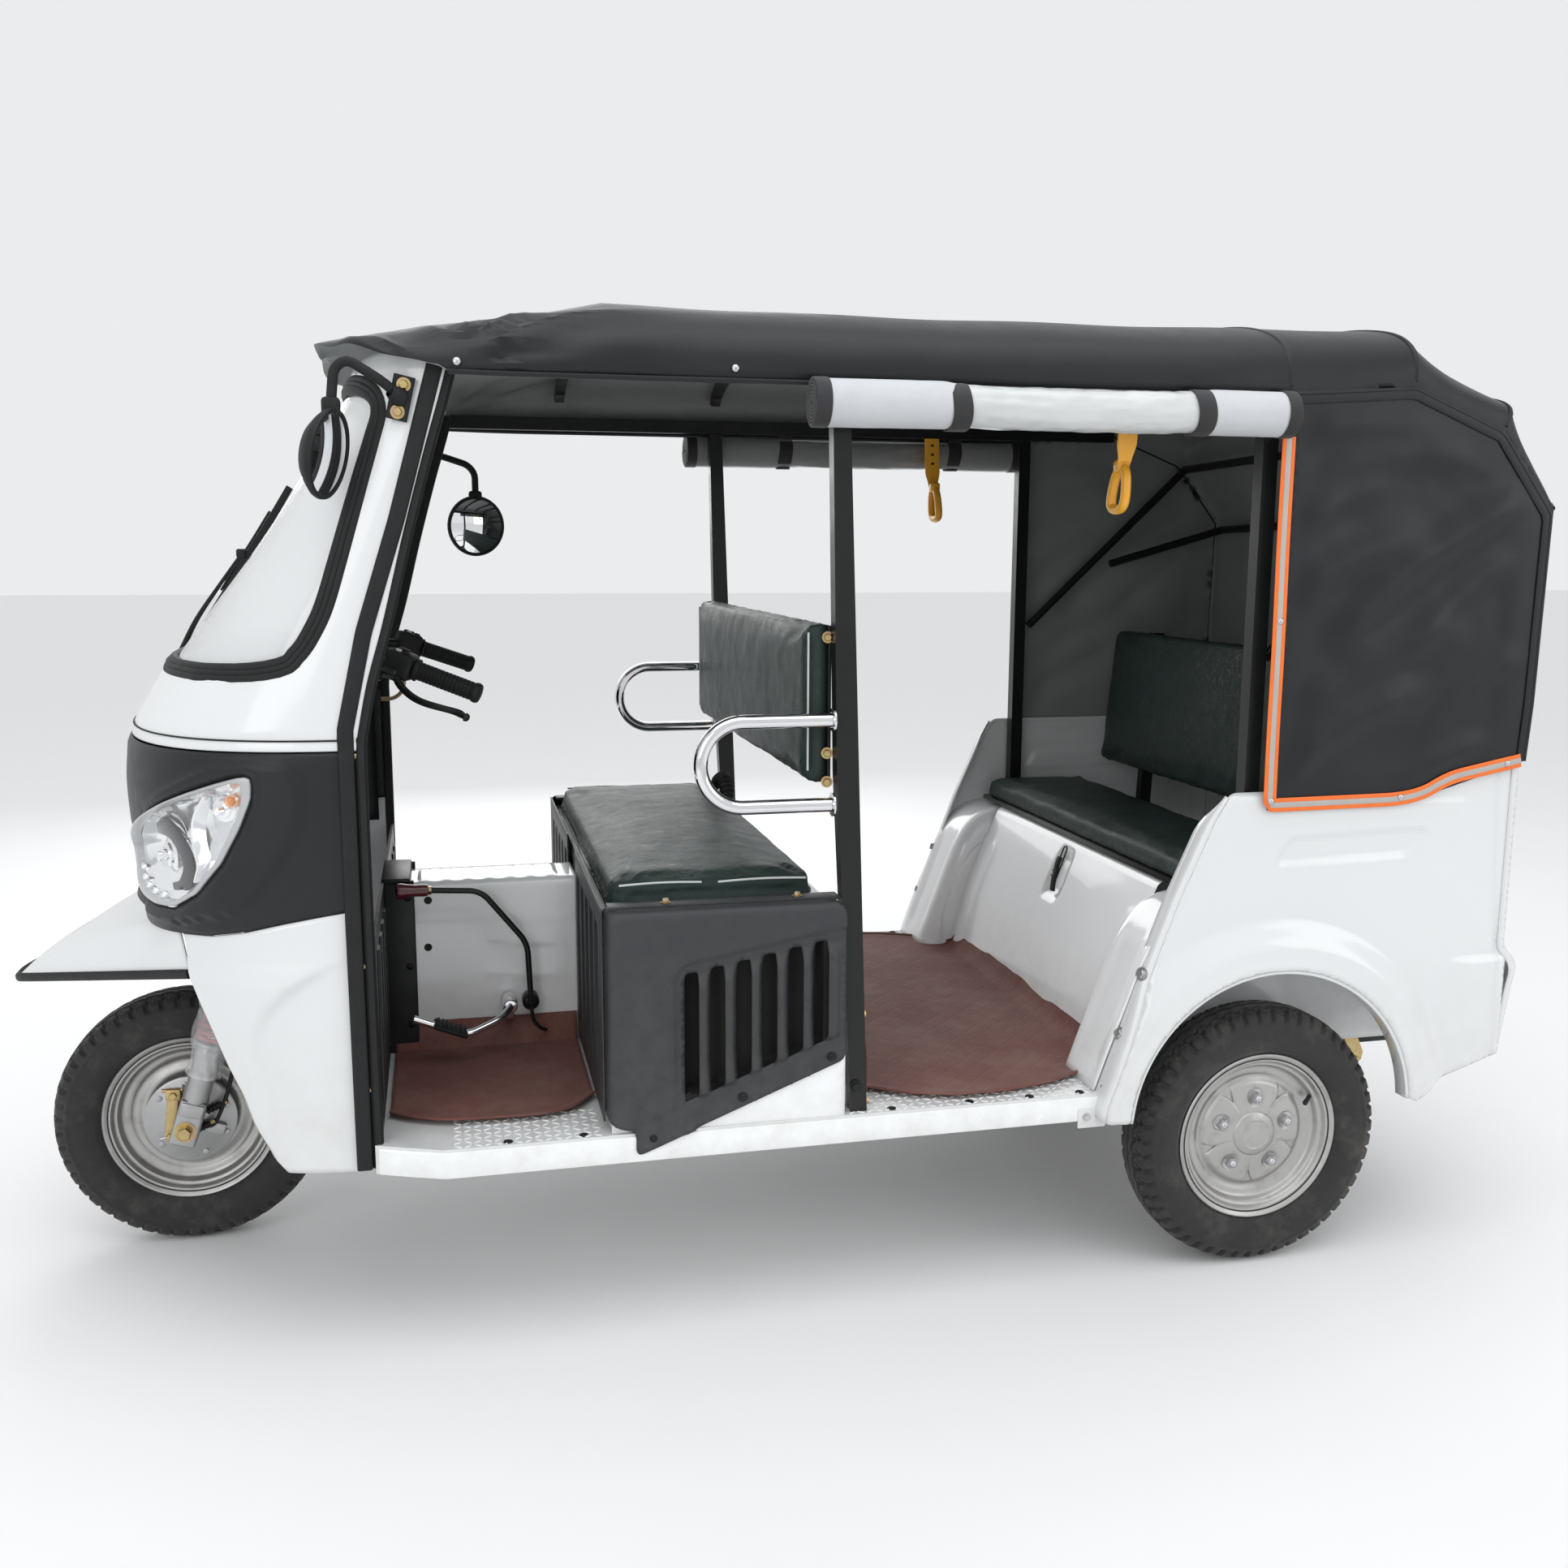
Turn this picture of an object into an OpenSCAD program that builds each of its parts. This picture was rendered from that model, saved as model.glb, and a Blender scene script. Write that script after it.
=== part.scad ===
// Three-wheeled passenger vehicle. Millimetres.
// Every size below is given from the rear axle line: X forward, Y left, Z up from the ground.
// place() then moves the whole object so that X = 0 is midway between nose and tail.

/* [View] */

/* [Overall] */
wheelbase = 2043;
x_nose = 2345;
x_tail = -550;
x_mid = (x_nose + x_tail) / 2;
seg = 48;

/* [Wheels] */
tyre_r = 258;
bead_r = 155;
wheel_y = 552;
stub_r = 20;
run_gap = 0.3;

/* [Steering] */
rake = 18;
trail_offset = 30;
leg_y = 90;
head_s0 = 372;
head_s1 = 505;
column_r = 22;
column_top = 925;

/* [Body] */
skin = 5;
floor_z = 380;
sill_z = 329;
sill_y = 602;
side_y = 612;
arch_r = 296;
arch_z = 308;
flare_y = 642;
deck_z = 560;

/* [Nose] */
nose_n = 2.65;
cowl_z = 1062;
cowl_top = 1700;
t_steps = 20;

/* [Roof] */
rail_z = 1662;
rail = 30;
rail_y = 575;
cloth = 5;
roll_r = 41;
roll_y = 637;
roll_z = 1626;

/* [Tow eye and plate] */
tow_r = 14;
plate_hole_r = 3.2;
plate_dy = 170;

$fn = seg;

// ---------- helpers ----------
module place() { translate([-x_mid, 0, 0]) children(); }
module both() { children(); mirror([0, 1, 0]) children(); }
function mix(a, b, t) = a + (b - a) * t;
function col(T, z, k) = lookup(z, [for (r = T) [r[0], r[k]]]);
function flat(L) = [for (r = L) each r];

// straight round bar from a to b
module rod(a, b, r) {
  v = b - a;
  translate(a) rotate([0, acos(v[2] / norm(v)), atan2(v[1], v[0])]) cylinder(r = r, h = norm(v));
}
// bent round bar through points
module pipe(pts, r) {
  for (i = [0 : len(pts) - 2]) rod(pts[i], pts[i + 1], r);
  if (len(pts) > 2) for (i = [1 : len(pts) - 2]) translate(pts[i]) sphere(r * 1.07);
}
module box(lo, hi) { translate(lo) cube(hi - lo); }
// outline in X,Z made solid between y0 and y1
module side_plate(pts, y0, y1) { translate([0, y1, 0]) rotate([90, 0, 0]) linear_extrude(y1 - y0) polygon(pts); }

// closed skin between two equal grids of points
module slab(A, B) {
  n = len(A); m = len(A[0]); N = n * m;
  ci = floor(n / 2) - (n > 2 ? 0 : 1); cj = floor(m / 2) - (m > 2 ? 0 : 1);
  i0 = min(ci, n - 2); j0 = min(cj, m - 2);
  s = cross(A[i0][j0 + 1] - A[i0][j0], A[i0 + 1][j0] - A[i0][j0]) * (A[i0][j0] - B[i0][j0]) > 0;
  quads = concat(
    [for (i = [0 : n - 2]) for (j = [0 : m - 2]) [i*m+j, i*m+j+1, (i+1)*m+j+1, (i+1)*m+j]],
    [for (i = [0 : n - 2]) for (j = [0 : m - 2]) [N+i*m+j, N+(i+1)*m+j, N+(i+1)*m+j+1, N+i*m+j+1]],
    [for (j = [0 : m - 2]) [j+1, j, N+j, N+j+1]],
    [for (j = [0 : m - 2]) [(n-1)*m+j, (n-1)*m+j+1, N+(n-1)*m+j+1, N+(n-1)*m+j]],
    [for (i = [0 : n - 2]) [i*m, (i+1)*m, N+(i+1)*m, N+i*m]],
    [for (i = [0 : n - 2]) [(i+1)*m+m-1, i*m+m-1, N+i*m+m-1, N+(i+1)*m+m-1]]);
  tris = flat([for (q = quads) [[q[0], q[1], q[2]], [q[0], q[2], q[3]]]]);
  polyhedron(concat(flat(A), flat(B)), s ? [for (f = tris) [f[2], f[1], f[0]]] : tris, convexity = 6);
}

// ---------- nose family: plan outline is a superellipse whose sizes change with height ----------
// columns: height, front X, rear edge X, half width
NOSE = [[300, 2010, 1664, 545], [500, 2040, 1664, 556], [640, 2062, 1664, 562], [750, 2080, 1664, 568],
  [885, 2092, 1664, 572], [975, 2096, 1664, 572], [1045, 2090, 1664, 572], [1060, 2084, 1664, 571],
  [1063, 2076, 1664, 566], [1079, 2074, 1663, 566], [1165, 2021, 1645, 565], [1265, 1948, 1616, 564],
  [1408, 1840, 1579, 562], [1536, 1755, 1543, 560], [1662, 1680, 1505, 558], [1720, 1650, 1490, 556]];
function nose(t, z, off = 0) = let (xf = col(NOSE, z, 1), xr = col(NOSE, z, 2), w = col(NOSE, z, 3), s = sin(t))
  [xr + (xf - xr + off) * pow(max(cos(t), 0), 2 / nose_n), sign(s) * (w + off) * pow(abs(s), 2 / nose_n), z];

// lower edge of the dark panel. columns: angle round the nose, height
PANEL_LOW = [[0, 726], [30, 736], [45, 744], [53, 749], [60, 752], [69, 762], [78, 778], [90, 797]];
function panel_low(t) = lookup(abs(t), PANEL_LOW);
// wheel opening edge of the apron. columns: height, angle round the nose
APRON_EDGE = [[330, 70], [350, 67], [375, 65.6], [410, 63.4], [467, 61], [522, 57], [584, 53.4], [632, 50.5], [677, 48.3], [745, 47]];
// lamp outline. columns: angle round the nose, lower height, upper height
LAMP = [[13, 812, 846], [20, 795, 882], [30, 788, 917], [39, 787, 944], [48, 793, 969], [57, 823, 991], [65, 878, 1009], [70, 935, 1019], [73, 985, 1021]];
// rear edge of the windscreen opening seen from the side. columns: X, height
SCREEN_EDGE = [[1785, 1189], [1745, 1222], [1718, 1264], [1701, 1302], [1682, 1360], [1661, 1427], [1640, 1494], [1618, 1562], [1607, 1600], [1612, 1628], [1634, 1648], [1670, 1666]];
// points of that opening, closed far ahead of the nose, grown or shrunk by g
function screen_pts(g) = concat([for (p = SCREEN_EDGE) [p[0] - g * 1.0, p[1] + (p[1] < 1240 ? -g : p[1] > 1615 ? g : 0)]], [[2200, 1666 + g], [2200, 1189 - g]]);

module nose_skin(z0, z1, n, off, th) {
  zs = [for (i = [0 : n]) mix(z0, z1, i / n)];
  ts = [for (j = [-t_steps : t_steps]) 90 * j / t_steps];
  slab([for (z = zs) [for (t = ts) nose(t, z, off)]], [for (z = zs) [for (t = ts) nose(t, z, off - th)]]);
}
module windshield_cowl() color("white") place() difference() {
  nose_skin(cowl_z + 1, cowl_top, 10, 0, skin);
  side_plate(screen_pts(0), -700, 700);
}
module windshield_glass() color("lightblue") place() intersection() {
  nose_skin(cowl_z + 60, cowl_top - 10, 9, -0.5, 4);
  side_plate(screen_pts(-2), -700, 700);
}
function lamp_grid(off, grow) = [for (r = LAMP) let (e = r[0] < 14 ? -grow / 9 : r[0] > 72 ? grow / 9 : 0)
  [for (k = [0 : 4]) nose(r[0] + e, mix(r[1] - grow, r[2] + grow, k / 4), off)]];
module headlights() color("silver") place() both() slab(lamp_grid(2, 0), lamp_grid(-38, 0));
module headlight_panel() color("dimgray") place() difference() {
  ts = [for (j = [-t_steps : t_steps]) 90 * j / t_steps];
  g = [0 : 6];
  slab([for (i = g) [for (t = ts) nose(t, mix(panel_low(t), cowl_z - 1.5, i / 6), 0)]],
       [for (i = g) [for (t = ts) nose(t, mix(panel_low(t), cowl_z - 1.5, i / 6), -skin)]]);
  both() slab(lamp_grid(40, 3), lamp_grid(-80, 3));
}
function apron_at(i, j, off) = let (z0 = mix(332, 746, i / 8), t = mix(lookup(z0, APRON_EDGE), 90, j / 10))
  nose(t, mix(332, panel_low(t) - 2, i / 8), off);
module front_apron() color("white") place() both() {
  g = [0 : 8]; h = [0 : 10];
  slab([for (i = g) [for (j = h) apron_at(i, j, -1)]], [for (i = g) [for (j = h) apron_at(i, j, -1 - skin)]]);
}
// snout ahead of the dark panel: from the panel's lower edge out to a rim
beak_y = 448; beak_z0 = 563; beak_rise = 112;
function rim_x(y) = x_nose - 385 * (sqrt(y * y + 1600) - 40) / (sqrt(beak_y * beak_y + 1600) - 40);
function beak_at(i, j, d) = let (t = 46 * j / 12, y = beak_y * sign(j) * pow(abs(j) / 12, 1.15), a = nose(t, panel_low(t) - 2, -8),
  b = [rim_x(abs(y)), y, beak_z0 + beak_rise * abs(y) / beak_y], s = i / 5)
  mix(a, b, s) + [0, 0, 16 * sin(180 * s) * (1 - abs(j) / 12)] - d * [0.15 + 0.4 * abs(j) / 12, 0.8 * j / 12, 1 - 0.8 * abs(j) / 12];
module front_beak() color("white") place() {
  g = [0 : 5]; h = [-12 : 12];
  slab([for (i = g) [for (j = h) beak_at(i, j, 0)]], [for (i = g) [for (j = h) beak_at(i, j, skin)]]);
}
module wiper() color("black") place() { pipe([[2062, 60, 1196], [2028, 130, 1260], [1960, 170, 1345]], 5); }

// ---------- chassis ----------
axis_dir = [-sin(rake), 0, cos(rake)];
foot = [wheelbase - trail_offset / cos(rake), 0, tyre_r];
function along(s) = foot + axis_dir * s;
module frame_rails() color("black") place() both() box([-500, 240, 312], [1620, 284, 372]);
// cross members: X of each one's rear face
CROSS = [-470, 420, 800, 1280, 1560];
module cross_members() color("black") place() difference() {
  union() {
    for (x = CROSS) box([x, -239.5, 320], [x + 50, 239.5, 370]);
    side_plate([[-512, 264], [-468, 264], [-468, 330], [-512, 330]], -9, 9);
  }
  translate([-490, -20, 286]) rotate([-90, 0, 0]) cylinder(r = tow_r, h = 40);
}
module steering_head() color("black") place() difference() {
  union() {
    box([1620.5, -284, 312], [1648, 284, 372]);
    both() rod([1638, 40, 342], along(430) + [-30, 22, 0], 20);
    rod(along(head_s0), along(head_s1), 34);
  }
  rod(along(head_s0 - 5), along(head_s1 + 5), column_r + run_gap);
}
plan_floor = [[283, -sill_y], [1548, -sill_y], [1662, -556], [1662, 556], [1548, sill_y], [283, sill_y]];
plan_inset = [[289, -sill_y + 6], [1546, -sill_y + 6], [1656, -551], [1656, 551], [1546, sill_y - 6], [289, sill_y - 6]];
module floor_pan() color("white") place() {
  translate([0, 0, floor_z - 6]) linear_extrude(6) difference() { polygon(plan_floor); translate([1612, -80]) square([100, 160]); }
  translate([0, 0, sill_z]) linear_extrude(floor_z - sill_z - 3) difference() { polygon(plan_floor); polygon(plan_inset); translate([0, -530]) square([2000, 1060]); }
}
module floor_mats() color("brown") place() {
  both() box([1290, 92, floor_z + 0.5], [1600, 560, floor_z + 5]);
  box([380, -560, floor_z + 0.5], [770, 560, floor_z + 5]);
  box([284, -422, floor_z + 0.5], [390, 422, floor_z + 5]);
}
module centre_tunnel() color("white") place() difference() {
  box([1273, -78, floor_z + 0.5], [1606, 78, 725]);
  box([1260, -73, floor_z - 5], [1620, 73, 720]);
}
module front_bulkhead() color("dimgray") place() difference() {
  union() {
    box([1650, -540, floor_z + 0.5], [1656, 540, 735]);
    box([1608, -86, floor_z + 0.5], [1652, 86, 735]);
  }
  box([1600, -80, floor_z - 5], [1670, 80, 729]);
}
module gear_lever() color("black") place() {
  pipe([[1370, 116, 475], [1375, 120, 602], [1464, 122, 715], [1560, 122, 721]], 6, $fn = 16);
  rod([1556, 122, 720], [1628, 122, 722], 13);
  rod([1370, 78.6, 475], [1370, 124, 475], 14);
}
module foot_lever() color("silver") place() {
  rod([1413, 78.6, 480], [1413, 150, 480], 11);
  pipe([[1413, 150, 480], [1500, 205, 446], [1596, 205, 484]], 9);
  box([1500, 185, 420], [1560, 235, 440]);
  box([1520, 198, 436], [1540, 212, 456]);
}

// ---------- engine and driver ----------
module engine() color("dimgray") place() box([905, -260, 400], [1225, 240, 700]);
module engine_box() color("white") place() difference() {
  box([851, -596, floor_z + 0.5], [1262, 596, 755]);
  box([856, -591, floor_z - 5], [1257, 591, 750]);
  both() box([880, 560, 440], [1230, 620, 740]);
}
// slots in the side cover. columns: front X, lower height, upper height
LOUVRE = [[1133, 430, 664], [1087, 446, 673], [1040, 465, 681], [994, 482, 690], [947, 499, 699], [901, 517, 707]];
slot_w = 22;
cover_top = 782;
module side_covers() color("dimgray") place() both() difference() {
  union() {
    side_plate([[843, 487], [1212, 342], [1221, 348], [1221, 384], [1271, 398], [1271, cover_top], [843, cover_top]], 603, 608);
    box([854, 545, cover_top - 5], [1271, 608, cover_top]);
    box([1266, 90, 400], [1271, 608, cover_top]);
  }
  for (l = LOUVRE) box([l[0] - slot_w, 590, l[1]], [l[0], 620, l[2]]);
}
module driver_seat() color("darkgreen") place() box([870, -530, 764], [1264, 530, 820]);
module driver_backrest() color("darkgreen") place() box([866, -558, 970], [908, 558, 1270]);
arm_r = 12.5;
module armrests() color("silver") place() both()
  pipe([[866, 580, 1096], [1030, 580, 1096], [1072, 580, 1078], [1093, 580, 1046], [1099, 580, 1021], [1093, 580, 996], [1072, 580, 964], [1030, 580, 947], [866, 580, 947]], arm_r);

// ---------- posts, rails, roof ----------
// leaning post between two X positions at the floor and at the rail
module cab_posts() color("black") place() both() {
  side_plate([[798, floor_z + 1], [828, floor_z + 1], [860.5, 1000], [874, rail_z - 1], [844, rail_z - 1]], rail_y - 15, rail_y + 15);
  box([41, rail_y - 15, 742], [71, rail_y + 15, rail_z - 1]);
}
module roof_rails() color("black") place() both() box([-190, rail_y - 15, rail_z], [1488, rail_y + 15, rail_z + rail]);
// roof bows: X of each
BOWS = [1235, 862, 460, 56];
function roof_arch(v, n, w, z0, h) = [sign(v) * w * pow(abs(sin(v)), 2 / n), z0 + h * pow(max(cos(v), 0), 2 / n)];
module arched_bows() for (x = BOWS) {
  a = [for (k = [-8 : 8]) roof_arch(k * 9.6, 2.8, 576, rail_z + rail + 1, 112)];
  b = [for (k = [-8 : 8]) roof_arch(k * 9.6, 2.8, 556, rail_z + rail + 1, 92)];
  translate([x - 11, 0, 0]) rotate([90, 0, 90]) linear_extrude(22) polygon(concat(a, [for (k = [16 : -1 : 0]) b[k]]));
}
// folding hoops of the rear hood. columns: lower X, lower height, upper X, upper height, half width
HOOPS = [[30, 1192, -398, 1596, 566], [-178, 1352, -492, 1440, 530]];
module hood_hoops() for (h = HOOPS)
  pipe([[h[0], -h[4], h[1]], [h[2], -h[4], h[3]], [h[2] - 4, 0, h[3] + 14], [h[2], h[4], h[3]], [h[0], h[4], h[1]]], 10);
module roof_bows() color("black") place() { arched_bows(); hood_hoops(); }
// cover stations. columns: edge X, centre X, edge height, centre height, half width, arch exponent
ROOF = [[1500, 1738, 1666, 1757, 600, 2.8], [1440, 1580, 1665, 1780, 602, 2.9], [1300, 1345, 1664, 1803, 604, 3], [1180, 1190, 1664, 1816, 606, 3],
  [880, 880, 1664, 1818, 608, 3], [460, 460, 1664, 1819, 612, 3], [40, 40, 1664, 1820, 618, 3.2]];
HOOD = [[39, 39, 1664, 1820, 618, 3.2], [-213, -216, 1680, 1817, 618, 3.6], [-404, -446, 1606, 1690, 618, 3.8], [-522, -534, 1458, 1492, 618, 4], [-516, -534, 1100, 1102, 618, 4], [-509, -526, 989, 989, 618, 4]];
function cover(r, k, d, dx) = let (a = 90 * k / 12, n = r[5], c = pow(max(cos(a), 0), 2 / n))
  [mix(r[0], r[1], c) + dx, sign(k) * (r[4] - d) * pow(abs(sin(a)), 2 / n), mix(r[2], r[3] - (dx == 0 ? d : d / 3), c)];
module canopy_roof() color("black") place()
  slab([for (r = ROOF) [for (k = [-12 : 12]) cover(r, k, 0, 0)]], [for (r = ROOF) [for (k = [-12 : 12]) cover(r, k, cloth, 0)]]);
HOOD_IN = [0, 1.5, 4, cloth, cloth, cloth];
module canopy_back() color("black") place()
  slab([for (r = HOOD) [for (k = [-12 : 12]) cover(r, k, 0, 0)]], [for (i = [0 : len(HOOD) - 1]) [for (k = [-12 : 12]) cover(HOOD[i], k, cloth, HOOD_IN[i])]]);
module canopy_sides() color("black") place() both()
  side_plate([[39, 912], [39, 1663], [-212, 1679], [-402, 1604.5], [-515, 1456], [-509, 1100], [-502, 992], [-241, 912]], 613.5, 618);
module curtain_rolls() color("white") place() both() rod([50, roll_y, roll_z], [921, roll_y, roll_z], roll_r);
module grab_handles() color("orange") place() both() {
  pipe([[312, 545, rail_z - 1], [312, 535, 1560], [312, 515, 1470]], 8);
  rod([312, 420, 1462], [312, 530, 1462], 12);
}
// mirror arms and round heads: left head hangs ahead of the pillar, right head hangs behind it
module mirrors() color("black") place() {
  pipe([[1572, 566, 1622], [1600, 586, 1645], [1652, 592, 1676], [1672, 592, 1662], [1676, 592, 1600]], 7);
  rod([1678, 592, 1530], [1704, 592, 1540], 70);
  mirror([0, 1, 0]) {
    pipe([[1540, 568, 1606], [1500, 590, 1596], [1450, 592, 1580], [1434, 592, 1560], [1434, 592, 1490]], 7);
    rod([1424, 592, 1434], [1450, 592, 1442], 70);
  }
}

// ---------- rear body ----------
rear_outline = [[108, 945], [136, 904], [206, 746], [240, 655], [346, 358], [346, 330], [-320, 318], [-356, 337], [-403, 360], [-512, 396], [-512, 985], [-480, 985], [-440, 945]];
module rear_side() difference() {
  union() {
    side_plate(rear_outline, side_y - skin, side_y);
    intersection() {
      translate([0, side_y - skin, arch_z]) rotate([-90, 0, 0]) cylinder(r1 = 352, r2 = 318, h = flare_y - side_y + skin, $fn = 72);
      box([-320, side_y - skin, 322], [346, flare_y, 700]);
    }
  }
  translate([0, 500, arch_z]) rotate([-90, 0, 0]) cylinder(r = arch_r, h = 200, $fn = 72);
  box([-293, 500, 250], [293, 700, 330]);
}
module rear_sides() color("white") place() both() rear_side();
module rear_panel() color("white") place() difference() {
  side_plate([[-513, 985], [-519, 985], [-519, 612], [x_tail, 582], [x_tail, 556], [-524, 396], [-516, 396], [-541, 556], [-541, 576], [-513, 605]], -side_y, side_y);
  for (s = [-1, 1]) translate([-530, s * plate_dy / 2, 700]) rotate([0, 90, 0]) cylinder(r = plate_hole_r, h = 40, $fn = 24);
}
module tail_lights() color("red") place() both() box([-540, 470, 640], [-520, 580, 780]);
module bench_base() color("white") place() {
  box([-511, -428, deck_z], [207, 428, deck_z + 5]);
  side_plate([[148, 733], [154, 733], [276, floor_z + 1], [270, floor_z + 1]], -428, 428);
}
// wheel box: wall beside the bench and a curved lid that meets the side of the body
LID = [[-511, 640], [130, 733], [215, 724], [285, 672], [330, 580], [372, floor_z + 1]];
module wheel_boxes() color("white") place() both() {
  side_plate([[-511, 400], [-511, 640], [130, 733], [215, 724], [270, 684], [270, 500], [282, floor_z + 1], [200, 400]], 429, 434);
  side_plate(concat(LID, [[366, floor_z + 1], [324, 577], [281, 667], [213, 719], [130, 728], [-511, 635]]), 434, side_y - skin - 1);
}
hinge_x = -146;
hinge_z = 742;
module bench_seat() color("darkgreen") place() {
  box([-138, -550, 742], [150, 550, 800]);
  both() { rod([hinge_x, 300, hinge_z], [hinge_x, 340, hinge_z], 6); box([hinge_x, 302, 742.5], [-130, 338, 747]); }
}
module bench_backrest() color("darkgreen") place() side_plate([[-162, 834], [-204, 834], [-232, 1190], [-196, 1190]], -540, 540);
module backrest_stand() color("black") place() both() {
  side_plate([[-206, deck_z + 6], [-236, deck_z + 6], [-262, 1180], [-234, 1180]], 380, 405);
  side_plate([[-225, 736], [hinge_x, 737], [hinge_x, 747], [-225, 748]], 384, 401);
  rod([hinge_x, 342, hinge_z], [hinge_x, 401, hinge_z], 6);
}
module rear_axle() color("black") place() {
  rod([0, -480, tyre_r], [0, 480, tyre_r], 34);
  translate([0, 0, tyre_r]) sphere(88);
  rod([0, -566, tyre_r], [0, 566, tyre_r], stub_r);
  rod([60, 0, tyre_r + 10], [780, 0, 300], 26);
}
SPRING = [[-300, 300], [-150, 232], [0, 205], [150, 232], [300, 300]];
module leaf_springs() color("gray") place() both() {
  for (i = [0 : 3]) hull() for (p = [SPRING[i], SPRING[i + 1]]) translate([p[0], 355, p[1]]) rotate([-90, 0, 0]) cylinder(r = 9, h = 50, $fn = 16);
}

// ---------- steering ----------
module steering_fork() color("silver") place() {
  rod(along(300), along(column_top), column_r);
  difference() {
    union() {
      rod(along(300), along(330), 46);
      translate(along(300)) rotate([0, -rake, 0]) translate([-28, -leg_y - 24, 0]) cube([82, 2 * leg_y + 48, 30]);
    }
  }
  both() rod([wheelbase, leg_y, tyre_r], [wheelbase, leg_y, tyre_r] + axis_dir * 322, 22);
  both() rod([wheelbase, leg_y - 22, tyre_r], [wheelbase, leg_y + 28, tyre_r], 24);
  rod([wheelbase, -leg_y, tyre_r], [wheelbase, leg_y, tyre_r], stub_r - 8);
}
BAR = [[0, 0], [10, 110], [-40, 225], [-150, 292], [-262, 332]];
bar_z = [1160, 1172, 1186, 1172, 1130];
module handlebar() color("black") place() {
  top = along(column_top);
  both() pipe([for (i = [0 : 4]) [top[0] + BAR[i][0], BAR[i][1], bar_z[i]]], 11);
  rod(along(column_top + 0.5), along(column_top + 40), 30);
  both() rod([top[0] - 156, 294, 1170], [top[0] - 264, 333, 1129], 17);
}

// ---------- wheels ----------
// tyre outline. columns: radius, half width
TYRE = [[bead_r, 36.5], [168, 36.5], [174, 42], [192, 50], [216, 52.5], [240, 48], [252, 38], [tyre_r, 18]];
module tyre(c) translate(c) rotate([90, 0, 0]) rotate_extrude($fn = 72) polygon(concat(TYRE, [for (i = [7 : -1 : 0]) [TYRE[i][0], -TYRE[i][1]]]));
// steel wheel: rim, disc and hub round a bore
module rim(c, bore, disc, hub0, hub1) translate(c) rotate([-90, 0, 0]) rotate_extrude($fn = 72) {
  polygon([[bead_r - 0.3, -37], [166, -37], [166, -41], [146, -41], [140, -22], [140, disc], [48, disc], [48, hub0], [bore, hub0], [bore, hub1], [48, hub1],
    [48, disc + 5], [140, disc + 5], [140, 22], [146, 41], [166, 41], [166, 37], [bead_r - 0.3, 37]]);
}
module front_tyre() color("black") place() tyre([wheelbase, 0, tyre_r]);
module front_rim() color("silver") place() rim([wheelbase, 0, tyre_r], stub_r - 8 + run_gap, -3, -50, 50);
module rear_left_tyre() color("black") place() tyre([0, wheel_y, tyre_r]);
module rear_left_rim() color("silver") place() rim([0, wheel_y, tyre_r], stub_r + run_gap, 8, -34, 20);
module rear_right_tyre() color("black") place() mirror([0, 1, 0]) tyre([0, wheel_y, tyre_r]);
module rear_right_rim() color("silver") place() mirror([0, 1, 0]) rim([0, wheel_y, tyre_r], stub_r + run_gap, 8, -34, 20);

frame_rails();
cross_members();
steering_head();
floor_pan();
floor_mats();
centre_tunnel();
front_bulkhead();
front_apron();
front_beak();
headlight_panel();
headlights();
windshield_cowl();
windshield_glass();
wiper();
mirrors();
engine();
engine_box();
side_covers();
driver_seat();
driver_backrest();
armrests();
gear_lever();
foot_lever();
cab_posts();
roof_rails();
roof_bows();
canopy_roof();
canopy_back();
canopy_sides();
curtain_rolls();
grab_handles();
rear_sides();
rear_panel();
tail_lights();
bench_base();
wheel_boxes();
bench_seat();
bench_backrest();
backrest_stand();
rear_axle();
leaf_springs();
steering_fork();
handlebar();
front_tyre();
front_rim();
rear_left_tyre();
rear_left_rim();
rear_right_tyre();
rear_right_rim();
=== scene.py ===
"""Looks of a three-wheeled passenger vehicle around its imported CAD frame.
Sizes are in millimetres from the rear axle line (X forward, Y left, Z up) and turn into metres in the row frame."""
import bpy
import bmesh
import math
import numpy as np
from mathutils import Vector, Matrix, kdtree, geometry as mgeo


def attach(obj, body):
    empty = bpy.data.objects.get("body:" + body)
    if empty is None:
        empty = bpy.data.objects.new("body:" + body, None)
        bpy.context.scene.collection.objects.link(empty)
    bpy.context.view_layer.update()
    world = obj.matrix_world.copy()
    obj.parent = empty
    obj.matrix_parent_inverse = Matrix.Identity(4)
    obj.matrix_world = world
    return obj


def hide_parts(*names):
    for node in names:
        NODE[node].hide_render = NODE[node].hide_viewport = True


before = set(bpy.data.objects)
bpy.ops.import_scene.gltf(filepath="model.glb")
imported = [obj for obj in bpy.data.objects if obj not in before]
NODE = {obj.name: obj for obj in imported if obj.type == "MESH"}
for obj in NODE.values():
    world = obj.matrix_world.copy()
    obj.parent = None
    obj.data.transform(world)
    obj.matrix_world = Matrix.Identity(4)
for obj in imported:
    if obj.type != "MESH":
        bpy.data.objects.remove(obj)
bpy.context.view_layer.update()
XM = 897.5
rng = np.random.default_rng(7)
COL = bpy.context.scene.collection


# ------------------------------------------------------------------ small maths
def A(*p):
    return np.array(p, float)


def unit(v):
    v = np.asarray(v, float)
    n = np.linalg.norm(v, axis=-1, keepdims=True)
    return v / np.maximum(n, 1e-12)


def smooth01(x):
    x = np.clip(x, 0, 1)
    return x * x * (3 - 2 * x)


def interp(x, T, k=1):
    T = np.asarray(T, float)
    return np.interp(x, T[:, 0], T[:, k])


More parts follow.
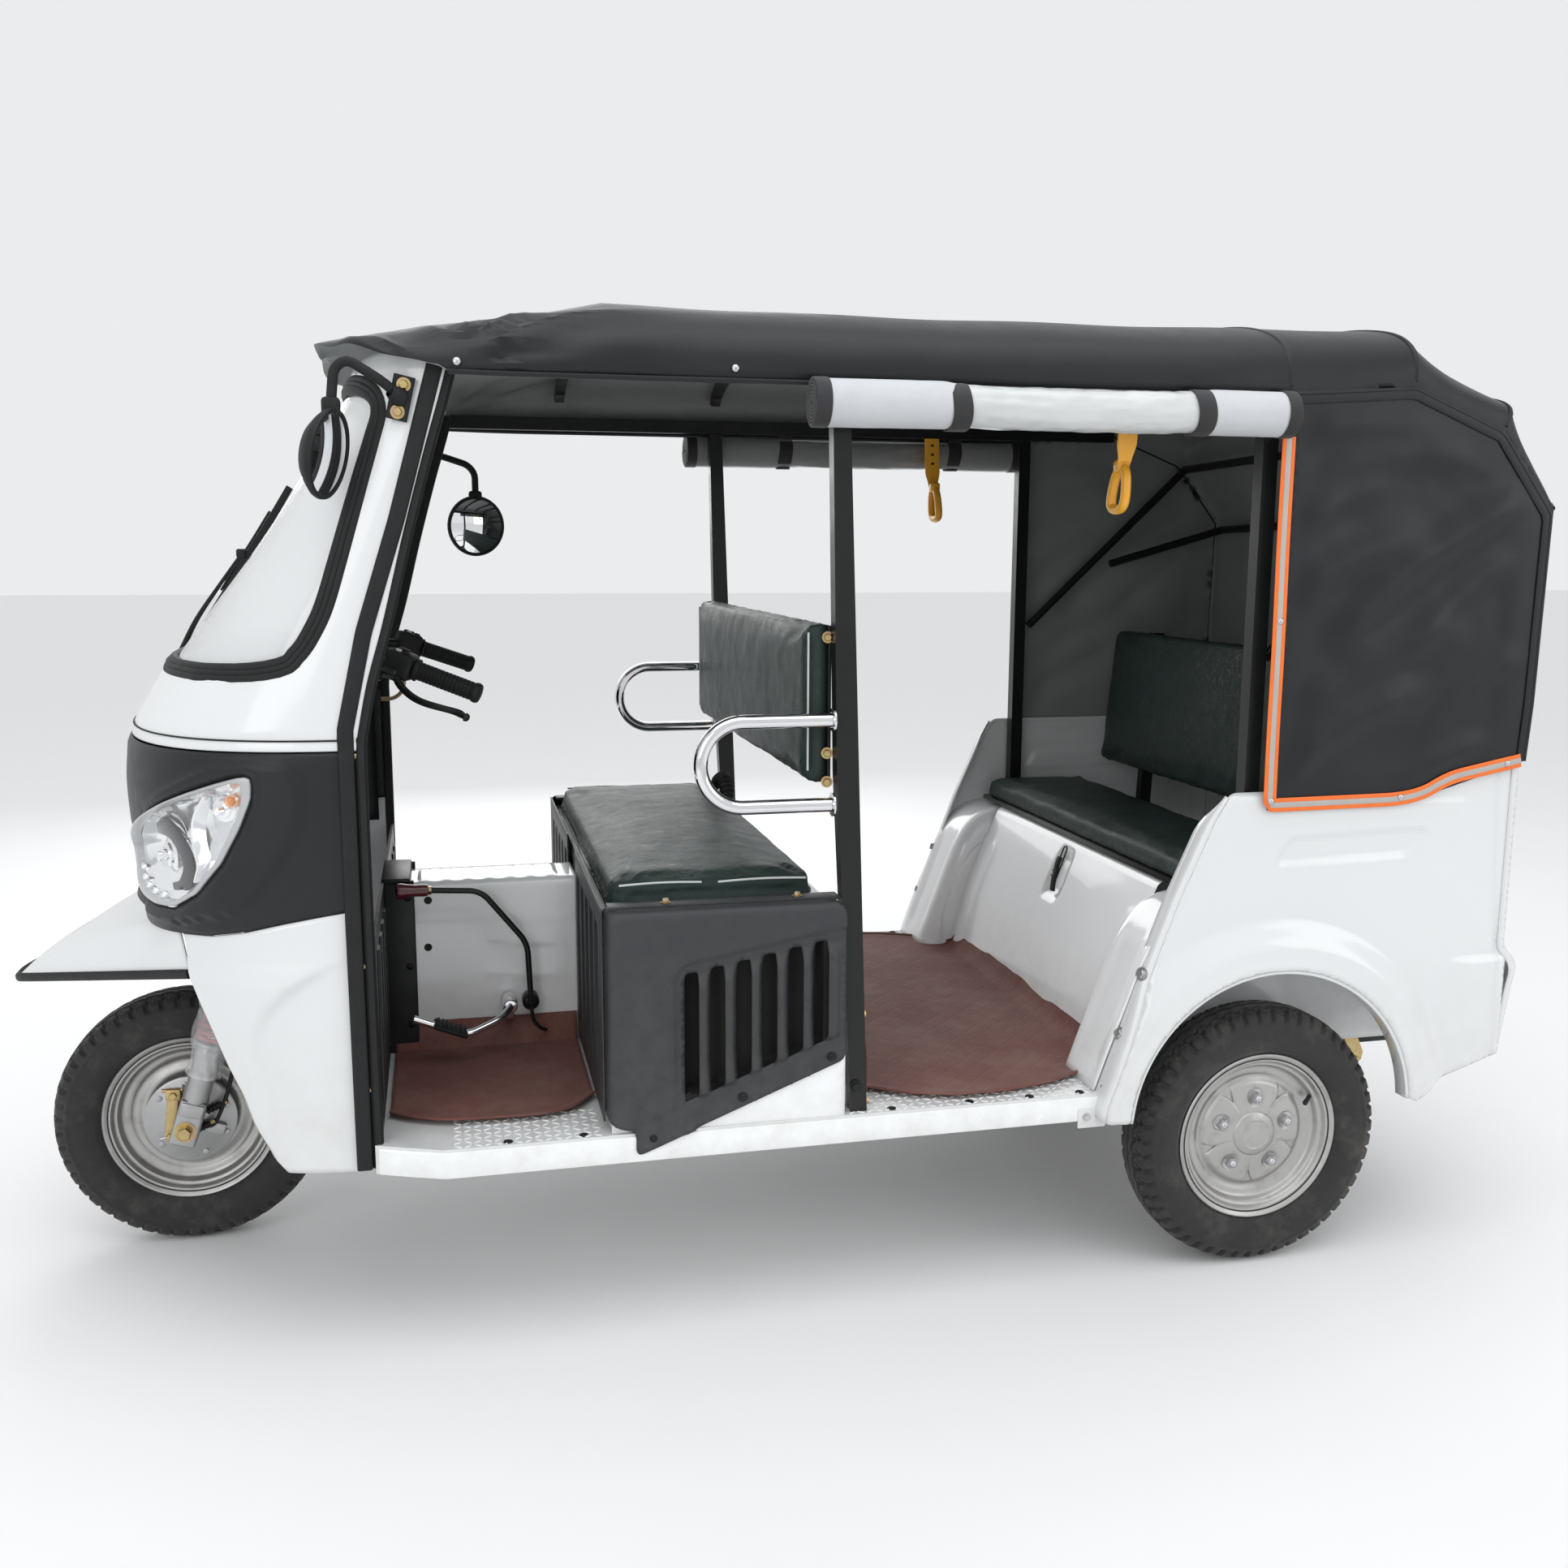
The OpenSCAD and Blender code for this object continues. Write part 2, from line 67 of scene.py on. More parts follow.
def spline(x, xs, ys):
    """monotone cubic through the points, so a table gives a smooth shape"""
    xs, ys = np.asarray(xs, float), np.asarray(ys, float)
    h = np.diff(xs)
    d = np.diff(ys) / h
    m = np.zeros(len(xs))
    m[0], m[-1] = d[0], d[-1]
    for i in range(1, len(xs) - 1):
        if d[i - 1] * d[i] > 0:
            w1, w2 = 2 * h[i] + h[i - 1], h[i] + 2 * h[i - 1]
            m[i] = (w1 + w2) / (w1 / d[i - 1] + w2 / d[i])
    x = np.asarray(x, float)
    xc = np.clip(x, xs[0], xs[-1])
    i = np.clip(np.searchsorted(xs, xc) - 1, 0, len(h) - 1)
    t = (xc - xs[i]) / h[i]
    return ((2 * t**3 - 3 * t**2 + 1) * ys[i] + (t**3 - 2 * t**2 + t) * h[i] * m[i]
            + (-2 * t**3 + 3 * t**2) * ys[i + 1] + (t**3 - t**2) * h[i] * m[i + 1])


def catmull(pts, k=8, closed=False):
    P = np.asarray(pts, float)
    n = len(P)
    out = []
    rngi = range(n if closed else n - 1)
    for i in rngi:
        if closed:
            p0, p1, p2, p3 = P[(i - 1) % n], P[i], P[(i + 1) % n], P[(i + 2) % n]
        else:
            p0 = P[i - 1] if i > 0 else 2 * P[0] - P[1]
            p1, p2 = P[i], P[i + 1]
            p3 = P[i + 2] if i + 2 < n else 2 * P[-1] - P[-2]
        for t in np.linspace(0, 1, k, endpoint=False):
            out.append(0.5 * ((2 * p1) + (-p0 + p2) * t + (2 * p0 - 5 * p1 + 4 * p2 - p3) * t * t + (-p0 + 3 * p1 - 3 * p2 + p3) * t**3))
    if not closed:
        out.append(P[-1])
    return np.array(out)


def resample(pts, step, closed=False):
    P = np.asarray(pts, float)
    if closed:
        P = np.vstack([P, P[:1]])
    d = np.r_[0, np.cumsum(np.linalg.norm(np.diff(P, axis=0), axis=1))]
    n = max(2, int(round(d[-1] / step)) + 1)
    s = np.linspace(0, d[-1], n)
    Q = np.stack([np.interp(s, d, P[:, k]) for k in range(P.shape[1])], 1)
    return Q[:-1] if closed else Q


def fillet(pts, r, k=5, closed=False):
    """polyline with its corners rounded"""
    P = np.asarray(pts, float)
    n = len(P)
    out = []
    for i in range(n):
        if not closed and i in (0, n - 1):
            out.append(P[i])
            continue
        a, b, c = P[(i - 1) % n], P[i], P[(i + 1) % n]
        la, lc = np.linalg.norm(a - b), np.linalg.norm(c - b)
        rr = r[i] if np.ndim(r) else r
        d = min(rr, 0.48 * la, 0.48 * lc)
        if d < 1e-6:
            out.append(b)
            continue
        p, q = b + (a - b) / la * d, b + (c - b) / lc * d
        for t in np.linspace(0, 1, k):
            out.append((1 - t)**2 * p + 2 * t * (1 - t) * b + t * t * q)
    return np.array(out)


def in_poly(x, z, P):
    P = np.asarray(P, float)
    inside = np.zeros(np.shape(x), bool)
    j = len(P) - 1
    for i in range(len(P)):
        xi, zi, xj, zj = P[i, 0], P[i, 1], P[j, 0], P[j, 1]
        if zi != zj:
            inside ^= ((zi > z) != (zj > z)) & (x < (xj - xi) * (z - zi) / (zj - zi) + xi)
        j = i
    return inside


def dist_line(x, z, P, closed=True):
    """distance from points to a polyline"""
    P = np.asarray(P, float)
    x, z = np.asarray(x, float), np.asarray(z, float)
    best = np.full(x.shape, 1e9)
    n = len(P)
    for i in range(n if closed else n - 1):
        a, b = P[i], P[(i + 1) % n]
        d = b - a
        L = max(d @ d, 1e-9)
        t = np.clip(((x - a[0]) * d[0] + (z - a[1]) * d[1]) / L, 0, 1)
        best = np.minimum(best, np.hypot(x - a[0] - t * d[0], z - a[1] - t * d[1]))
    return best


def vnoise(x, y, seed=0, octaves=3):
    """smooth repeatable noise of two numbers, about -1 to 1"""
    tot = np.zeros(np.broadcast(x, y).shape)
    amp, fr = 1.0, 1.0
    for o in range(octaves):
        g = np.random.default_rng(seed + 31 * o).uniform(-1, 1, (64, 64))
        fx, fy = np.asarray(x) * fr, np.asarray(y) * fr
        ix, iy = np.floor(fx).astype(int), np.floor(fy).astype(int)
        tx, ty = fx - ix, fy - iy
        tx, ty = tx * tx * (3 - 2 * tx), ty * ty * (3 - 2 * ty)
        a, b = g[ix % 64, iy % 64], g[(ix + 1) % 64, iy % 64]
        c, d = g[ix % 64, (iy + 1) % 64], g[(ix + 1) % 64, (iy + 1) % 64]
        tot = tot + amp * ((a * (1 - tx) + b * tx) * (1 - ty) + (c * (1 - tx) + d * tx) * ty)
        amp *= 0.5
        fr *= 2.03
    return tot / 1.6


# ------------------------------------------------------------------ meshes
def M(p):
    a = np.array(p, float)
    a[..., 0] -= XM
    return a / 1000.0


class Mesh:
    """collects pieces of mesh with material numbers"""

    def __init__(self):
        self.v, self.f, self.m, self.n = [], [], [], 0

    def add(self, vf, mi=0):
        v, f = vf
        v = np.asarray(v, float).reshape(-1, 3)
        self.v.append(v)
        self.f.extend([tuple(int(i) + self.n for i in q) for q in f])
        self.m.extend([mi] * len(f))
        self.n += len(v)
        return self

    def flip(self):
        self.f = [q[::-1] for q in self.f]
        return self


def make(name, src, mats, body="chassis", smooth=True, angle=38, merge=0.0, replaces=(), bevel=0, thick=0, thick_off=-1, rim=True, mat_off=0, recalc=False, ride=True, subsurf=0):
    """mesh object from (verts, faces) or a Mesh, riding on a body"""
    if isinstance(src, Mesh):
        v, f, mi = np.vstack(src.v), src.f, src.m
    else:
        v, f = src
        mi = None
    if not isinstance(mats, (list, tuple)):
        mats = [mats]
    me = bpy.data.meshes.new(name)
    me.from_pydata([tuple(p) for p in M(np.asarray(v).reshape(-1, 3))], [], [tuple(int(i) for i in q) for q in f])
    for m in mats:
        me.materials.append(m)
    if mi is not None and len(mats) > 1:
        me.polygons.foreach_set("material_index", mi)
    if merge or recalc:
        bm = bmesh.new()
        bm.from_mesh(me)
        if merge:
            bmesh.ops.remove_doubles(bm, verts=bm.verts, dist=merge / 1000)
        if recalc:
            bmesh.ops.recalc_face_normals(bm, faces=bm.faces)
        bm.to_mesh(me)
        bm.free()
    me.validate()
    me.update()
    if smooth:
        me.polygons.foreach_set("use_smooth", [True] * len(me.polygons))
        me.set_sharp_from_angle(angle=math.radians(angle))
    o = bpy.data.objects.new(name, me)
    COL.objects.link(o)
    if subsurf:
        s = o.modifiers.new("subdivide", "SUBSURF")
        s.levels = s.render_levels = subsurf
    if thick:
        s = o.modifiers.new("thickness", "SOLIDIFY")
        s.thickness = thick / 1000
        s.offset = thick_off
        s.use_rim = rim
        s.material_offset = mat_off
        s.material_offset_rim = 0
    if bevel:
        soften(o, bevel)
    if ride:
        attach(o, body)
    if replaces:
        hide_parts(*([replaces] if isinstance(replaces, str) else replaces))
    return o


def soften(o, w, seg=2, angle=40):
    b = o.modifiers.new("soft_edges", "BEVEL")
    b.width = w / 1000
    b.segments = seg
    b.limit_method = "ANGLE"
    b.angle_limit = math.radians(angle)
    b.harden_normals = False
    return o


def gfaces(n, m, ci=False, cj=False, base=0):
    out = []
    for i in range(n if ci else n - 1):
        for j in range(m if cj else m - 1):
            i1, j1 = (i + 1) % n, (j + 1) % m
            out.append((base + i * m + j, base + i * m + j1, base + i1 * m + j1, base + i1 * m + j))
    return out


def grid(P, ci=False, cj=False, flip=False):
    P = np.asarray(P, float)
    f = gfaces(P.shape[0], P.shape[1], ci, cj)
    if flip:
        f = [q[::-1] for q in f]
    return P.reshape(-1, 3), f


def frames(P, closed=False, up=None):
    """tangent, side and normal along a path"""
    P = np.asarray(P, float)
    n = len(P)
    if closed:
        T = unit(np.roll(P, -1, 0) - np.roll(P, 1, 0))
    else:
        T = unit(np.gradient(P, axis=0))
    if up is not None:
        U = np.broadcast_to(np.asarray(up, float), P.shape)
        S = unit(np.cross(T, U))
        return T, S, np.cross(S, T)
    Nn = np.zeros_like(P)
    a = A(0, 0, 1) if abs(T[0][2]) < 0.9 else A(1, 0, 0)
    Nn[0] = unit(a - T[0] * (a @ T[0]))
    for i in range(1, n):
        v = Nn[i - 1] - T[i] * (Nn[i - 1] @ T[i])
        Nn[i] = unit(v)
    if closed:
        ang = math.atan2(np.cross(Nn[-1], Nn[0]) @ T[0], Nn[-1] @ Nn[0])
        for i in range(n):
            t = ang * i / n
            Nn[i] = Nn[i] * math.cos(t) + np.cross(T[i], Nn[i]) * math.sin(t)
    return T, np.cross(T, Nn), Nn


def sweep(P, prof, closed=False, up=None, caps=True, scale=None):
    """profile (side, normal) carried along a path"""
    P = np.asarray(P, float)
    prof = np.asarray(prof, float)
    T, S, Nn = frames(P, closed, up)
    sc = np.ones(len(P)) if scale is None else np.asarray(scale, float)
    V = P[:, None, :] + (prof[None, :, 0:1] * S[:, None, :] + prof[None, :, 1:2] * Nn[:, None, :]) * sc[:, None, None]
    n, m = len(P), len(prof)
    f = gfaces(n, m, closed, True)
    if caps and not closed:
        f.append(tuple(range(m))[::-1])
        f.append(tuple((n - 1) * m + k for k in range(m)))
    return V.reshape(-1, 3), [q[::-1] for q in f]


def circle(r, n=12, ph=0.0):
    a = np.linspace(0, 2 * math.pi, n, endpoint=False) + ph
    return np.stack([r * np.cos(a), r * np.sin(a)], 1)


def rrect(w, h, r, k=4, cx=0, cy=0):
    out = []
    r = min(r, w / 2 - 1e-3, h / 2 - 1e-3)
    for sx, sy, a0 in ((1, 1, 0), (-1, 1, 90), (-1, -1, 180), (1, -1, 270)):
        for a in np.linspace(a0, a0 + 90, k):
            out.append((cx + sx * (w / 2 - r) + r * math.cos(math.radians(a)), cy + sy * (h / 2 - r) + r * math.sin(math.radians(a))))
    return np.array(out)


def tube(P, r, n=12, closed=False, k=0, caps=True, scale=None):
    P = np.asarray(P, float)
    if k:
        P = catmull(P, k, closed)
    return sweep(P, circle(r, n), closed, caps=caps, scale=scale)


def bent(P, r, bend, n=14, k=7):
    return tube(fillet(P, bend, k), r, n)


def lathe(prof, o, axis, n=48, a0=0.0, a1=360.0):
    """profile (radius, distance along axis) turned about an axis"""
    axis = unit(axis)
    a = A(1, 0, 0) if abs(axis[0]) < 0.9 else A(0, 0, 1)
    u = unit(np.cross(axis, a))
    w = np.cross(axis, u)
    full = abs(a1 - a0) >= 359.9
    th = np.radians(np.linspace(a0, a1, n, endpoint=not full))
    prof = np.asarray(prof, float)
    V = (np.asarray(o, float)[None, None] + prof[None, :, 1:2] * axis[None, None]
         + prof[None, :, 0:1] * (np.cos(th)[:, None, None] * u[None, None] + np.sin(th)[:, None, None] * w[None, None]))
    return V.reshape(-1, 3), gfaces(n, len(prof), full, False)


def rbox(lo, hi, r=2.0, seg=2):
    bm = bmesh.new()
    bmesh.ops.create_cube(bm, size=1.0)
    lo, hi = np.asarray(lo, float), np.asarray(hi, float)
    for v in bm.verts:
        v.co = Vector(tuple((lo + hi) / 2 + np.array(v.co) * (hi - lo)))
    r = min(r, 0.45 * float(min(hi - lo)))
    bmesh.ops.bevel(bm, geom=list(bm.edges), offset=r, segments=seg, profile=0.5, affect="EDGES")
    bm.normal_update()
    vs = [tuple(v.co) for v in bm.verts]
    fs = [tuple(v.index for v in f.verts) for f in bm.faces]
    bm.free()
    return np.array(vs), fs


def xform(vf, o, x, y, z):
    """local (x, y, z) axes to place a piece"""
    v, f = vf
    v = np.asarray(v, float)
    return np.asarray(o, float) + v[:, 0:1] * np.asarray(x, float) + v[:, 1:2] * np.asarray(y, float) + v[:, 2:3] * np.asarray(z, float), f


def basis(d):
    d = unit(d)
    a = A(0, 0, 1) if abs(d[2]) < 0.9 else A(1, 0, 0)
    x = unit(np.cross(a, d))
    return x, np.cross(d, x), d


def hexbolt(o, d, af=13.0, h=7.0, washer=True, turn=0.0):
    """bolt head with washer, its face towards d"""
    x, y, z = basis(d)
    r = af / math.sqrt(3)
    m = Mesh()
    a = np.radians(np.arange(6) * 60 + turn)
    rows = []
    for rr, hh in ((r, 0), (r, h * 0.82), (r * 0.86, h), (0.001, h)):
        rows.append([(rr * math.cos(t), rr * math.sin(t), hh + (1.6 if washer else 0)) for t in a])
    v, f = grid(np.array(rows), cj=True)
    m.add((v, f))
    if washer:
        m.add(lathe([(0.01, 0), (af * 0.86, 0), (af * 0.86, 1.6), (af * 0.4, 1.7)], (0, 0, 0), (0, 0, 1), 20))
    return xform((np.vstack(m.v), m.f), o, x, y, z)


def dome(o, d, r=8.0, h=4.0, n=18):
    return lathe([(r, -1.0), (r, 0)] + [(r * math.cos(math.radians(t)), h * math.sin(math.radians(t))) for t in (25, 50, 72)] + [(0.001, h)], o, d, n)


def panel(outline, step, holes=(), jitter=0.0):
    """flat triangulated panel: (points 2D, faces); outline and holes are kept as edges"""
    pts, edges = [], []

    def loop(L):
        L = resample(L, step, True) if step else np.asarray(L)
        i0, n = len(pts), len(L)
        pts.extend(map(tuple, L))
        edges.extend([(i0 + k, i0 + (k + 1) % n) for k in range(n)])
        return L

    def keep_corners(L):
        L = np.asarray(L, float)
        out = []
        n = len(L)
        for i in range(n):
            a, b = L[i], L[(i + 1) % n]
            k = max(1, int(round(np.linalg.norm(b - a) / step)))
            out.extend([a + (b - a) * t / k for t in range(k)])
        out = np.array(out)
        i0, m = len(pts), len(out)
        pts.extend(map(tuple, out))
        edges.extend([(i0 + k, i0 + (k + 1) % m) for k in range(m)])
        return out

    O = keep_corners(outline)
    H = [keep_corners(h) for h in holes]
    lo, hi = O.min(0), O.max(0)
    xs = np.arange(lo[0], hi[0], step)
    ys = np.arange(lo[1], hi[1], step * 0.866)
    gx, gy = np.meshgrid(xs, ys)
    gx = gx + (np.arange(len(ys)) % 2)[:, None] * step * 0.5
    gx, gy = gx.ravel(), gy.ravel()
    ok = in_poly(gx, gy, O)
    for h in H:
        ok &= ~in_poly(gx, gy, h)
    gx, gy = gx[ok], gy[ok]
    B = np.vstack([O] + H)
    kd = kdtree.KDTree(len(B))
    for i, p in enumerate(B):
        kd.insert((p[0], p[1], 0), i)
    kd.balance()
    far = np.array([kd.find((a, b, 0))[2] > step * 0.62 for a, b in zip(gx, gy)], bool) if len(gx) else np.zeros(0, bool)
    pts.extend(zip(gx[far], gy[far]))
    res = mgeo.delaunay_2d_cdt([Vector(p) for p in pts], edges, [], 0, 1e-6)
    V = np.array([tuple(p) for p in res[0]])
    F = np.array([tuple(t) for t in res[2] if len(t) == 3])
    c = V[F].mean(1)
    ok = in_poly(c[:, 0], c[:, 1], O)
    for h in H:
        ok &= ~in_poly(c[:, 0], c[:, 1], h)
    F = F[ok]
    a = V[F]
    e1, e2 = a[:, 1] - a[:, 0], a[:, 2] - a[:, 0]
    area = e1[:, 0] * e2[:, 1] - e1[:, 1] * e2[:, 0]
    F[area < 0] = F[area < 0][:, ::-1]
    return V, F


# ------------------------------------------------------------------ materials
class Nodes:
    """one Principled material with its node tree"""

    def __init__(self, name, slot, color=(0.5, 0.5, 0.5), rough=0.5, metal=0.0, **sock):
        self.m = bpy.data.materials.new(name)
        self.m.use_nodes = True
        self.t = self.m.node_tree
        self.b = self.t.nodes["Principled BSDF"]
        self.b.inputs["Base Color"].default_value = (*color, 1)
        self.b.inputs["Roughness"].default_value = rough
        self.b.inputs["Metallic"].default_value = metal
        for k, v in sock.items():
            self.b.inputs[k.replace("_", " ")].default_value = v
        self.tc = self.t.nodes.new("ShaderNodeTexCoord")
        self.color = (*color, 1)
        self.nrm = None
        self.m.diffuse_color = (*color, 1)

    def new(self, kind, **kw):
        n = self.t.nodes.new(kind)
        for k, v in kw.items():
            if hasattr(n, k) and k not in n.inputs.keys():
                setattr(n, k, v)
            else:
                n.inputs[k].default_value = v
        return n

    def link(self, a, b):
        self.t.links.new(a, b)

    def coord(self, scale=(1, 1, 1), rot=(0, 0, 0), loc=(0, 0, 0)):
        mp = self.new("ShaderNodeMapping")
        mp.inputs["Scale"].default_value = scale
        mp.inputs["Rotation"].default_value = tuple(math.radians(a) for a in rot)
        mp.inputs["Location"].default_value = loc
        self.link(self.tc.outputs["Object"], mp.inputs["Vector"])
        return mp.outputs["Vector"]

    def noise(self, scale, detail=4.0, rough=0.55, distort=0.0, vec=None):
        n = self.new("ShaderNodeTexNoise")
        n.inputs["Scale"].default_value = scale
        n.inputs["Detail"].default_value = detail
        n.inputs["Roughness"].default_value = rough
        n.inputs["Distortion"].default_value = distort
        self.link(vec if vec is not None else self.tc.outputs["Object"], n.inputs["Vector"])
        return n.outputs["Fac"]

    def voronoi(self, scale, feature="F1", vec=None, rnd=1.0):
        n = self.new("ShaderNodeTexVoronoi")
        n.feature = feature
        n.inputs["Scale"].default_value = scale
        n.inputs["Randomness"].default_value = rnd
        self.link(vec if vec is not None else self.tc.outputs["Object"], n.inputs["Vector"])
        return n.outputs["Distance"]

    def wave(self, scale, direction="X", distort=0.0, vec=None, profile="SIN"):
        n = self.new("ShaderNodeTexWave")
        n.wave_type = "BANDS"
        n.bands_direction = direction
        n.wave_profile = profile
        n.inputs["Scale"].default_value = scale
        n.inputs["Distortion"].default_value = distort
        self.link(vec if vec is not None else self.tc.outputs["Object"], n.inputs["Vector"])
        return n.outputs["Fac"]

    def ramp(self, fac, stops, interp="LINEAR"):
        r = self.new("ShaderNodeValToRGB")
        r.color_ramp.interpolation = interp
        e = r.color_ramp.elements
        while len(e) < len(stops):
            e.new(0.5)
        for i, (p, c) in enumerate(stops):
            e[i].position = p
            e[i].color = (*c, 1) if len(np.atleast_1d(c)) == 3 else (c, c, c, 1)
        self.link(fac, r.inputs["Fac"])
        return r.outputs["Color"]

    def math(self, op, a, b=None, clamp=False):
        n = self.new("ShaderNodeMath")
        n.operation = op
        n.use_clamp = clamp
        for i, x in enumerate((a, b)):
            if x is None:
                continue
            if isinstance(x, (int, float)):
                n.inputs[i].default_value = x
            else:
                self.link(x, n.inputs[i])
        return n.outputs[0]

    def mix(self, fac, a, b, blend="MIX"):
        n = self.new("ShaderNodeMix")
        n.data_type = "RGBA"
        n.blend_type = blend
        for idx, x in ((0, fac), (6, a), (7, b)):
            s = n.inputs[idx]
            if isinstance(x, (int, float)):
                s.default_value = x
            elif isinstance(x, tuple):
                s.default_value = (*x[:3], 1)
            else:
                self.link(x, s)
        return n.outputs[2]

    def base(self, sock):
        self.link(sock, self.b.inputs["Base Color"])
        return self

    def rough(self, sock, lo, hi):
        r = self.new("ShaderNodeMapRange")
        r.inputs["To Min"].default_value = lo
        r.inputs["To Max"].default_value = hi
        self.link(sock, r.inputs["Value"])
        self.link(r.outputs["Result"], self.b.inputs["Roughness"])
        return self

    def bump(self, height, strength=0.2, dist=0.001, coat=False):
        n = self.new("ShaderNodeBump")
        n.inputs["Strength"].default_value = strength
        n.inputs["Distance"].default_value = dist
        self.link(height, n.inputs["Height"])
        if self.nrm is not None:
            self.link(self.nrm, n.inputs["Normal"])
        self.nrm = n.outputs["Normal"]
        self.link(self.nrm, self.b.inputs["Normal"])
        if coat:
            self.link(self.nrm, self.b.inputs["Coat Normal"])
        return self

    def height_z(self):
        s = self.new("ShaderNodeSeparateXYZ")
        self.link(self.tc.outputs["Object"], s.inputs[0])
        return s.outputs[2]

    def dust(self, base, dusty, z0=0.25, z1=0.75, amount=0.5, scale=14):
        """dirt that gets thicker towards the road; returns a colour"""
        r = self.new("ShaderNodeMapRange")
        r.inputs["From Min"].default_value = z0
        r.inputs["From Max"].default_value = z1
        r.inputs["To Min"].default_value = amount
        r.inputs["To Max"].default_value = 0.0
        self.link(self.height_z(), r.inputs["Value"])
        n = self.ramp(self.noise(scale, 6, 0.65), [(0.36, 0.0), (0.72, 1.0)])
        return self.mix(self.math("MULTIPLY", r.outputs["Result"], n), base, dusty)


def M_white(name="paint_white", a=(0.685, 0.70, 0.705), b=(0.725, 0.735, 0.74)):
    k = Nodes(name, "white_paint", a, 0.16, Coat_Weight=0.45, Coat_Roughness=0.04)
    c = k.mix(k.noise(2.2, 3), a, b)
    k.base(k.dust(c, (0.52, 0.49, 0.45), 0.28, 0.62, 0.42, 18))
    k.rough(k.noise(26, 5), 0.10, 0.26)
    k.bump(k.noise(420, 2), 0.035, 0.0004).bump(k.noise(9, 2), 0.05, 0.002)
    return k.m


def M_charcoal():
    k = Nodes("moulded_charcoal", "charcoal_panel", (0.010, 0.012, 0.0135), 0.42, Specular_IOR_Level=0.34)
    c = k.mix(k.noise(7, 4), (0.0078, 0.0094, 0.0108), (0.0120, 0.0142, 0.0160))
    k.base(k.dust(c, (0.07, 0.066, 0.058), 0.3, 0.9, 0.25, 22))
    k.rough(k.noise(40, 5), 0.34, 0.5)
    k.bump(k.voronoi(1500), 0.10, 0.0002)
    return k.m


def M_cover():
    k = Nodes("moulded_grey", "grey_cover", (0.060, 0.064, 0.072), 0.5)
    c = k.mix(k.noise(5, 5), (0.0205, 0.0235, 0.0268), (0.030, 0.0335, 0.0375))
    k.base(k.dust(c, (0.13, 0.12, 0.105), 0.3, 0.9, 0.30, 30))
    k.rough(k.noise(30, 5), 0.42, 0.6)
    k.bump(k.noise(900, 3, 0.7), 0.28, 0.0005)
    return k.m


def M_steel():
    k = Nodes("black_enamel", "black_steel", (0.006, 0.0068, 0.0068), 0.3, Coat_Weight=0.1, Coat_Roughness=0.15, Specular_IOR_Level=0.3)
    c = k.mix(k.noise(12, 4), (0.0055, 0.0062, 0.0062), (0.0095, 0.0105, 0.0105))
    rust = k.ramp(k.noise(55, 8, 0.7), [(0.70, 0.0), (0.79, 1.0)])
    c = k.mix(k.math("MULTIPLY", rust, 0.5), c, (0.085, 0.040, 0.020))
    k.base(k.dust(c, (0.08, 0.072, 0.06), 0.2, 0.55, 0.40, 20))
    k.rough(k.noise(24, 5), 0.22, 0.5)
    k.bump(k.noise(300, 4), 0.08, 0.0004)
    return k.m


def M_rubber():
    k = Nodes("black_rubber_trim", "black_rubber", (0.008, 0.0085, 0.009), 0.6, Specular_IOR_Level=0.32)
    k.base(k.mix(k.noise(20, 5), (0.0065, 0.007, 0.0075), (0.0135, 0.014, 0.0145)))
    k.rough(k.noise(60, 4), 0.5, 0.72)
    k.bump(k.noise(700, 3), 0.12, 0.0003)
    return k.m


def M_tyre():
    k = Nodes("tyre_rubber_tread", "tyre_rubber", (0.016, 0.016, 0.017), 0.7, Sheen_Weight=0.12, Sheen_Roughness=0.5)
    c = k.mix(k.noise(30, 6, 0.65), (0.008, 0.008, 0.0085), (0.018, 0.0175, 0.017))
    d = k.ramp(k.noise(16, 8, 0.7), [(0.5, 0.0), (0.78, 1.0)])
    k.base(k.mix(k.math("MULTIPLY", d, 0.45), c, (0.105, 0.095, 0.080)))
    k.rough(k.noise(50, 5), 0.58, 0.82)
    k.bump(k.noise(900, 3), 0.16, 0.0003)
    return k.m


def vinyl(name, slot, ca, cb, rough=(0.4, 0.6), weave=0.1, crease=0.12):
    k = Nodes(name, slot, ca, 0.5, Sheen_Weight=0.03, Sheen_Roughness=0.4, Specular_IOR_Level=0.36)
    k.base(k.mix(k.noise(6, 6, 0.6), ca, cb))
    k.rough(k.noise(18, 6), *rough)
    w = k.math("ADD", k.wave(260, "X", 0.6), k.wave(260, "Z", 0.6))
    k.bump(w, weave, 0.0003)
    k.bump(k.noise(9, 5, 0.5, 1.2), crease, 0.006)
    return k.m


def M_seat():
    k = Nodes("seat_vinyl_under_film", "seat_vinyl", (0.014, 0.024, 0.022), 0.3, Coat_Weight=0.07, Coat_Roughness=0.10, Specular_IOR_Level=0.11)
    c = k.mix(k.noise(9, 5, 0.6, 0.8), (0.018, 0.030, 0.027), (0.036, 0.055, 0.049))
    milky = k.ramp(k.noise(22, 7, 0.65, 2.4, k.coord((1, 2.2, 1.4))), [(0.60, 0.0), (0.74, 1.0)])
    k.base(k.mix(k.math("MULTIPLY", milky, 0.12), c, (0.16, 0.21, 0.20)))
    k.rough(k.noise(26, 4), 0.30, 0.52)
    film = k.ramp(k.noise(24, 6, 0.6, 3.0, k.coord((1, 2.0, 1.3))), [(0.40, 0.0), (0.5, 1.0), (0.60, 0.0)])
    k.bump(k.voronoi(620), 0.05, 0.0003)
    k.bump(film, 0.30, 0.0024, True).bump(k.noise(60, 5, 0.6, 1.6), 0.10, 0.0012, True)
    return k.m


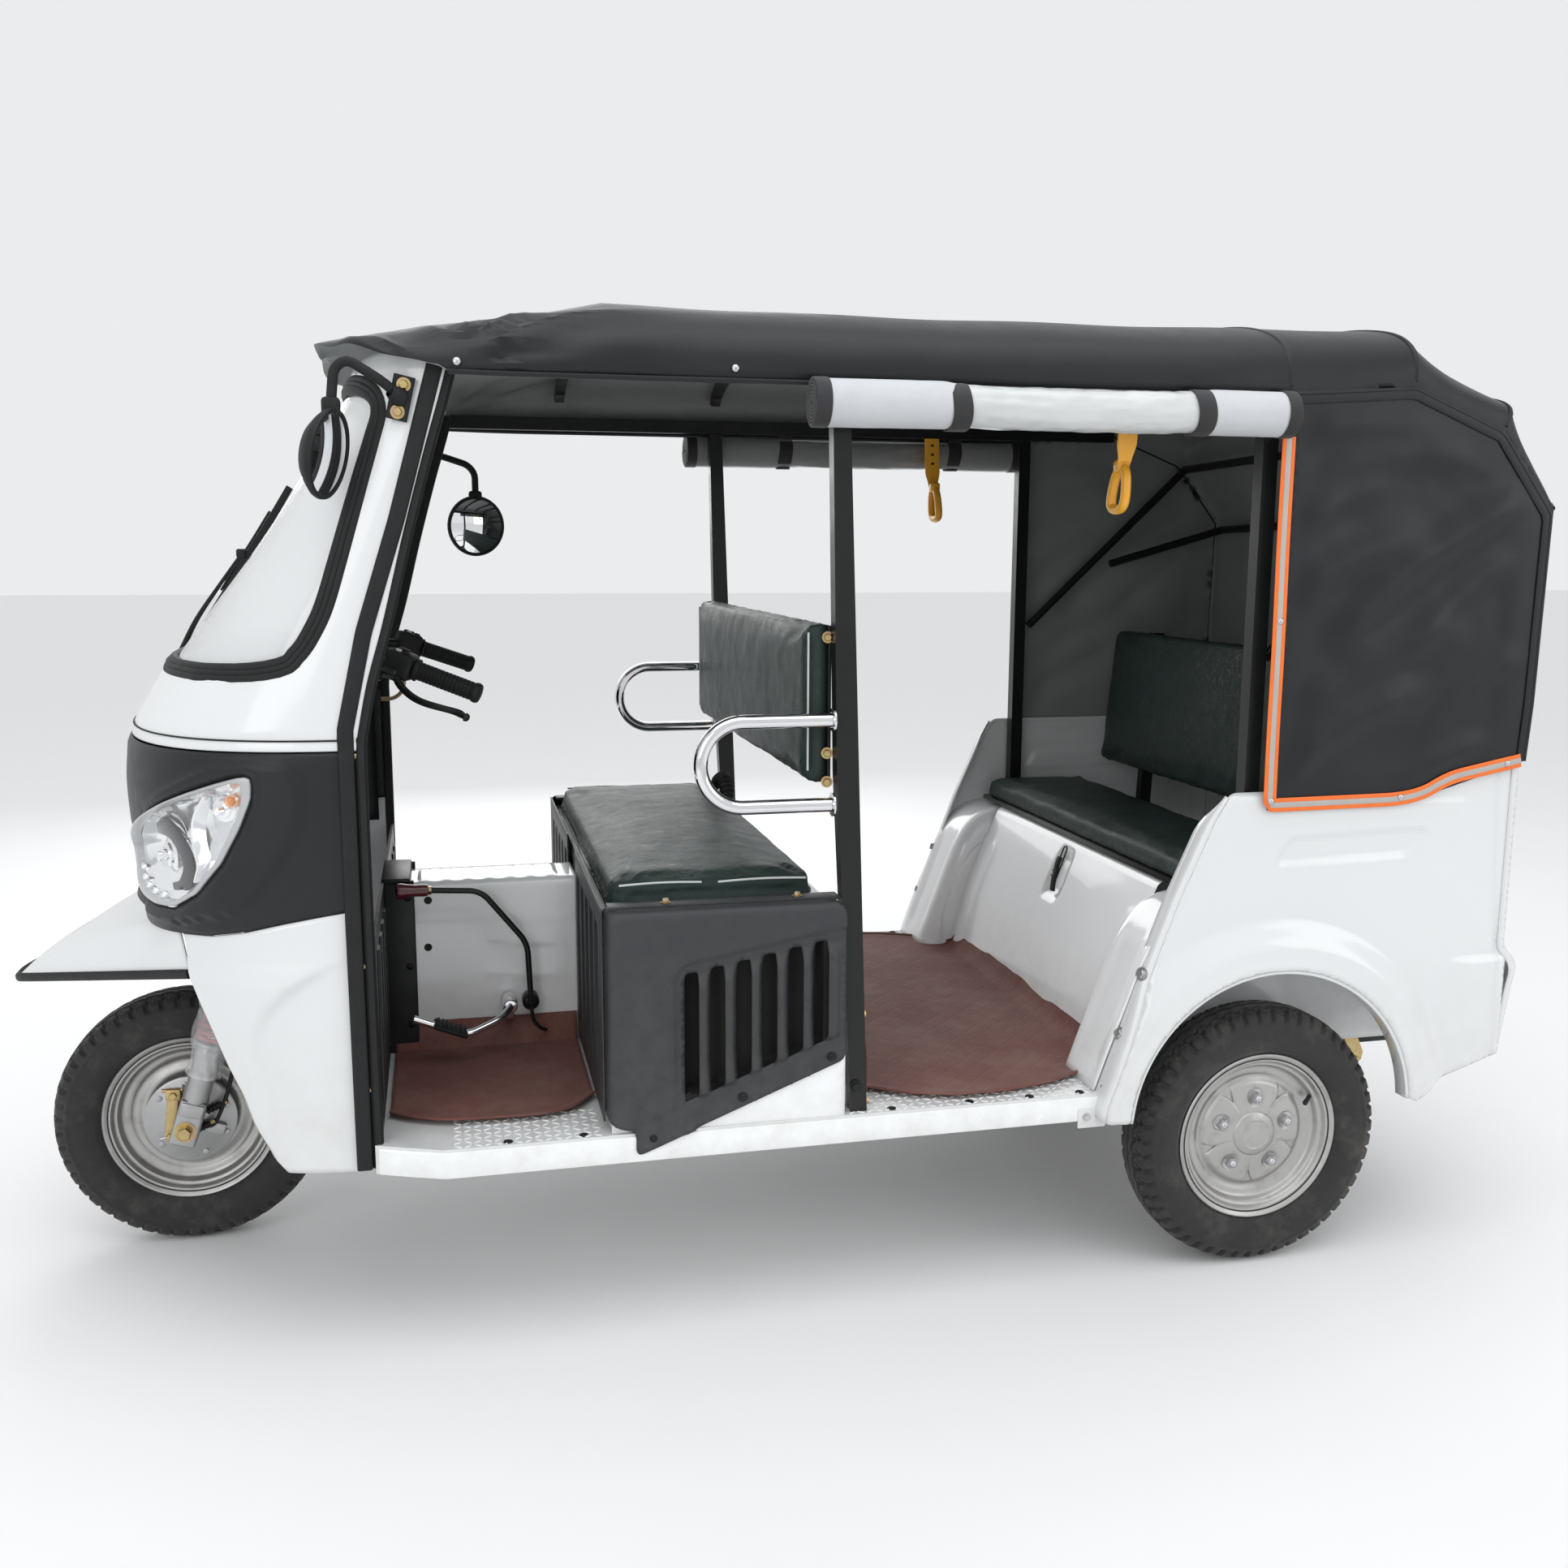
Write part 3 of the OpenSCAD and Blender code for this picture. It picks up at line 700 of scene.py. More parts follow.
def M_mat():
    k = Nodes("floor_mat_quilted", "mat_brown", (0.13, 0.045, 0.034), 0.75, Sheen_Weight=0.08)
    c = k.mix(k.noise(10, 7, 0.65), (0.125, 0.036, 0.027), (0.19, 0.066, 0.050))
    d = k.ramp(k.noise(7, 8, 0.7), [(0.44, 0.0), (0.74, 1.0)])
    c = k.mix(k.math("MULTIPLY", d, 0.38), c, (0.30, 0.20, 0.155))
    k.base(c)
    k.rough(k.noise(40, 5), 0.6, 0.88)
    v = k.coord((1, 1, 1), (0, 0, 45))
    q = k.math("MINIMUM", k.wave(9.5, "X", 0, v), k.wave(9.5, "Y", 0, v))
    k.bump(k.ramp(q, [(0.0, 0.0), (0.09, 1.0)]), 0.35, 0.0016)
    k.bump(k.noise(500, 4, 0.7), 0.22, 0.0006)
    return k.m


def metal(name, slot, ca, cb, rough=(0.15, 0.3), grain=0.05, m=1.0, scale=20):
    k = Nodes(name, slot, ca, rough[0], m)
    k.base(k.mix(k.noise(scale, 5, 0.6), ca, cb))
    k.rough(k.noise(scale * 2.2, 5), *rough)
    k.bump(k.noise(500, 3), grain, 0.0003)
    return k.m


def M_wheel():
    k = Nodes("wheel_silver_paint", "wheel_silver", (0.50, 0.49, 0.47), 0.4, 0.8)
    c = k.mix(k.noise(14, 5), (0.40, 0.395, 0.385), (0.50, 0.49, 0.475))
    d = k.ramp(k.noise(26, 8, 0.7), [(0.52, 0.0), (0.72, 1.0)])
    k.base(k.mix(k.math("MULTIPLY", d, 0.4), c, (0.20, 0.17, 0.13)))
    k.rough(k.noise(40, 5), 0.3, 0.5)
    k.bump(k.noise(700, 3), 0.06, 0.0003)
    return k.m


def glassy(name, slot, color, trans, rough=0.02, ior=1.45, alpha=1.0, wrinkle=0.0, wscale=30, **kw):
    k = Nodes(name, slot, color, rough, 0.0, Transmission_Weight=trans, IOR=ior, Alpha=alpha, **kw)
    c2 = tuple(max(0.0, x * 0.955) for x in color)
    k.base(k.mix(k.noise(4, 4), color, c2))
    k.rough(k.noise(30, 5), rough, rough + 0.05)
    if wrinkle:
        k.bump(k.noise(wscale, 6, 0.6, 2.6), wrinkle, 0.003)
    else:
        k.bump(k.noise(3, 2), 0.01, 0.002)
    return k.m


def plastic(name, slot, ca, cb, rough=(0.25, 0.4), coat=0.0, bump=0.05, trans=0.0):
    k = Nodes(name, slot, ca, rough[0], Coat_Weight=coat, Coat_Roughness=0.08, Transmission_Weight=trans)
    k.base(k.mix(k.noise(16, 5), ca, cb))
    k.rough(k.noise(40, 5), *rough)
    k.bump(k.noise(600, 3), bump, 0.0003)
    return k.m


def M_gold():
    k = Nodes("zinc_yellow", "zinc", (0.72, 0.55, 0.24), 0.3, 1.0)
    n = k.noise(40, 5, 0.6, 1.0)
    k.base(k.ramp(n, [(0.3, (0.50, 0.44, 0.22)), (0.5, (0.52, 0.39, 0.17)), (0.62, (0.48, 0.31, 0.20)), (0.75, (0.44, 0.42, 0.24))]))
    k.rough(k.noise(90, 5), 0.22, 0.45)
    k.bump(k.noise(400, 3), 0.06, 0.0003)
    return k.m


def M_tape():
    k = Nodes("hem_tape_orange", "canopy_vinyl", (0.85, 0.20, 0.02), 0.5, Sheen_Weight=0.1)
    k.base(k.mix(k.noise(60, 4), (0.78, 0.125, 0.008), (0.86, 0.185, 0.015)))
    k.rough(k.noise(50, 4), 0.42, 0.62)
    k.bump(k.math("ADD", k.wave(420, "X"), k.wave(420, "Z")), 0.15, 0.0004)
    return k.m


def M_fabric(name, slot, ca, cb, rough=(0.6, 0.8), scale=520, strength=0.2):
    k = Nodes(name, slot, ca, 0.7, Sheen_Weight=0.15)
    k.base(k.mix(k.noise(18, 6, 0.6), ca, cb))
    k.rough(k.noise(40, 5), *rough)
    k.bump(k.math("ADD", k.wave(scale, "X"), k.math("ADD", k.wave(scale, "Y"), k.wave(scale, "Z"))), strength, 0.0003)
    k.bump(k.noise(26, 5, 0.6, 1.5), 0.2, 0.003)
    return k.m


WHITE = M_white()
# lighter copy of the white paint for the cab's inner parts, the floor details and the plate under the cover edge:
# painted light that lifts the shade there
WHITE_LIT_INSIDE = M_white("paint_white_inside_painted_light", (0.84, 0.86, 0.865), (0.88, 0.89, 0.895))
CHAR = M_charcoal()
COVER = M_cover()
STEEL = M_steel()
RUBBER = M_rubber()
TYREM = M_tyre()
CANOPY = vinyl("canopy_vinyl_outer", "canopy_vinyl", (0.0050, 0.0066, 0.0084), (0.0085, 0.0106, 0.0128), (0.36, 0.50))
LINING = vinyl("canopy_vinyl_inner", "canopy_vinyl", (0.20, 0.212, 0.212), (0.26, 0.272, 0.268), (0.6, 0.8))
SEATM = M_seat()
MATM = M_mat()
CHROME = metal("chrome_plate", "chrome", (0.82, 0.82, 0.84), (0.70, 0.70, 0.72), (0.04, 0.12), 0.02)
MIRROR = metal("mirror_silver", "chrome", (0.88, 0.89, 0.90), (0.84, 0.85, 0.87), (0.01, 0.03), 0.0)
BRIGHT = metal("zinc_bright", "zinc", (0.62, 0.62, 0.63), (0.48, 0.48, 0.49), (0.25, 0.42), 0.08, 1.0, 60)
GOLD = M_gold()
BRASS = metal("bolt_bronze", "zinc", (0.40, 0.30, 0.17), (0.28, 0.21, 0.12), (0.25, 0.42), 0.08, 1.0, 70)
WHEEL = M_wheel()
CAST = metal("cast_metal_grey", "cast_metal", (0.20, 0.20, 0.20), (0.13, 0.125, 0.12), (0.45, 0.65), 0.25, 0.7, 24)
GLASS = glassy("screen_glass_pale", "screen_glass", (0.86, 0.88, 0.885), 0.0, 0.03, 1.45, 0.62, Coat_Weight=1.0, Coat_Roughness=0.02)
LENS = glassy("lamp_lens_clear", "lamp_clear", (0.85, 0.87, 0.88), 0.0, 0.03, 1.45, 0.07, 0.04, 40, Coat_Weight=1.0, Coat_Roughness=0.03)
WRAP = glassy("film_wrap_clear", "curtain_film", (0.86, 0.87, 0.88), 0.0, 0.10, 1.4, 0.36, 0.6, 60, Coat_Weight=1.0, Coat_Roughness=0.06)
REFLECT = metal("lamp_reflector", "chrome", (0.93, 0.935, 0.95), (0.86, 0.87, 0.88), (0.05, 0.14), 0.03, 0.72)
BEZEL = plastic("lamp_bezel_grey", "lamp_clear", (0.40, 0.41, 0.42), (0.48, 0.49, 0.50), (0.15, 0.3), 0.4)
LAMPDARK = plastic("lamp_black_inner", "charcoal_panel", (0.010, 0.010, 0.012), (0.020, 0.020, 0.022), (0.12, 0.25), 0.3)
DUCT = plastic("duct_black_matt", "charcoal_panel", (0.0035, 0.0035, 0.004), (0.007, 0.007, 0.0075), (0.7, 0.88))
REDLENS = plastic("lens_red", "lamp_red", (0.42, 0.008, 0.010), (0.50, 0.014, 0.014), (0.06, 0.14), 0.5, 0.02, 0.25)
AMBER = plastic("lens_amber", "lamp_red", (0.80, 0.26, 0.02), (0.88, 0.33, 0.04), (0.06, 0.14), 0.5, 0.02, 0.25)
YELLOW = plastic("strap_yellow", "grab_yellow", (0.80, 0.36, 0.020), (0.86, 0.42, 0.035), (0.3, 0.45), 0.1)
KNOB = plastic("knob_burgundy", "seat_vinyl", (0.085, 0.010, 0.014), (0.11, 0.014, 0.02), (0.2, 0.32), 0.4)
REDPAINT = plastic("spring_red", "black_steel", (0.42, 0.018, 0.03), (0.48, 0.03, 0.04), (0.3, 0.45), 0.3)
TAPE = M_tape()
TAPEGREY = M_fabric("hem_tape_grey", "canopy_vinyl", (0.36, 0.34, 0.32), (0.46, 0.44, 0.41), (0.35, 0.5), 420, 0.12)
CLOTHW = M_fabric("curtain_cloth_white", "curtain_film", (0.50, 0.515, 0.54), (0.58, 0.595, 0.61))
CLOTHB = M_fabric("strap_black", "canopy_vinyl", (0.012, 0.012, 0.013), (0.022, 0.022, 0.023))
PIPE = M_fabric("piping_white", "seat_vinyl", (0.52, 0.55, 0.54), (0.62, 0.64, 0.63), (0.4, 0.55), 300, 0.05)
PLATE = metal("floor_chequer", "zinc", (0.40, 0.40, 0.40), (0.28, 0.27, 0.26), (0.32, 0.5), 0.12, 0.9, 30)


# ------------------------------------------------------------------ camera, light, floor
def studio():
    cam = bpy.data.cameras.new("photo_camera")
    co = bpy.data.objects.new("photo_camera", cam)
    COL.objects.link(co)
    r, d, f = A(-.97369, .22790, .00414), A(.03282, .15818, -.98687), A(-.22556, -.96075, -.16149)
    c = M(A(1522.2, 3005.1, 1394.0))
    co.matrix_world = Matrix(((r[0], -d[0], -f[0], c[0]), (r[1], -d[1], -f[1], c[1]), (r[2], -d[2], -f[2], c[2]), (0, 0, 0, 1)))
    cam.lens, cam.sensor_width, cam.sensor_fit = 1792.3 / 1932 * 36, 36, "AUTO"
    cam.clip_start, cam.clip_end = 0.05, 100
    bpy.context.scene.camera = co
    w = bpy.data.worlds.new("studio")
    bpy.context.scene.world = w
    w.use_nodes = True
    bg = w.node_tree.nodes["Background"]
    bg.inputs["Color"].default_value = (0.97, 0.985, 1.0, 1)
    bg.inputs["Strength"].default_value = 0.85
    bpy.context.scene.view_settings.view_transform = "Standard"

    def area(name, loc, target, size, power, color=(1, 1, 1)):
        L = bpy.data.lights.new(name, "AREA")
        L.shape, L.size, L.size_y, L.energy, L.color = "RECTANGLE", size[0], size[1], power, color
        o = bpy.data.objects.new(name, L)
        COL.objects.link(o)
        o.location = loc
        o.rotation_euler = (Vector(target) - Vector(loc)).to_track_quat("-Z", "Y").to_euler()

    area("sky_top", (0.2, 1.6, 5.2), (0, 0, 0.8), (5.5, 4.5), 112, (0.97, 0.99, 1.0))
    area("front_left", (3.6, 4.4, 2.6), (0.4, 0, 0.8), (2.8, 2.8), 46)
    area("rear_left", (-4.2, 3.4, 2.4), (-0.4, 0, 0.8), (2.6, 2.6), 32)
    area("far_side", (0.3, -4.6, 2.6), (0, 0, 0.8), (3.2, 2.4), 60)
    k = Nodes("studio_floor", "white_paint", (0.86, 0.86, 0.86), 0.7)
    k.base(k.mix(k.noise(3, 4), (0.85, 0.85, 0.85), (0.87, 0.87, 0.87)))
    me = bpy.data.meshes.new("studio_floor")
    s = 40.0
    me.from_pydata([(-s, -s, 0), (s, -s, 0), (s, s, 0), (-s, s, 0)], [], [(0, 1, 2, 3)])
    me.materials.append(k.m)
    fl = bpy.data.objects.new("studio_floor", me)
    COL.objects.link(fl)


studio()


# ------------------------------------------------------------------ nose shell
NOSE = np.array([(300, 2010, 1664, 545), (500, 2040, 1664, 556), (640, 2062, 1664, 562), (750, 2080, 1664, 568), (885, 2092, 1664, 572),
                 (975, 2096, 1664, 572), (1045, 2090, 1664, 572), (1060, 2084, 1664, 571), (1063, 2076, 1664, 566), (1079, 2074, 1663, 566),
                 (1165, 2021, 1645, 565), (1265, 1948, 1616, 564), (1408, 1840, 1579, 562), (1536, 1755, 1543, 560), (1662, 1680, 1505, 558),
                 (1720, 1650, 1490, 556)], float)
PW = 2 / 2.65
PANEL_LOW = [(0, 726), (30, 736), (45, 744), (53, 749), (60, 752), (69, 762), (78, 778), (90, 797)]
APRON_EDGE = [(330, 70), (350, 67), (375, 65.6), (410, 63.4), (467, 61), (522, 57), (584, 53.4), (632, 50.5), (677, 48.3), (745, 47)]
SCREEN_EDGE = np.array([(1785, 1189), (1745, 1222), (1718, 1264), (1701, 1302), (1682, 1360), (1661, 1427), (1640, 1494), (1618, 1562), (1607, 1600),
                        (1612, 1628), (1634, 1648), (1670, 1666)], float)
BROW = [(29.5, 909), (41.9, 967), (53.5, 1005), (64, 1035), (73.3, 1046), (79.5, 1043), (82.2, 1021), (83.1, 986), (81.8, 935), (78.6, 884), (74.2, 839), (69.2, 799)]
CREASE = [(711, 87.6), (686, 82.4), (653, 76.4), (618, 71.6), (583, 68.9), (533, 67.5), (463, 67.8), (407, 68.8), (357, 69.9)][::-1]
LAMP = [(13, 812, 846), (20, 795, 882), (30, 788, 917), (39, 787, 944), (48, 793, 969), (57, 823, 991), (65, 878, 1009), (70, 935, 1019), (73, 985, 1021)]


def nose_row(z):
    z = np.asarray(z, float)
    out = []
    for k in (1, 2, 3):
        lo = spline(z, NOSE[:7, 0], NOSE[:7, k])
        hi = spline(z, NOSE[9:, 0], NOSE[9:, k])
        mid = np.interp(z, NOSE[6:10, 0], NOSE[6:10, k])
        out.append(np.where(z <= 1045, lo, np.where(z >= 1079, hi, mid)))
    return out


def nose(t, z, off=0.0):
    t, z = np.broadcast_arrays(np.asarray(t, float), np.asarray(z, float))
    xf, xr, w = nose_row(z)
    c, s = np.clip(np.cos(np.radians(t)), 0, 1), np.abs(np.sin(np.radians(t)))
    return np.stack([xr + (xf - xr + off) * c**PW, np.sign(t) * (w + off) * s**PW, z], -1)


def nose_n(t, z):
    """outward normal of the nose shell"""
    e = 0.4
    t = np.asarray(t, float)
    sg = np.where(t >= 0, 1.0, -1.0)
    ta = np.clip(np.abs(t), 1.5, 88.5)
    a = (nose(ta + e, z) - nose(ta - e, z)) * (1, 1, 1)
    b = nose(ta, np.asarray(z) + 2) - nose(ta, np.asarray(z) - 2)
    n = unit(np.cross(a, b))
    n[..., 1] *= sg
    flat = np.abs(t) < 1.5
    n[..., 1] = np.where(flat, n[..., 1] * np.abs(t) / 1.5, n[..., 1])
    return unit(n)


_u = np.linspace(-1, 1, 6001)
_t = np.sign(_u) * 90 * np.abs(_u)**1.6
_p = nose(_t, 900.0)
ARC_T = _t
ARC_U = np.r_[0, np.cumsum(np.linalg.norm(np.diff(_p, axis=0), axis=1))]
ARC_U -= ARC_U[-1] / 2


def t_of(u):
    return np.interp(u, ARC_U, ARC_T)


def u_of(t):
    return np.interp(t, ARC_T, ARC_U)


def tcols(t0, t1, n):
    return t_of(np.linspace(u_of(t0), u_of(t1), n))


def t_at_x(x, z):
    xf, xr, w = nose_row(z)
    c = np.clip((np.asarray(x, float) - xr) / (xf - xr), 0, 1)**(1 / PW)
    return np.degrees(np.arccos(c))


def screen_t(z):
    return t_at_x(np.interp(z, SCREEN_EDGE[:, 1], SCREEN_EDGE[:, 0]), z)


def cowl():
    n, m = 26, 60
    m_ = Mesh()
    z_lo = np.r_[1063, 1066, 1072, 1078, 1082, np.linspace(1090, 1189, 14)]
    te = float(screen_t(1189.0))
    tl = np.r_[tcols(-90, -te, n), tcols(-te, te, m)[1:-1], tcols(te, 90, n)]
    T, Z = np.meshgrid(tl, z_lo, indexing="ij")
    groove = -3.0 * np.exp(-((Z - 1080) / 2.6)**2)
    P = nose(T, Z) + nose_n(T, Z) * groove[..., None]
    m_.add(grid(P))
    z_s = np.unique(np.r_[SCREEN_EDGE[:, 1], np.linspace(1189, 1666, 46)])
    for sg in (-1, 1):
        ts = np.stack([tcols(float(screen_t(z)), 90, n) for z in z_s], 1)
        Zs = np.broadcast_to(z_s, ts.shape)
        P = nose(sg * ts, Zs)
        m_.add(grid(P, flip=sg < 0))
    te = float(screen_t(1666.0))
    tl = np.r_[tcols(-90, -te, n), tcols(-te, te, m)[1:-1], tcols(te, 90, n)]
    T, Z = np.meshgrid(tl, np.linspace(1666, 1700, 5), indexing="ij")
    m_.add(grid(nose(T, Z)))
    return make("cowl_shell", m_, WHITE, merge=0.05, replaces="windshield_cowl", thick=5, thick_off=-1, recalc=False)


def on_nose(x, z, side=1):
    return side * t_at_x(x, z)


def seal():
    """rubber strip round the screen, with its locking bead"""
    S = catmull(SCREEN_EDGE, 6)
    # the lower corner sweeps into the bottom run
    S = S[S[:, 1] > 1212]
    t_side = t_at_x(S[:, 0], S[:, 1])
    low = [(t_side[0], S[0, 1])]
    corner = np.array([(1764, 1202), (1800, 1191.5), (1850, 1186), (1905, 1184)])
    tc = t_at_x(corner[:, 0], corner[:, 1])
    left_t = np.r_[tc[::-1], t_side]
    left_z = np.r_[corner[::-1, 1], S[:, 1]]
    mid_t = tcols(-tc[-1], tc[-1], 34)[1:-1]
    mid_z = np.full(len(mid_t), 1184.0)
    top_te = t_side[-1]
    top_t = tcols(top_te, -top_te, 30)[1:-1]
    T = np.r_[mid_t, left_t, top_t, -left_t[::-1]]
    Z = np.r_[mid_z, left_z, np.full(len(top_t), 1668.0), left_z[::-1]]
    P = nose(T, Z)
    P = catmull(P[::1], 2, True)
    P = resample(P, 9.0, True)
    # normals at the resampled points
    Zr = P[:, 2]
    xf, xr, w = nose_row(Zr)
    tr = np.degrees(np.arctan2(np.clip(np.abs(P[:, 1]) / w, 0, 1)**(1 / PW), np.clip((P[:, 0] - xr) / (xf - xr), 0, 1)**(1 / PW))) * np.sign(P[:, 1])
    Nn = nose_n(tr, Zr)
    prof = [(-17, -3), (-17, 2.5), (-15, 5.6), (-11, 7.4), (-5.5, 8.0), (-4.4, 7.0), (-3.2, 8.4), (0, 9.6), (3.2, 8.4), (4.4, 7.0), (5.5, 8.0),
            (11, 7.4), (15, 5.6), (17, 2.5), (17, -3)]
    make("screen_seal", sweep(P, prof, True, Nn), RUBBER, angle=50)
    return P


def glass():
    zs = np.linspace(1180, 1672, 26)
    zc = np.clip(zs, 1189, 1666)
    rows = []
    for z, c in zip(zs, zc):
        te = float(screen_t(c)) * 1.015
        rows.append(nose(tcols(-te, te, 56), z, -5.0))
    make("screen_pane", grid(np.array(rows), flip=True), GLASS, replaces="windshield_glass", thick=5, thick_off=1)


def brow_height(u, z):
    """the pressed line that runs round each lamp"""
    B = np.array([(u_of(t), zz) for t, zz in BROW])
    B = catmull(B, 6)
    C = np.vstack([B, [(u_of(45), 760), (u_of(20), 770), (u_of(14), 845)]])
    h = np.zeros(u.shape)
    for sg in (1, -1):
        d = dist_line(sg * u, z, B, False)
        ins = in_poly(sg * u, z, C)
        sd = np.where(ins, d, -d)
        h = np.maximum(h, 9.0 * smooth01((sd + 6) / 12) * np.clip((sg * u) / 60, 0, 1))
    return h


def lamp_loop(grow=0.0, n=90):
    """outline of a lamp in (arc, z), counter-clockwise"""
    lo = [(u_of(t), a) for t, a, b in LAMP]
    hi = [(u_of(t), b) for t, a, b in LAMP][::-1]
    P = catmull(fillet(np.array(lo + hi), 10, 3, True), 4, True)
    P = resample(P, 8.0, True)
    if grow:
        T = unit(np.roll(P, -1, 0) - np.roll(P, 1, 0))
        P = P + np.stack([T[:, 1], -T[:, 0]], 1) * grow
    return P


def nose_uz(u, z, h):
    t = t_of(u)
    return nose(t, z) + nose_n(t, z) * np.asarray(h)[..., None]


def lamp_panel():
    U = ARC_U[-1]
    tt = tcols(-90, 90, 120)
    low = np.stack([u_of(tt), interp(np.abs(tt), PANEL_LOW)], 1)
    out = np.vstack([low, [(U, 1030), (U, 1060.5)], np.stack([np.linspace(U, -U, 121)[1:-1], np.full(119, 1060.5)], 1), [(-U, 1060.5), (-U, 1030)]])
    L = lamp_loop(3.0)
    R = np.stack([-L[::-1, 0], L[::-1, 1]], 1)
    V, F = panel(out, 9.0, [L, R])
    u, z = V[:, 0], V[:, 1]
    dl = np.minimum(dist_line(np.abs(u), z, L), 999)
    h = brow_height(u, z)
    h = h - 9.0 * np.exp(-(dl / 11.0)**2)                         # falls into the lamp recess
    top = smooth01((z - 1040) / 20)
    h = h * (1 - top)
    P = nose_uz(u, z, h)
    make("lamp_panel_moulding", (P, F), CHAR, replaces="headlight_panel", thick=5, thick_off=-1, angle=60)


def lamps():
    L = lamp_loop(0.0)
    c = np.array([u_of(43), 893.0])
    n = len(L)
    rho = np.linspace(1, 0.0, 15)
    fan = c[None, None] + (L[None] - c[None, None]) * rho[:, None, None]
    for sg, nm in ((1, "left"), (-1, "right")):
        def shell(h, rows=slice(None)):
            W = fan[rows]
            hh = np.broadcast_to(h, W.shape[:2])
            P = nose_uz(sg * W[..., 0], W[..., 1], hh)
            return grid(P, cj=True, flip=sg < 0)
        m = Mesh()
        # grey outer bezel, its inner step, then the chrome bowl
        ring = [(1.0, -9), (1.02, -2), (1.01, 2.5), (0.985, 4), (0.95, 3), (0.93, -2), (0.925, -14)]
        W = np.array([c[None] + (L - c[None]) * a for a, h in ring])
        H = np.array([[h] * n for a, h in ring], float)
        m.add(grid(nose_uz(sg * W[..., 0], W[..., 1], H), cj=True, flip=sg < 0), 0)
        bowl = [(0.925, -14), (0.90, -19), (0.82, -30), (0.66, -42), (0.46, -50), (0.24, -54), (0.02, -56)]
        W = np.array([c[None] + (L - c[None]) * a for a, h in bowl])
        ang = np.arctan2(L[:, 1] - c[1], L[:, 0] - c[0])
        H = np.array([[h + 1.8 * math.cos(9 * a_) * (1 - abs(a - 0.6)) for a_ in ang] for a, h in bowl])
        m.add(grid(nose_uz(sg * W[..., 0], W[..., 1], H), cj=True, flip=sg < 0), 1)
        # inner arch that splits the two bowls: a dark curved wall
        arc = catmull(np.array([(u_of(33), 915), (u_of(42), 912), (u_of(48), 880), (u_of(49), 845), (u_of(45), 812), (u_of(40), 800)]), 8)
        lo = nose_uz(sg * arc[:, 0], arc[:, 1], np.full(len(arc), -50.0))
        hi = nose_uz(sg * arc[:, 0], arc[:, 1], np.full(len(arc), -13.0))
        m.add(sweep((lo + hi) / 2, rrect(34, 5, 2), False, unit(hi - lo)), 2)
        arc2 = catmull(np.array([(u_of(60), 985), (u_of(56), 945), (u_of(55), 905), (u_of(56), 868), (u_of(54), 835)]), 8)
        lo = nose_uz(sg * arc2[:, 0], arc2[:, 1], np.full(len(arc2), -46.0))
        hi = nose_uz(sg * arc2[:, 0], arc2[:, 1], np.full(len(arc2), -12.0))
        m.add(sweep((lo + hi) / 2, rrect(5, 30, 2), False, unit(hi - lo)), 1)
        # main bulb holder and turn bulb
        for (tb, zb, dp, r, mi) in ((36, 862, -44, 22, 1), (64, 962, -34, 15, 1)):
            o = nose_uz(np.array([sg * u_of(tb)]), np.array([float(zb)]), np.array([float(dp)]))[0]
            d = nose_n(np.array([sg * float(tb)]), np.array([float(zb)]))[0]
            m.add(lathe([(r * 1.5, -6), (r * 1.45, 2), (r, 5), (r * 0.96, 9), (r * 0.55, 11), (r * 0.5, 20), (r * 0.42, 25), (0.01, 27)], o, d, 28), mi)
        o = nose_uz(np.array([sg * u_of(67)]), np.array([978.0]), np.array([-24.0]))[0]
        d = nose_n(np.array([sg * 67.0]), np.array([978.0]))[0]
        m.add(lathe([(11, -8), (11, 2), (9.5, 7), (6, 10), (0.01, 11.5)], o, d, 20), 3)
        # five small lamps along the lower front edge
        for (tb, zb) in ((17, 812), (22.5, 803), (28.5, 798.5), (34.5, 797.5), (40.5, 799.5)):
            o = nose_uz(np.array([sg * u_of(tb)]), np.array([float(zb)]), np.array([-9.0]))[0]
            d = nose_n(np.array([sg * float(tb)]), np.array([float(zb)]))[0]
            m.add(lathe([(8.5, -6), (8.8, 1), (7.6, 2.4), (6.4, 0.5), (5.0, 3.0), (0.01, 5.0)], o, d, 16), 1)
        make(f"lamp_body_{nm}", m, [BEZEL, REFLECT, LAMPDARK, AMBER], replaces="headlights" if sg > 0 else (), angle=45)
        # clear lens with a rounded crown
        a = np.linspace(1, 0.0, 16)
        W = c[None, None] + (L[None] - c[None, None]) * (a * 0.985)[:, None, None]
        H = np.broadcast_to((2.0 + 13.0 * (1 - a**2.2))[:, None], W.shape[:2])
        make(f"lamp_lens_{nm}", grid(nose_uz(sg * W[..., 0], W[..., 1], H), cj=True, flip=sg < 0), LENS)
        # rubber lip between lamp and panel
        P = nose_uz(sg * L[:, 0], L[:, 1], np.full(n, -4.0))
        Nn = nose_n(sg * t_of(L[:, 0]), L[:, 1])
        make(f"lamp_gasket_{nm}", sweep(P, rrect(5, 7, 2), True, Nn), RUBBER)


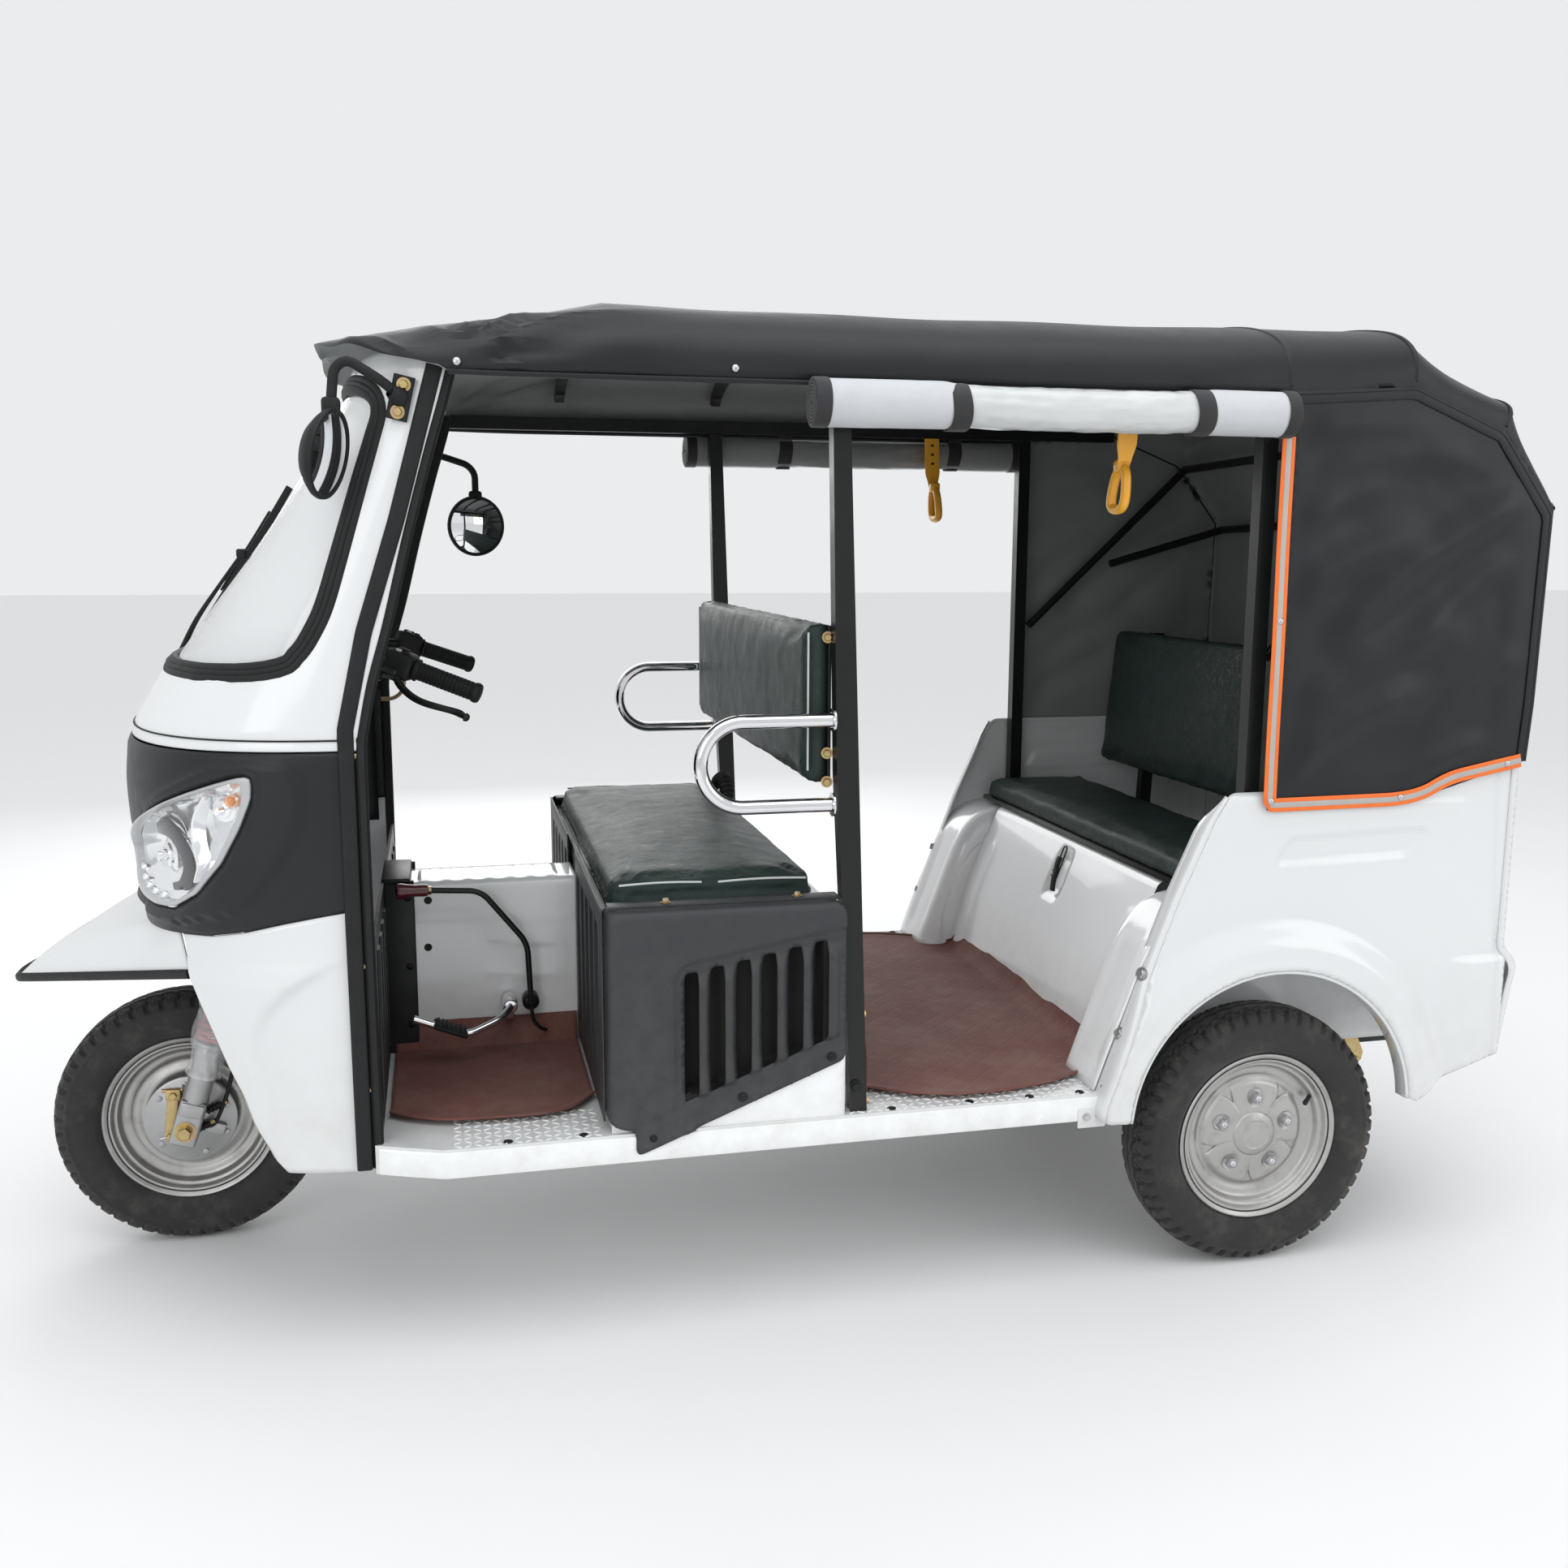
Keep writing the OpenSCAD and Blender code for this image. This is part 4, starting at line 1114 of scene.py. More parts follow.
def apron():
    n, m = 46, 60
    for sg, nm in ((1, "left"), (-1, "right")):
        r = np.linspace(0, 1, n)
        s = np.linspace(0, 1, m)
        z1 = 332 + (745 - 332) * r
        te = interp(z1, APRON_EDGE)
        ue = u_of(te)
        Ug = ue[:, None] + (ARC_U[-1] - ue[:, None]) * s[None]
        T = t_of(Ug)
        top = interp(T, PANEL_LOW) - 2
        Z = 332 + (top - 332) * r[:, None]
        cu = u_of(interp(np.clip(Z, 357, 711), CREASE))
        h = 11.0 * smooth01((cu - Ug) / 26 + 0.5) * smooth01((Z - 340) / 90) * smooth01((730 - Z) / 60) - 1.0
        edge = np.minimum(1, (Ug - ue[:, None]) / 26)
        h = h - 12 * (1 - smooth01(edge))**2
        P = nose(sg * T, Z) + nose_n(sg * T, Z) * h[..., None]
        make(f"apron_{nm}", grid(P, flip=sg < 0), WHITE, replaces="front_apron" if sg > 0 else (), thick=5, thick_off=-1, angle=60)


def rim_x(y):
    return 2345 - 385 * (np.sqrt(np.asarray(y)**2 + 1600) - 40) / (math.sqrt(448**2 + 1600) - 40)


def beak_pt(a, s):
    t = 46 * a
    I = nose(t, interp(np.abs(t), PANEL_LOW) - 2, -8)
    y = 448 * a
    R = np.stack([rim_x(y), y, 563 + 112 * np.abs(a)], -1)
    P = I + (R - I) * s[..., None]
    P[..., 2] += 16 * np.sin(np.pi * s) * (1 - np.abs(a))
    # facet line from the panel's lower corner to the tip
    ac = 0.62 * (1 - s)**0.8
    fold = np.maximum(0, 1 - np.abs(np.abs(a) - ac) / 0.30)
    P[..., 2] += 7 * fold * np.sin(np.pi * np.clip(s * 0.9 + 0.1, 0, 1))
    P[..., 0] += 5 * fold * np.sin(np.pi * np.clip(s * 0.9 + 0.1, 0, 1))
    # keel along the middle
    P[..., 2] += 5 * np.maximum(0, 1 - np.abs(a) / 0.10) * np.sin(np.pi * np.clip(s, 0, 1))
    return P


def beak():
    na, ns = 97, 40
    a = np.linspace(-1, 1, na)
    a = np.sign(a) * np.abs(a)**1.15
    s = np.linspace(0, 1, ns)
    Ag, Sg = np.meshgrid(a, s, indexing="ij")
    P = beak_pt(Ag, Sg)
    # rolled lip under the rim
    lip = P[:, -1:] + A(-6, 0, -9)
    P = np.concatenate([P, lip], 1)
    make("beak_shell", grid(P), WHITE, replaces="front_beak", thick=4, thick_off=-1, angle=28)
    R = P[:, -2]
    R = resample(R, 9.0)
    prof = [(-3, 4), (4, 5), (7, 0), (6, -8), (2, -12), (-4, -11), (-6, -3)]
    make("beak_edging", sweep(R, prof, False, A(0, 0, 1)), RUBBER)


def strips():
    """two rubber strips down each edge of the cab opening"""
    for sg, nm in ((1, "left"), (-1, "right")):
        z = np.linspace(337, 1688, 120)
        xa = np.interp(z, [1096, 1253, 1433, 1686], [1690, 1655, 1597, 1526]) - 10
        t = t_at_x(xa, z)
        Nn = nose_n(sg * t, z)
        P = nose(sg * t, z) + Nn * 5.0
        m = Mesh()
        prof = [(-13, -6), (-13, 1.5), (-10.5, 4.5), (-4.5, 5.4), (0, 4.6), (4.5, 5.4), (10.5, 4.5), (13, 1.5), (13, -6)]
        m.add(sweep(P, prof, False, Nn))
        xf, xr, w = nose_row(z)
        Q = np.stack([xr - 6, sg * (w - 3), z], -1)
        prof = [(-9, -9), (-10, 0), (-8, 6), (-2, 9.5), (2, 7.5), (6, 9), (10, 4), (10, -6), (5, -10)]
        m.add(sweep(Q, prof, False, Nn))
        make(f"opening_strips_{nm}", m, RUBBER, angle=50)
        b = Mesh()
        for zz in (1054, 1330, 1560, 700, 480):
            xx = float(np.interp(zz, z, xa)) - 14
            tt = float(t_at_x(xx, float(zz)))
            o = nose(np.array([sg * tt]), np.array([float(zz)]))[0]
            b.add(dome(o, nose_n(np.array([sg * tt]), np.array([float(zz)]))[0], 5.5, 4))
        make(f"opening_rivets_{nm}", b, BRASS)


def cowl_groove():
    """dark joint line above the lamp panel"""
    t = tcols(-88.6, 88.6, 120)
    z = np.full(len(t), 1080.0)
    make("cowl_joint", sweep(nose(t, z) + nose_n(t, z) * 4.4, rrect(3.0, 2.0, 0.8, 3), False, nose_n(t, z)), RUBBER)


cowl()
cowl_groove()
SEAL_PATH = seal()
glass()
lamp_panel()
lamps()
apron()
beak()
strips()


# ------------------------------------------------------------------ canopy: one sheet over roof, back and sides
# columns: edge X, centre X, edge z, centre z, half width, arch exponent
ROOF = np.array([(1500, 1714, 1666, 1736, 600, 2.8), (1440, 1560, 1665, 1766, 602, 2.9), (1300, 1334, 1664, 1803, 604, 3), (1235, 1240, 1664, 1822, 605, 3),
                 (880, 880, 1664, 1818, 608, 3), (460, 460, 1664, 1819, 612, 3), (39, 39, 1664, 1820, 618, 3.2)], float)
HOOD = np.array([(39, 39, 1664, 1820, 618, 3.2), (-213, -216, 1680, 1817, 618, 3.6), (-404, -446, 1606, 1690, 618, 3.8), (-522, -534, 1458, 1492, 618, 4),
                 (-516, -534, 1100, 1102, 618, 4), (-509, -526, 989, 989, 618, 4)], float)
BOWS = [1500, 1235, 862, 460, 56]
# folds on the side of the hood. columns: X, z, X, z, width, height
FOLDS = [(32, 1291, -209, 1409, 30, 7), (-105, 1248, -428, 1495, 34, 9), (20, 975, -232, 1125, 34, 8), (-238, 940, -394, 1006, 22, 7), (33, 1596, -231, 1609, 26, 4),
         (40, 1424, -144, 1492, 26, 5), (-262, 1238, -432, 1358, 26, 5), (-38, 1112, -311, 1246, 36, 6), (-300, 1060, -470, 1180, 26, 4), (-60, 1540, -330, 1560, 30, 4)]


def arch(row, n):
    eX, cX, eZ, cZ, w, p = row
    th = np.linspace(0, np.pi, 600)
    c, s = np.cos(th), np.maximum(np.sin(th), 0)
    y, h = w * np.sign(c) * np.abs(c)**(2 / p), s**(2 / p)
    P = np.stack([eX + (cX - eX) * h, y, eZ + (cZ - eZ) * h], 1)
    d = np.r_[0, np.cumsum(np.linalg.norm(np.diff(P, axis=0), axis=1))]
    u = np.linspace(0, d[-1], n)
    return np.stack([np.interp(u, d, P[:, k]) for k in range(3)], 1)


def grid_normals(P):
    a, b = np.gradient(P, axis=0), np.gradient(P, axis=1)
    n = unit(np.cross(b, a))
    return n


def canopy():
    nj = 99
    rows, kind, pull = [], [], []
    xs = np.r_[1500, np.linspace(1490, 1200, 18), np.linspace(1180, 39, 62)]
    for x in xs:
        k = [float(np.interp(-x, -ROOF[:, 0], ROOF[:, c])) if c == 3 else spline(-x, -ROOF[:, 0], ROOF[:, c]) for c in range(6)]
        k[0] = x
        rows.append(arch(k, nj))
        kind.append(0.0)
        pull.append(0.0)
    for a, b in zip(HOOD[:-1], HOOD[1:]):
        L = math.hypot(b[1] - a[1], b[3] - a[3])
        m = max(5, int(L / 16))
        for i in range(1, m + 1):
            f = i / m
            rows.append(arch(a + (b - a) * f, nj))
            kind.append(f if f < 1 else 0.0)
            pull.append(2.0 if a[0] > 0 else 14.0)
    P = np.array(rows)
    nr = len(xs)
    N_ = grid_normals(P)
    if N_[10, nj // 2, 2] < 0:
        N_ = -N_
    J = np.linspace(-1, 1, nj)[None, :]
    X, Y, Z = P[..., 0], P[..., 1], P[..., 2]
    h = np.zeros(P.shape[:2])
    # cloth dips a little between the bows and stands over them
    bx = np.sort(np.array(BOWS))
    i = np.clip(np.searchsorted(bx, X[:nr]) - 1, 0, len(bx) - 2)
    f = np.clip((X[:nr] - bx[i]) / (bx[i + 1] - bx[i]), 0, 1)
    flat = 1 - np.abs(J)**6
    h[:nr] += -3.0 * np.sin(np.pi * f)**2 * flat
    # soft folds on the sides of the roof, hanging from the bows
    side = smooth01((np.abs(J) - 0.45) / 0.25) * smooth01((1.0 - np.abs(J)) / 0.04 + 0.2)
    h += 4.0 * vnoise(X / 150, Z / 190 + np.where(Y > 0, 3.1, 9.7), 5, 3) * side * smooth01((np.abs(Y) - 480) / 90) * smooth01((1768 - Z) / 50)
    h += 0.5 * vnoise(X / 320 + 2, Y / 200, 11, 2) * flat
    # gathered folds that fan out from the front corners
    for sg in (1, -1):
        dx, dz = (1500 - X), (Z - 1668) + (600 - sg * Y) * 0.55
        r = np.hypot(dx, dz)
        ang = np.arctan2(dz, dx)
        fan = np.sin(ang * 15 + 0.8 * np.sin(r / 90) + (0.5 if sg < 0 else 0))
        win = smooth01((r - 18) / 90) * (1 - smooth01((r - 170) / 260)) * smooth01((sg * Y - 430) / 110)
        h += 6.5 * fan * win * smooth01((1790 - Z) / 45)
        # two long folds running back along the shoulder
        for z0, slope, amp in ((1700, 0.10, 10.0), (1718, 0.20, 12.0), (1744, 0.24, 9.0)):
            zc = z0 + slope * (1460 - X)
            h += amp * np.exp(-((Z - zc) / 13)**2) * smooth01((1480 - X) / 60) * (1 - smooth01((1480 - X) / 300 - 0.35)) * smooth01((sg * Y - 440) / 80) * smooth01((1800 - Z) / 40)
    # hood: pulled in between the hoops
    kf = np.array(kind)[:, None]
    h += -np.array(pull)[:, None] * np.sin(np.pi * kf) * smooth01((1.0 - np.abs(J)) / 0.10) * (np.arange(len(kind))[:, None] >= nr)
    back = smooth01((-150 - X) / 200)
    h += 6.0 * vnoise(Y / 170, Z / 130, 23, 3) * back * smooth01((1.0 - np.abs(J)) / 0.08)
    for yc in (-330, -120, 140, 360):
        h += 5.0 * np.exp(-((Y - yc - 0.25 * (Z - 1300)) / 34)**2) * smooth01((-480 - X) / 30) * smooth01((Z - 1000) / 80)
    edge = np.ones_like(h)
    edge[nr:, 0] = edge[nr:, -1] = 0
    edge[nr - 1, 0] = edge[nr - 1, -1] = 0
    P = P + N_ * (h * edge)[..., None]
    # hem of the roof turns in at its long edges, and the front edge has a loose curled flap
    P[:nr - 1, 0, 2] -= 3.5
    P[:nr - 1, -1, 2] -= 3.5
    front = P[0].copy()
    curl = A(14, 0, -7) + np.stack([6 * np.sin(J[0] * 9), 0 * J[0], 5 * np.sin(J[0] * 13 + 1) + 16 * np.exp(-((J[0] + 0.05) / 0.10)**2)], 1)
    curl *= smooth01((1 - np.abs(J[0])) / 0.15)[:, None]
    P = np.concatenate([(front + curl)[None], (front + curl * 0.45 + A(0, 0, 1.5))[None], P], 0)
    nr += 2
    m = Mesh()
    m.add(grid(P, flip=True))
    hem_edges = {}
    for sg, col in ((1, 0), (-1, nj - 1)):
        E = P[nr - 1:, col][:, [0, 2]]
        low = np.array([(-509.0, 989.0), (-241, 912), (39, 912), (39, 1664)])
        lowpts = [low[0]]
        for a, b in zip(low[:-1], low[1:]):
            k = max(1, int(np.linalg.norm(b - a) / 15))
            lowpts.extend([a + (b - a) * t / k for t in range(1, k + 1)])
        out = np.vstack([E, np.array(lowpts)[1:-1]])
        V, F = panel(out, 16.5)
        x, z = V[:, 0], V[:, 1]
        fade = smooth01(dist_line(x, z, E, False) / 55)
        hh = np.zeros(len(x))
        for x0, z0, x1, z1, w, a in FOLDS:
            d = np.array([x1 - x0, z1 - z0])
            L = np.linalg.norm(d)
            d = d / L
            s_ = (x - x0) * d[0] + (z - z0) * d[1]
            p_ = -(x - x0) * d[1] + (z - z0) * d[0] + 14 * np.sin(s_ / 90)
            hh += 1.9 * a * np.exp(-(p_ / w)**2) * smooth01((s_ + 70) / 110) * smooth01((L + 70 - s_) / 110)
        hh += 3.0 * vnoise(x / 90 + 5, z / 70 + sg, 41, 3) - 5.0 * smooth01(dist_line(x, z, out, True) / 160)
        hold = smooth01((dist_line(x, z, np.array(lowpts), False) - 26) / 60)
        hh = hh * fade * hold
        near = smooth01((95 - dist_line(x, z, E, False)) / 40)
        y = 618 + hh * (1 - near) + np.maximum(hh, 1.2 * fade) * near
        # the edge points take the roof sheet's own width, so that the two sheets join
        Ey = np.abs(P[nr - 1:, col, 1])
        k_ = np.argmin(np.hypot(x[:, None] - E[None, :, 0], z[:, None] - E[None, :, 1]), 1)
        y = y + (Ey[k_] - 618) * (1 - fade)
        y = np.where(dist_line(x, z, E, False) < 0.01, Ey[k_], y)
        V3 = np.stack([x, sg * y, z], 1)
        m.add((V3, F if sg < 0 else F[:, ::-1]))
        hem_edges[sg] = np.array(lowpts)
    o = make("canopy_sheet", m, [CANOPY, LINING], merge=0.6, replaces=("canopy_roof", "canopy_back", "canopy_sides"), angle=50, recalc=False)
    bm = bmesh.new()
    bm.from_mesh(o.data)
    bmesh.ops.recalc_face_normals(bm, faces=bm.faces)
    top = max(bm.faces, key=lambda q: q.calc_center_median().z)
    if top.normal.z < 0:
        bmesh.ops.reverse_faces(bm, faces=bm.faces)
    area = sum(q.calc_area() for q in bm.faces)
    bm.to_mesh(o.data)
    bm.free()
    o.data.polygons.foreach_set("use_smooth", [True] * len(o.data.polygons))
    s = o.modifiers.new("thickness", "SOLIDIFY")
    s.thickness, s.offset, s.material_offset = 0.0018, -1, 1
    return o, P, nr, area


CAN, CAN_P, CAN_NR, CAN_AREA = canopy()


def strip_on(path, normals, width, lift, thick=1.4):
    prof = rrect(width, thick, thick * 0.45, 3)
    return sweep(np.asarray(path) + np.asarray(normals) * lift, prof, False, normals)


def hems():
    for sg, nm in ((1, "left"), (-1, "right")):
        low = fillet([(40, 1590), (38, 1250), (36, 922), (-234, 924), (-289, 933), (-343, 962), (-500, 991)], [0, 0, 4, 30, 30, 30, 0], 6)
        P2 = resample(low, 12)
        # rides on the cloth, whose outer face stands near y = 618 here
        wob = 1.6 + 0.8 * np.sin(P2[:, 1] / 60) * (P2[:, 0] > 20)
        P3 = np.stack([P2[:, 0], sg * (619.4 + wob), P2[:, 1]], 1)
        Nn = np.tile(A(0, sg, 0), (len(P3), 1))
        m = Mesh()
        T = unit(np.gradient(P2, axis=0))
        S2 = np.stack([-T[:, 1], T[:, 0]], 1)
        for off, w, mi, lift in ((-8.6, 9.0, 0, 0.0), (8.6, 9.0, 0, 0.0), (0, 10.5, 1, 0.5)):
            Q = P3.copy()
            Q[:, 0] += S2[:, 0] * off
            Q[:, 2] += S2[:, 1] * off
            m.add(strip_on(Q, Nn, w, lift), mi)
        make(f"hem_tape_{nm}", m, [TAPE, TAPEGREY])
        b = Mesh()
        for x, z in ((36, 1262), (34, 930), (-240, 928), (-470, 986)):
            b.add(dome(A(x, sg * 622.6, z), A(0, sg, 0), 6.0, 3.2))
        for x, z in ((1486, 1676), (1043, 1679)):
            b.add(dome(A(x, sg * 607.5, z), A(0, sg, 0.08), 6.5, 3.4))
        make(f"snap_buttons_{nm}", b, BRIGHT)
    # tape goes on round the back of the hood
    row = CAN_P[-1]
    Y = np.linspace(-575, 575, 90)
    o = np.argsort(row[:, 1])
    X = np.interp(Y, row[o, 1], row[o, 0])
    P3 = np.stack([X - 3.2, Y, np.full_like(Y, 996.0)], 1)
    T = unit(np.gradient(P3, axis=0))
    Nn = unit(np.cross(T, A(0, 0, 1)))
    Nn *= np.sign(-Nn[:, :1])
    m = Mesh()
    for dz, w, mi, lift in ((-8.6, 9.0, 0, 0.0), (8.6, 9.0, 0, 0.0), (0, 10.5, 1, 0.5)):
        m.add(strip_on(P3 + A(0, 0, dz), Nn, w, lift), mi)
    make("hem_tape_back", m, [TAPE, TAPEGREY])


def seams():
    """sewn ridges: along the side of the hood, over each hoop and along the roof's shoulder"""
    m = Mesh()
    prof = [(-5, -0.8), (-3, 1.5), (0, 2.4), (3, 1.5), (5, -0.8)]
    nr = CAN_NR
    nj = CAN_P.shape[1]
    N_ = grid_normals(CAN_P)
    if N_[12, nj // 2, 2] < 0:
        N_ = -N_
    for col in (0, nj - 1):
        Q = resample(CAN_P[nr - 1:, col], 18)
        sg = 1 if col == 0 else -1
        m.add(sweep(Q + A(0, sg * 0.8, 0), rrect(7.4, 7.4, 3.6, 3), False, np.tile(unit(A(-0.3, sg, 0.4)), (len(Q), 1))))
    # flat double seam on the side cloth, just inside that edge
    for sg, col in ((1, 0), (-1, nj - 1)):
        Q = resample(CAN_P[nr - 1:, col][:, [0, 2]], 20)
        T = unit(np.gradient(Q, axis=0))
        Ni = np.stack([T[:, 1], -T[:, 0]], 1)
        Ni = Ni * np.sign(((A(-230, 1300) - Q) * Ni).sum(1))[:, None]
        Q = Q + Ni * 8.5
        m.add(strip_on(np.stack([Q[:, 0], np.full(len(Q), sg * 618.4), Q[:, 1]], 1), np.tile(A(0, sg, 0), (len(Q), 1)), 19, 1.6, 1.6))
    rows = [nr - 1]
    acc = nr - 1
    for a, b in zip(HOOD[:-2], HOOD[1:-1]):
        acc += max(5, int(math.hypot(b[1] - a[1], b[3] - a[3]) / 16))
        rows.append(acc)
    for r in rows:
        Q = CAN_P[r]
        m.add(sweep(Q[1:-1], prof, False, N_[r][1:-1], caps=False))
    # bound hem along the long edges of the roof
    for col in (0, nj - 1):
        Q = resample(CAN_P[2:nr - 1, col], 16)
        m.add(sweep(Q + A(0, 0, -1.0), rrect(9, 7, 3, 3), False, A(0, 1, 0)))
    make("canopy_seams", m, CANOPY)


hems()
seams()
_w, _l = 1.74, 3.35


# ------------------------------------------------------------------ rear body
SIDE_OUT = [(108, 945), (136, 904), (206, 746), (240, 655), (346, 358), (346, 330), (-320, 318), (-356, 337), (-403, 360), (-512, 396), (-512, 985), (-480, 985), (-440, 945)]
ARCH_R, ARCH_Z = 296.0, 308.0
EMBOSS = [(-17, 854), (-315, 864), (-277, 813), (8, 806)]
FLANGE = np.array([(112, 948), (233, 728), (343, 471), (372, 380)], float)
TAIL_SEAM = np.array([(-458, 990), (-487, 588), (-493, 393)], float)


def rear_side(sg, nm):
    a = np.radians(np.linspace(180 + 2, 0 - 2, 60))
    arc = np.stack([ARCH_R * np.cos(a), ARCH_Z + ARCH_R * np.sin(a)], 1)
    arc = arc[arc[:, 1] > 322]
    base = fillet(np.array([(346, 330), (346, 358), (240, 655), (206, 746), (136, 904), (108, 945), (-318, 945), (-478, 985), (-512, 985), (-512, 396), (-403, 360), (-356, 337), (-320, 318)], float),
                  [0, 4, 20, 20, 20, 14, 20, 20, 3, 4, 20, 10, 4], 5)
    out = np.vstack([arc[::1], base[::1]])
    # arc runs from rear (x<0) to front (x>0), then the outline goes up the front edge and back
    V, F = panel(out, 8.0)
    x, z = V[:, 0], V[:, 1]
    r = np.hypot(x, z - ARCH_Z)
    th = np.degrees(np.arctan2(z - ARCH_Z, x))
    y = np.full(len(x), 611.0)
    # pressed flare round the wheel: steep shoulder, then a flat lip
    up = smooth01((z - 318) / 60)
    fl = smooth01((398 - r) / 62)
    y = y + 27 * fl
    y = y + 3.0 * smooth01((322 - r) / 12)
    y = y - 5.0 * smooth01((300.0 - r) / 5.0)
    # raised long panel with slanted ends
    E = fillet(np.array(EMBOSS, float), 18, 5, True)
    d = dist_line(x, z, E)
    sd = np.where(in_poly(x, z, E), d, -d)
    y = y - 5.5 * smooth01((sd + 7) / 14)
    # folded flange down the front edge, and the tail seam
    df = dist_line(x, z, FLANGE, False)
    front = (x > np.interp(z, FLANGE[::-1, 1], FLANGE[::-1, 0]) - 1)
    y = y - np.where(front, 4.5 * smooth01(df / 12), 0)
    dt = dist_line(x, z, TAIL_SEAM, False)
    y = y - 4.0 * np.exp(-(dt / 3.6)**2)
    # second crease below the rear corner
    y = y + 8.0 * smooth01((603 - z) / 14) * smooth01((-345 - x) / 90)
    # long soft waist line
    y = y + 3.2 * np.exp(-((z - 905) / 16)**2) * smooth01((60 - x) / 60) * smooth01((x + 440) / 60)
    # edges turn in
    eb = dist_line(x, z, base, False)
    y = y - 7.0 * (1 - smooth01(eb / 8.0))
    P = np.stack([x, sg * y, z], 1)
    make(f"rear_wing_{nm}", (P, F if sg < 0 else F[:, ::-1]), WHITE, replaces="rear_sides" if sg > 0 else (), thick=3.5, thick_off=-1, angle=60)
    # inner lip of the arch
    a = np.radians(np.linspace(176, 4, 80))
    prof = [(ARCH_R + 1.5, 636.5), (ARCH_R - 2.0, 634.5), (ARCH_R - 2.0, 604)]
    rows = np.array([[(rr * math.cos(t), sg * yy, ARCH_Z + rr * math.sin(t)) for rr, yy in prof] for t in a])
    rows = rows[[i for i, t in enumerate(a) if ARCH_Z + ARCH_R * math.sin(t) > 322]]
    make(f"arch_lip_{nm}", grid(rows, flip=sg > 0), WHITE, thick=3, thick_off=1)
    # zinc bolts down the front flange
    b = Mesh()
    for bz in (603, 490):
        bx = float(np.interp(bz, [358, 655], [346, 240]))
        b.add(hexbolt(A(bx + 9, sg * 598, bz + 3), unit(A(0.86, sg * 0.42, 0.29)), 15, 7))
    b.add(hexbolt(A(374, sg * 609.5, 338), A(0, sg, 0), 9, 4))
    # front edge turned inwards as a flange, and the tab bolted to the sill
    ed_ = resample(np.array([(114, 936), (140, 896), (206, 746), (240, 655), (346, 358), (347, 334)], float), 16.0)
    top_ = smooth01((944 - ed_[:, 1]) / 80)
    # follows the edge of the wing, which stands out with the flare low down
    yo_ = 606.5 + 27 * smooth01((398 - np.hypot(ed_[:, 0], ed_[:, 1] - ARCH_Z)) / 62)
    cols = ((-4.0, 0.0), (1.5, 0.04), (5.0, 0.14), (7.0, 0.34), (7.6, 0.66), (7.8, 1.0))
    rows = np.array([[(x_ + dx * (0.2 + 0.8 * t_), sg * (yo + (574 - yo) * f_ * max(t_, 0.12)), z_ + 0.35 * dx) for dx, f_ in cols] for (x_, z_), yo, t_ in zip(ed_, yo_, top_)])
    make(f"wing_flange_{nm}", grid(rows, flip=sg > 0), WHITE, thick=2.2, thick_off=-1, angle=50)
    lo_, hi_ = sorted((sg * 603.5, sg * 609.0))
    make(f"wing_tab_{nm}", rbox((334, lo_, 316), (390, hi_, 354), 2.0), WHITE, angle=40)
    make(f"wing_bolts_{nm}", b, BRIGHT)


for _sg, _nm in ((1, "left"), (-1, "right")):
    rear_side(_sg, _nm)


def rear_panel_shape():
    """tail: upper face, bumper ledge and lower return, with a recessed plate field"""
    prof = fillet(np.array([(-500, 986), (-519, 983), (-519, 612), (-548, 582), (-552, 562), (-546, 540), (-524, 396), (-500, 390)], float), [0, 8, 14, 10, 8, 12, 8, 0], 6)
    prof = resample(prof, 11)
    ys = np.linspace(-612, 612, 82)
    rows = []
    for y in ys:
        q = prof.copy()
        rnd = 1 - np.sqrt(np.maximum(0, 1 - np.maximum(0, (abs(y) - 577) / 35)**2))
        q[:, 0] = q[:, 0] + 30 * rnd
        rows.append(np.stack([q[:, 0], np.full(len(q), y), q[:, 1]], 1))
    P = np.array(rows)
    Y, Z = P[..., 1], P[..., 2]
    plate = np.array([(-260, 640), (260, 640), (230, 780), (-230, 780)], float)
    d = dist_line(Y, Z, fillet(plate, 24, 5, True))
    sd = np.where(in_poly(Y, Z, plate), d, -d)
    P[..., 0] += np.where(Z > 600, 7.0 * smooth01((sd + 6) / 12), 0)
    # two long ribs on the upper face
    for zc in (850, 910):
        P[..., 0] -= 4.0 * np.exp(-((Z - zc) / 9)**2) * smooth01((520 - np.abs(Y)) / 40)
    # vent slots pressed in the lower return
    for yc in (-360, -300, -240, 240, 300, 360):
        P[..., 0] += 6.0 * np.exp(-((Y - yc) / 14)**4) * smooth01((Z - 430) / 20) * smooth01((530 - Z) / 20)
    make("tail_panel", grid(P, flip=True), WHITE, replaces="rear_panel", thick=3.5, thick_off=1, angle=50)
    # blank number plate on its bracket, with two screws
    m = Mesh()
    m.add(rbox((-528, -170, 650), (-516, 170, 772), 3), 0)
    m.add(rbox((-531, -160, 656), (-527.5, 160, 766), 1.5), 1)
    m.add(sweep(np.array([(-531.5, y_, z_) for y_, z_ in rrect(306, 98, 10, 5, 0, 711)]), rrect(3, 2.4, 1), True, A(-1, 0, 0)), 1)
    for yy in (-85, 85):
        m.add(hexbolt(A(-531, yy, 700), A(-1, 0, 0), 10, 4), 2)
    make("plate_holder", m, [RUBBER, CLOTHW, BRIGHT])
    # rubber strip along the ledge
    q = np.array([(-554.0, y, 572.0) for y in np.linspace(-560, 560, 70)])
    make("bumper_strip", sweep(q, rrect(20, 9, 4), False, A(-1, 0, 0)), RUBBER)


rear_panel_shape()


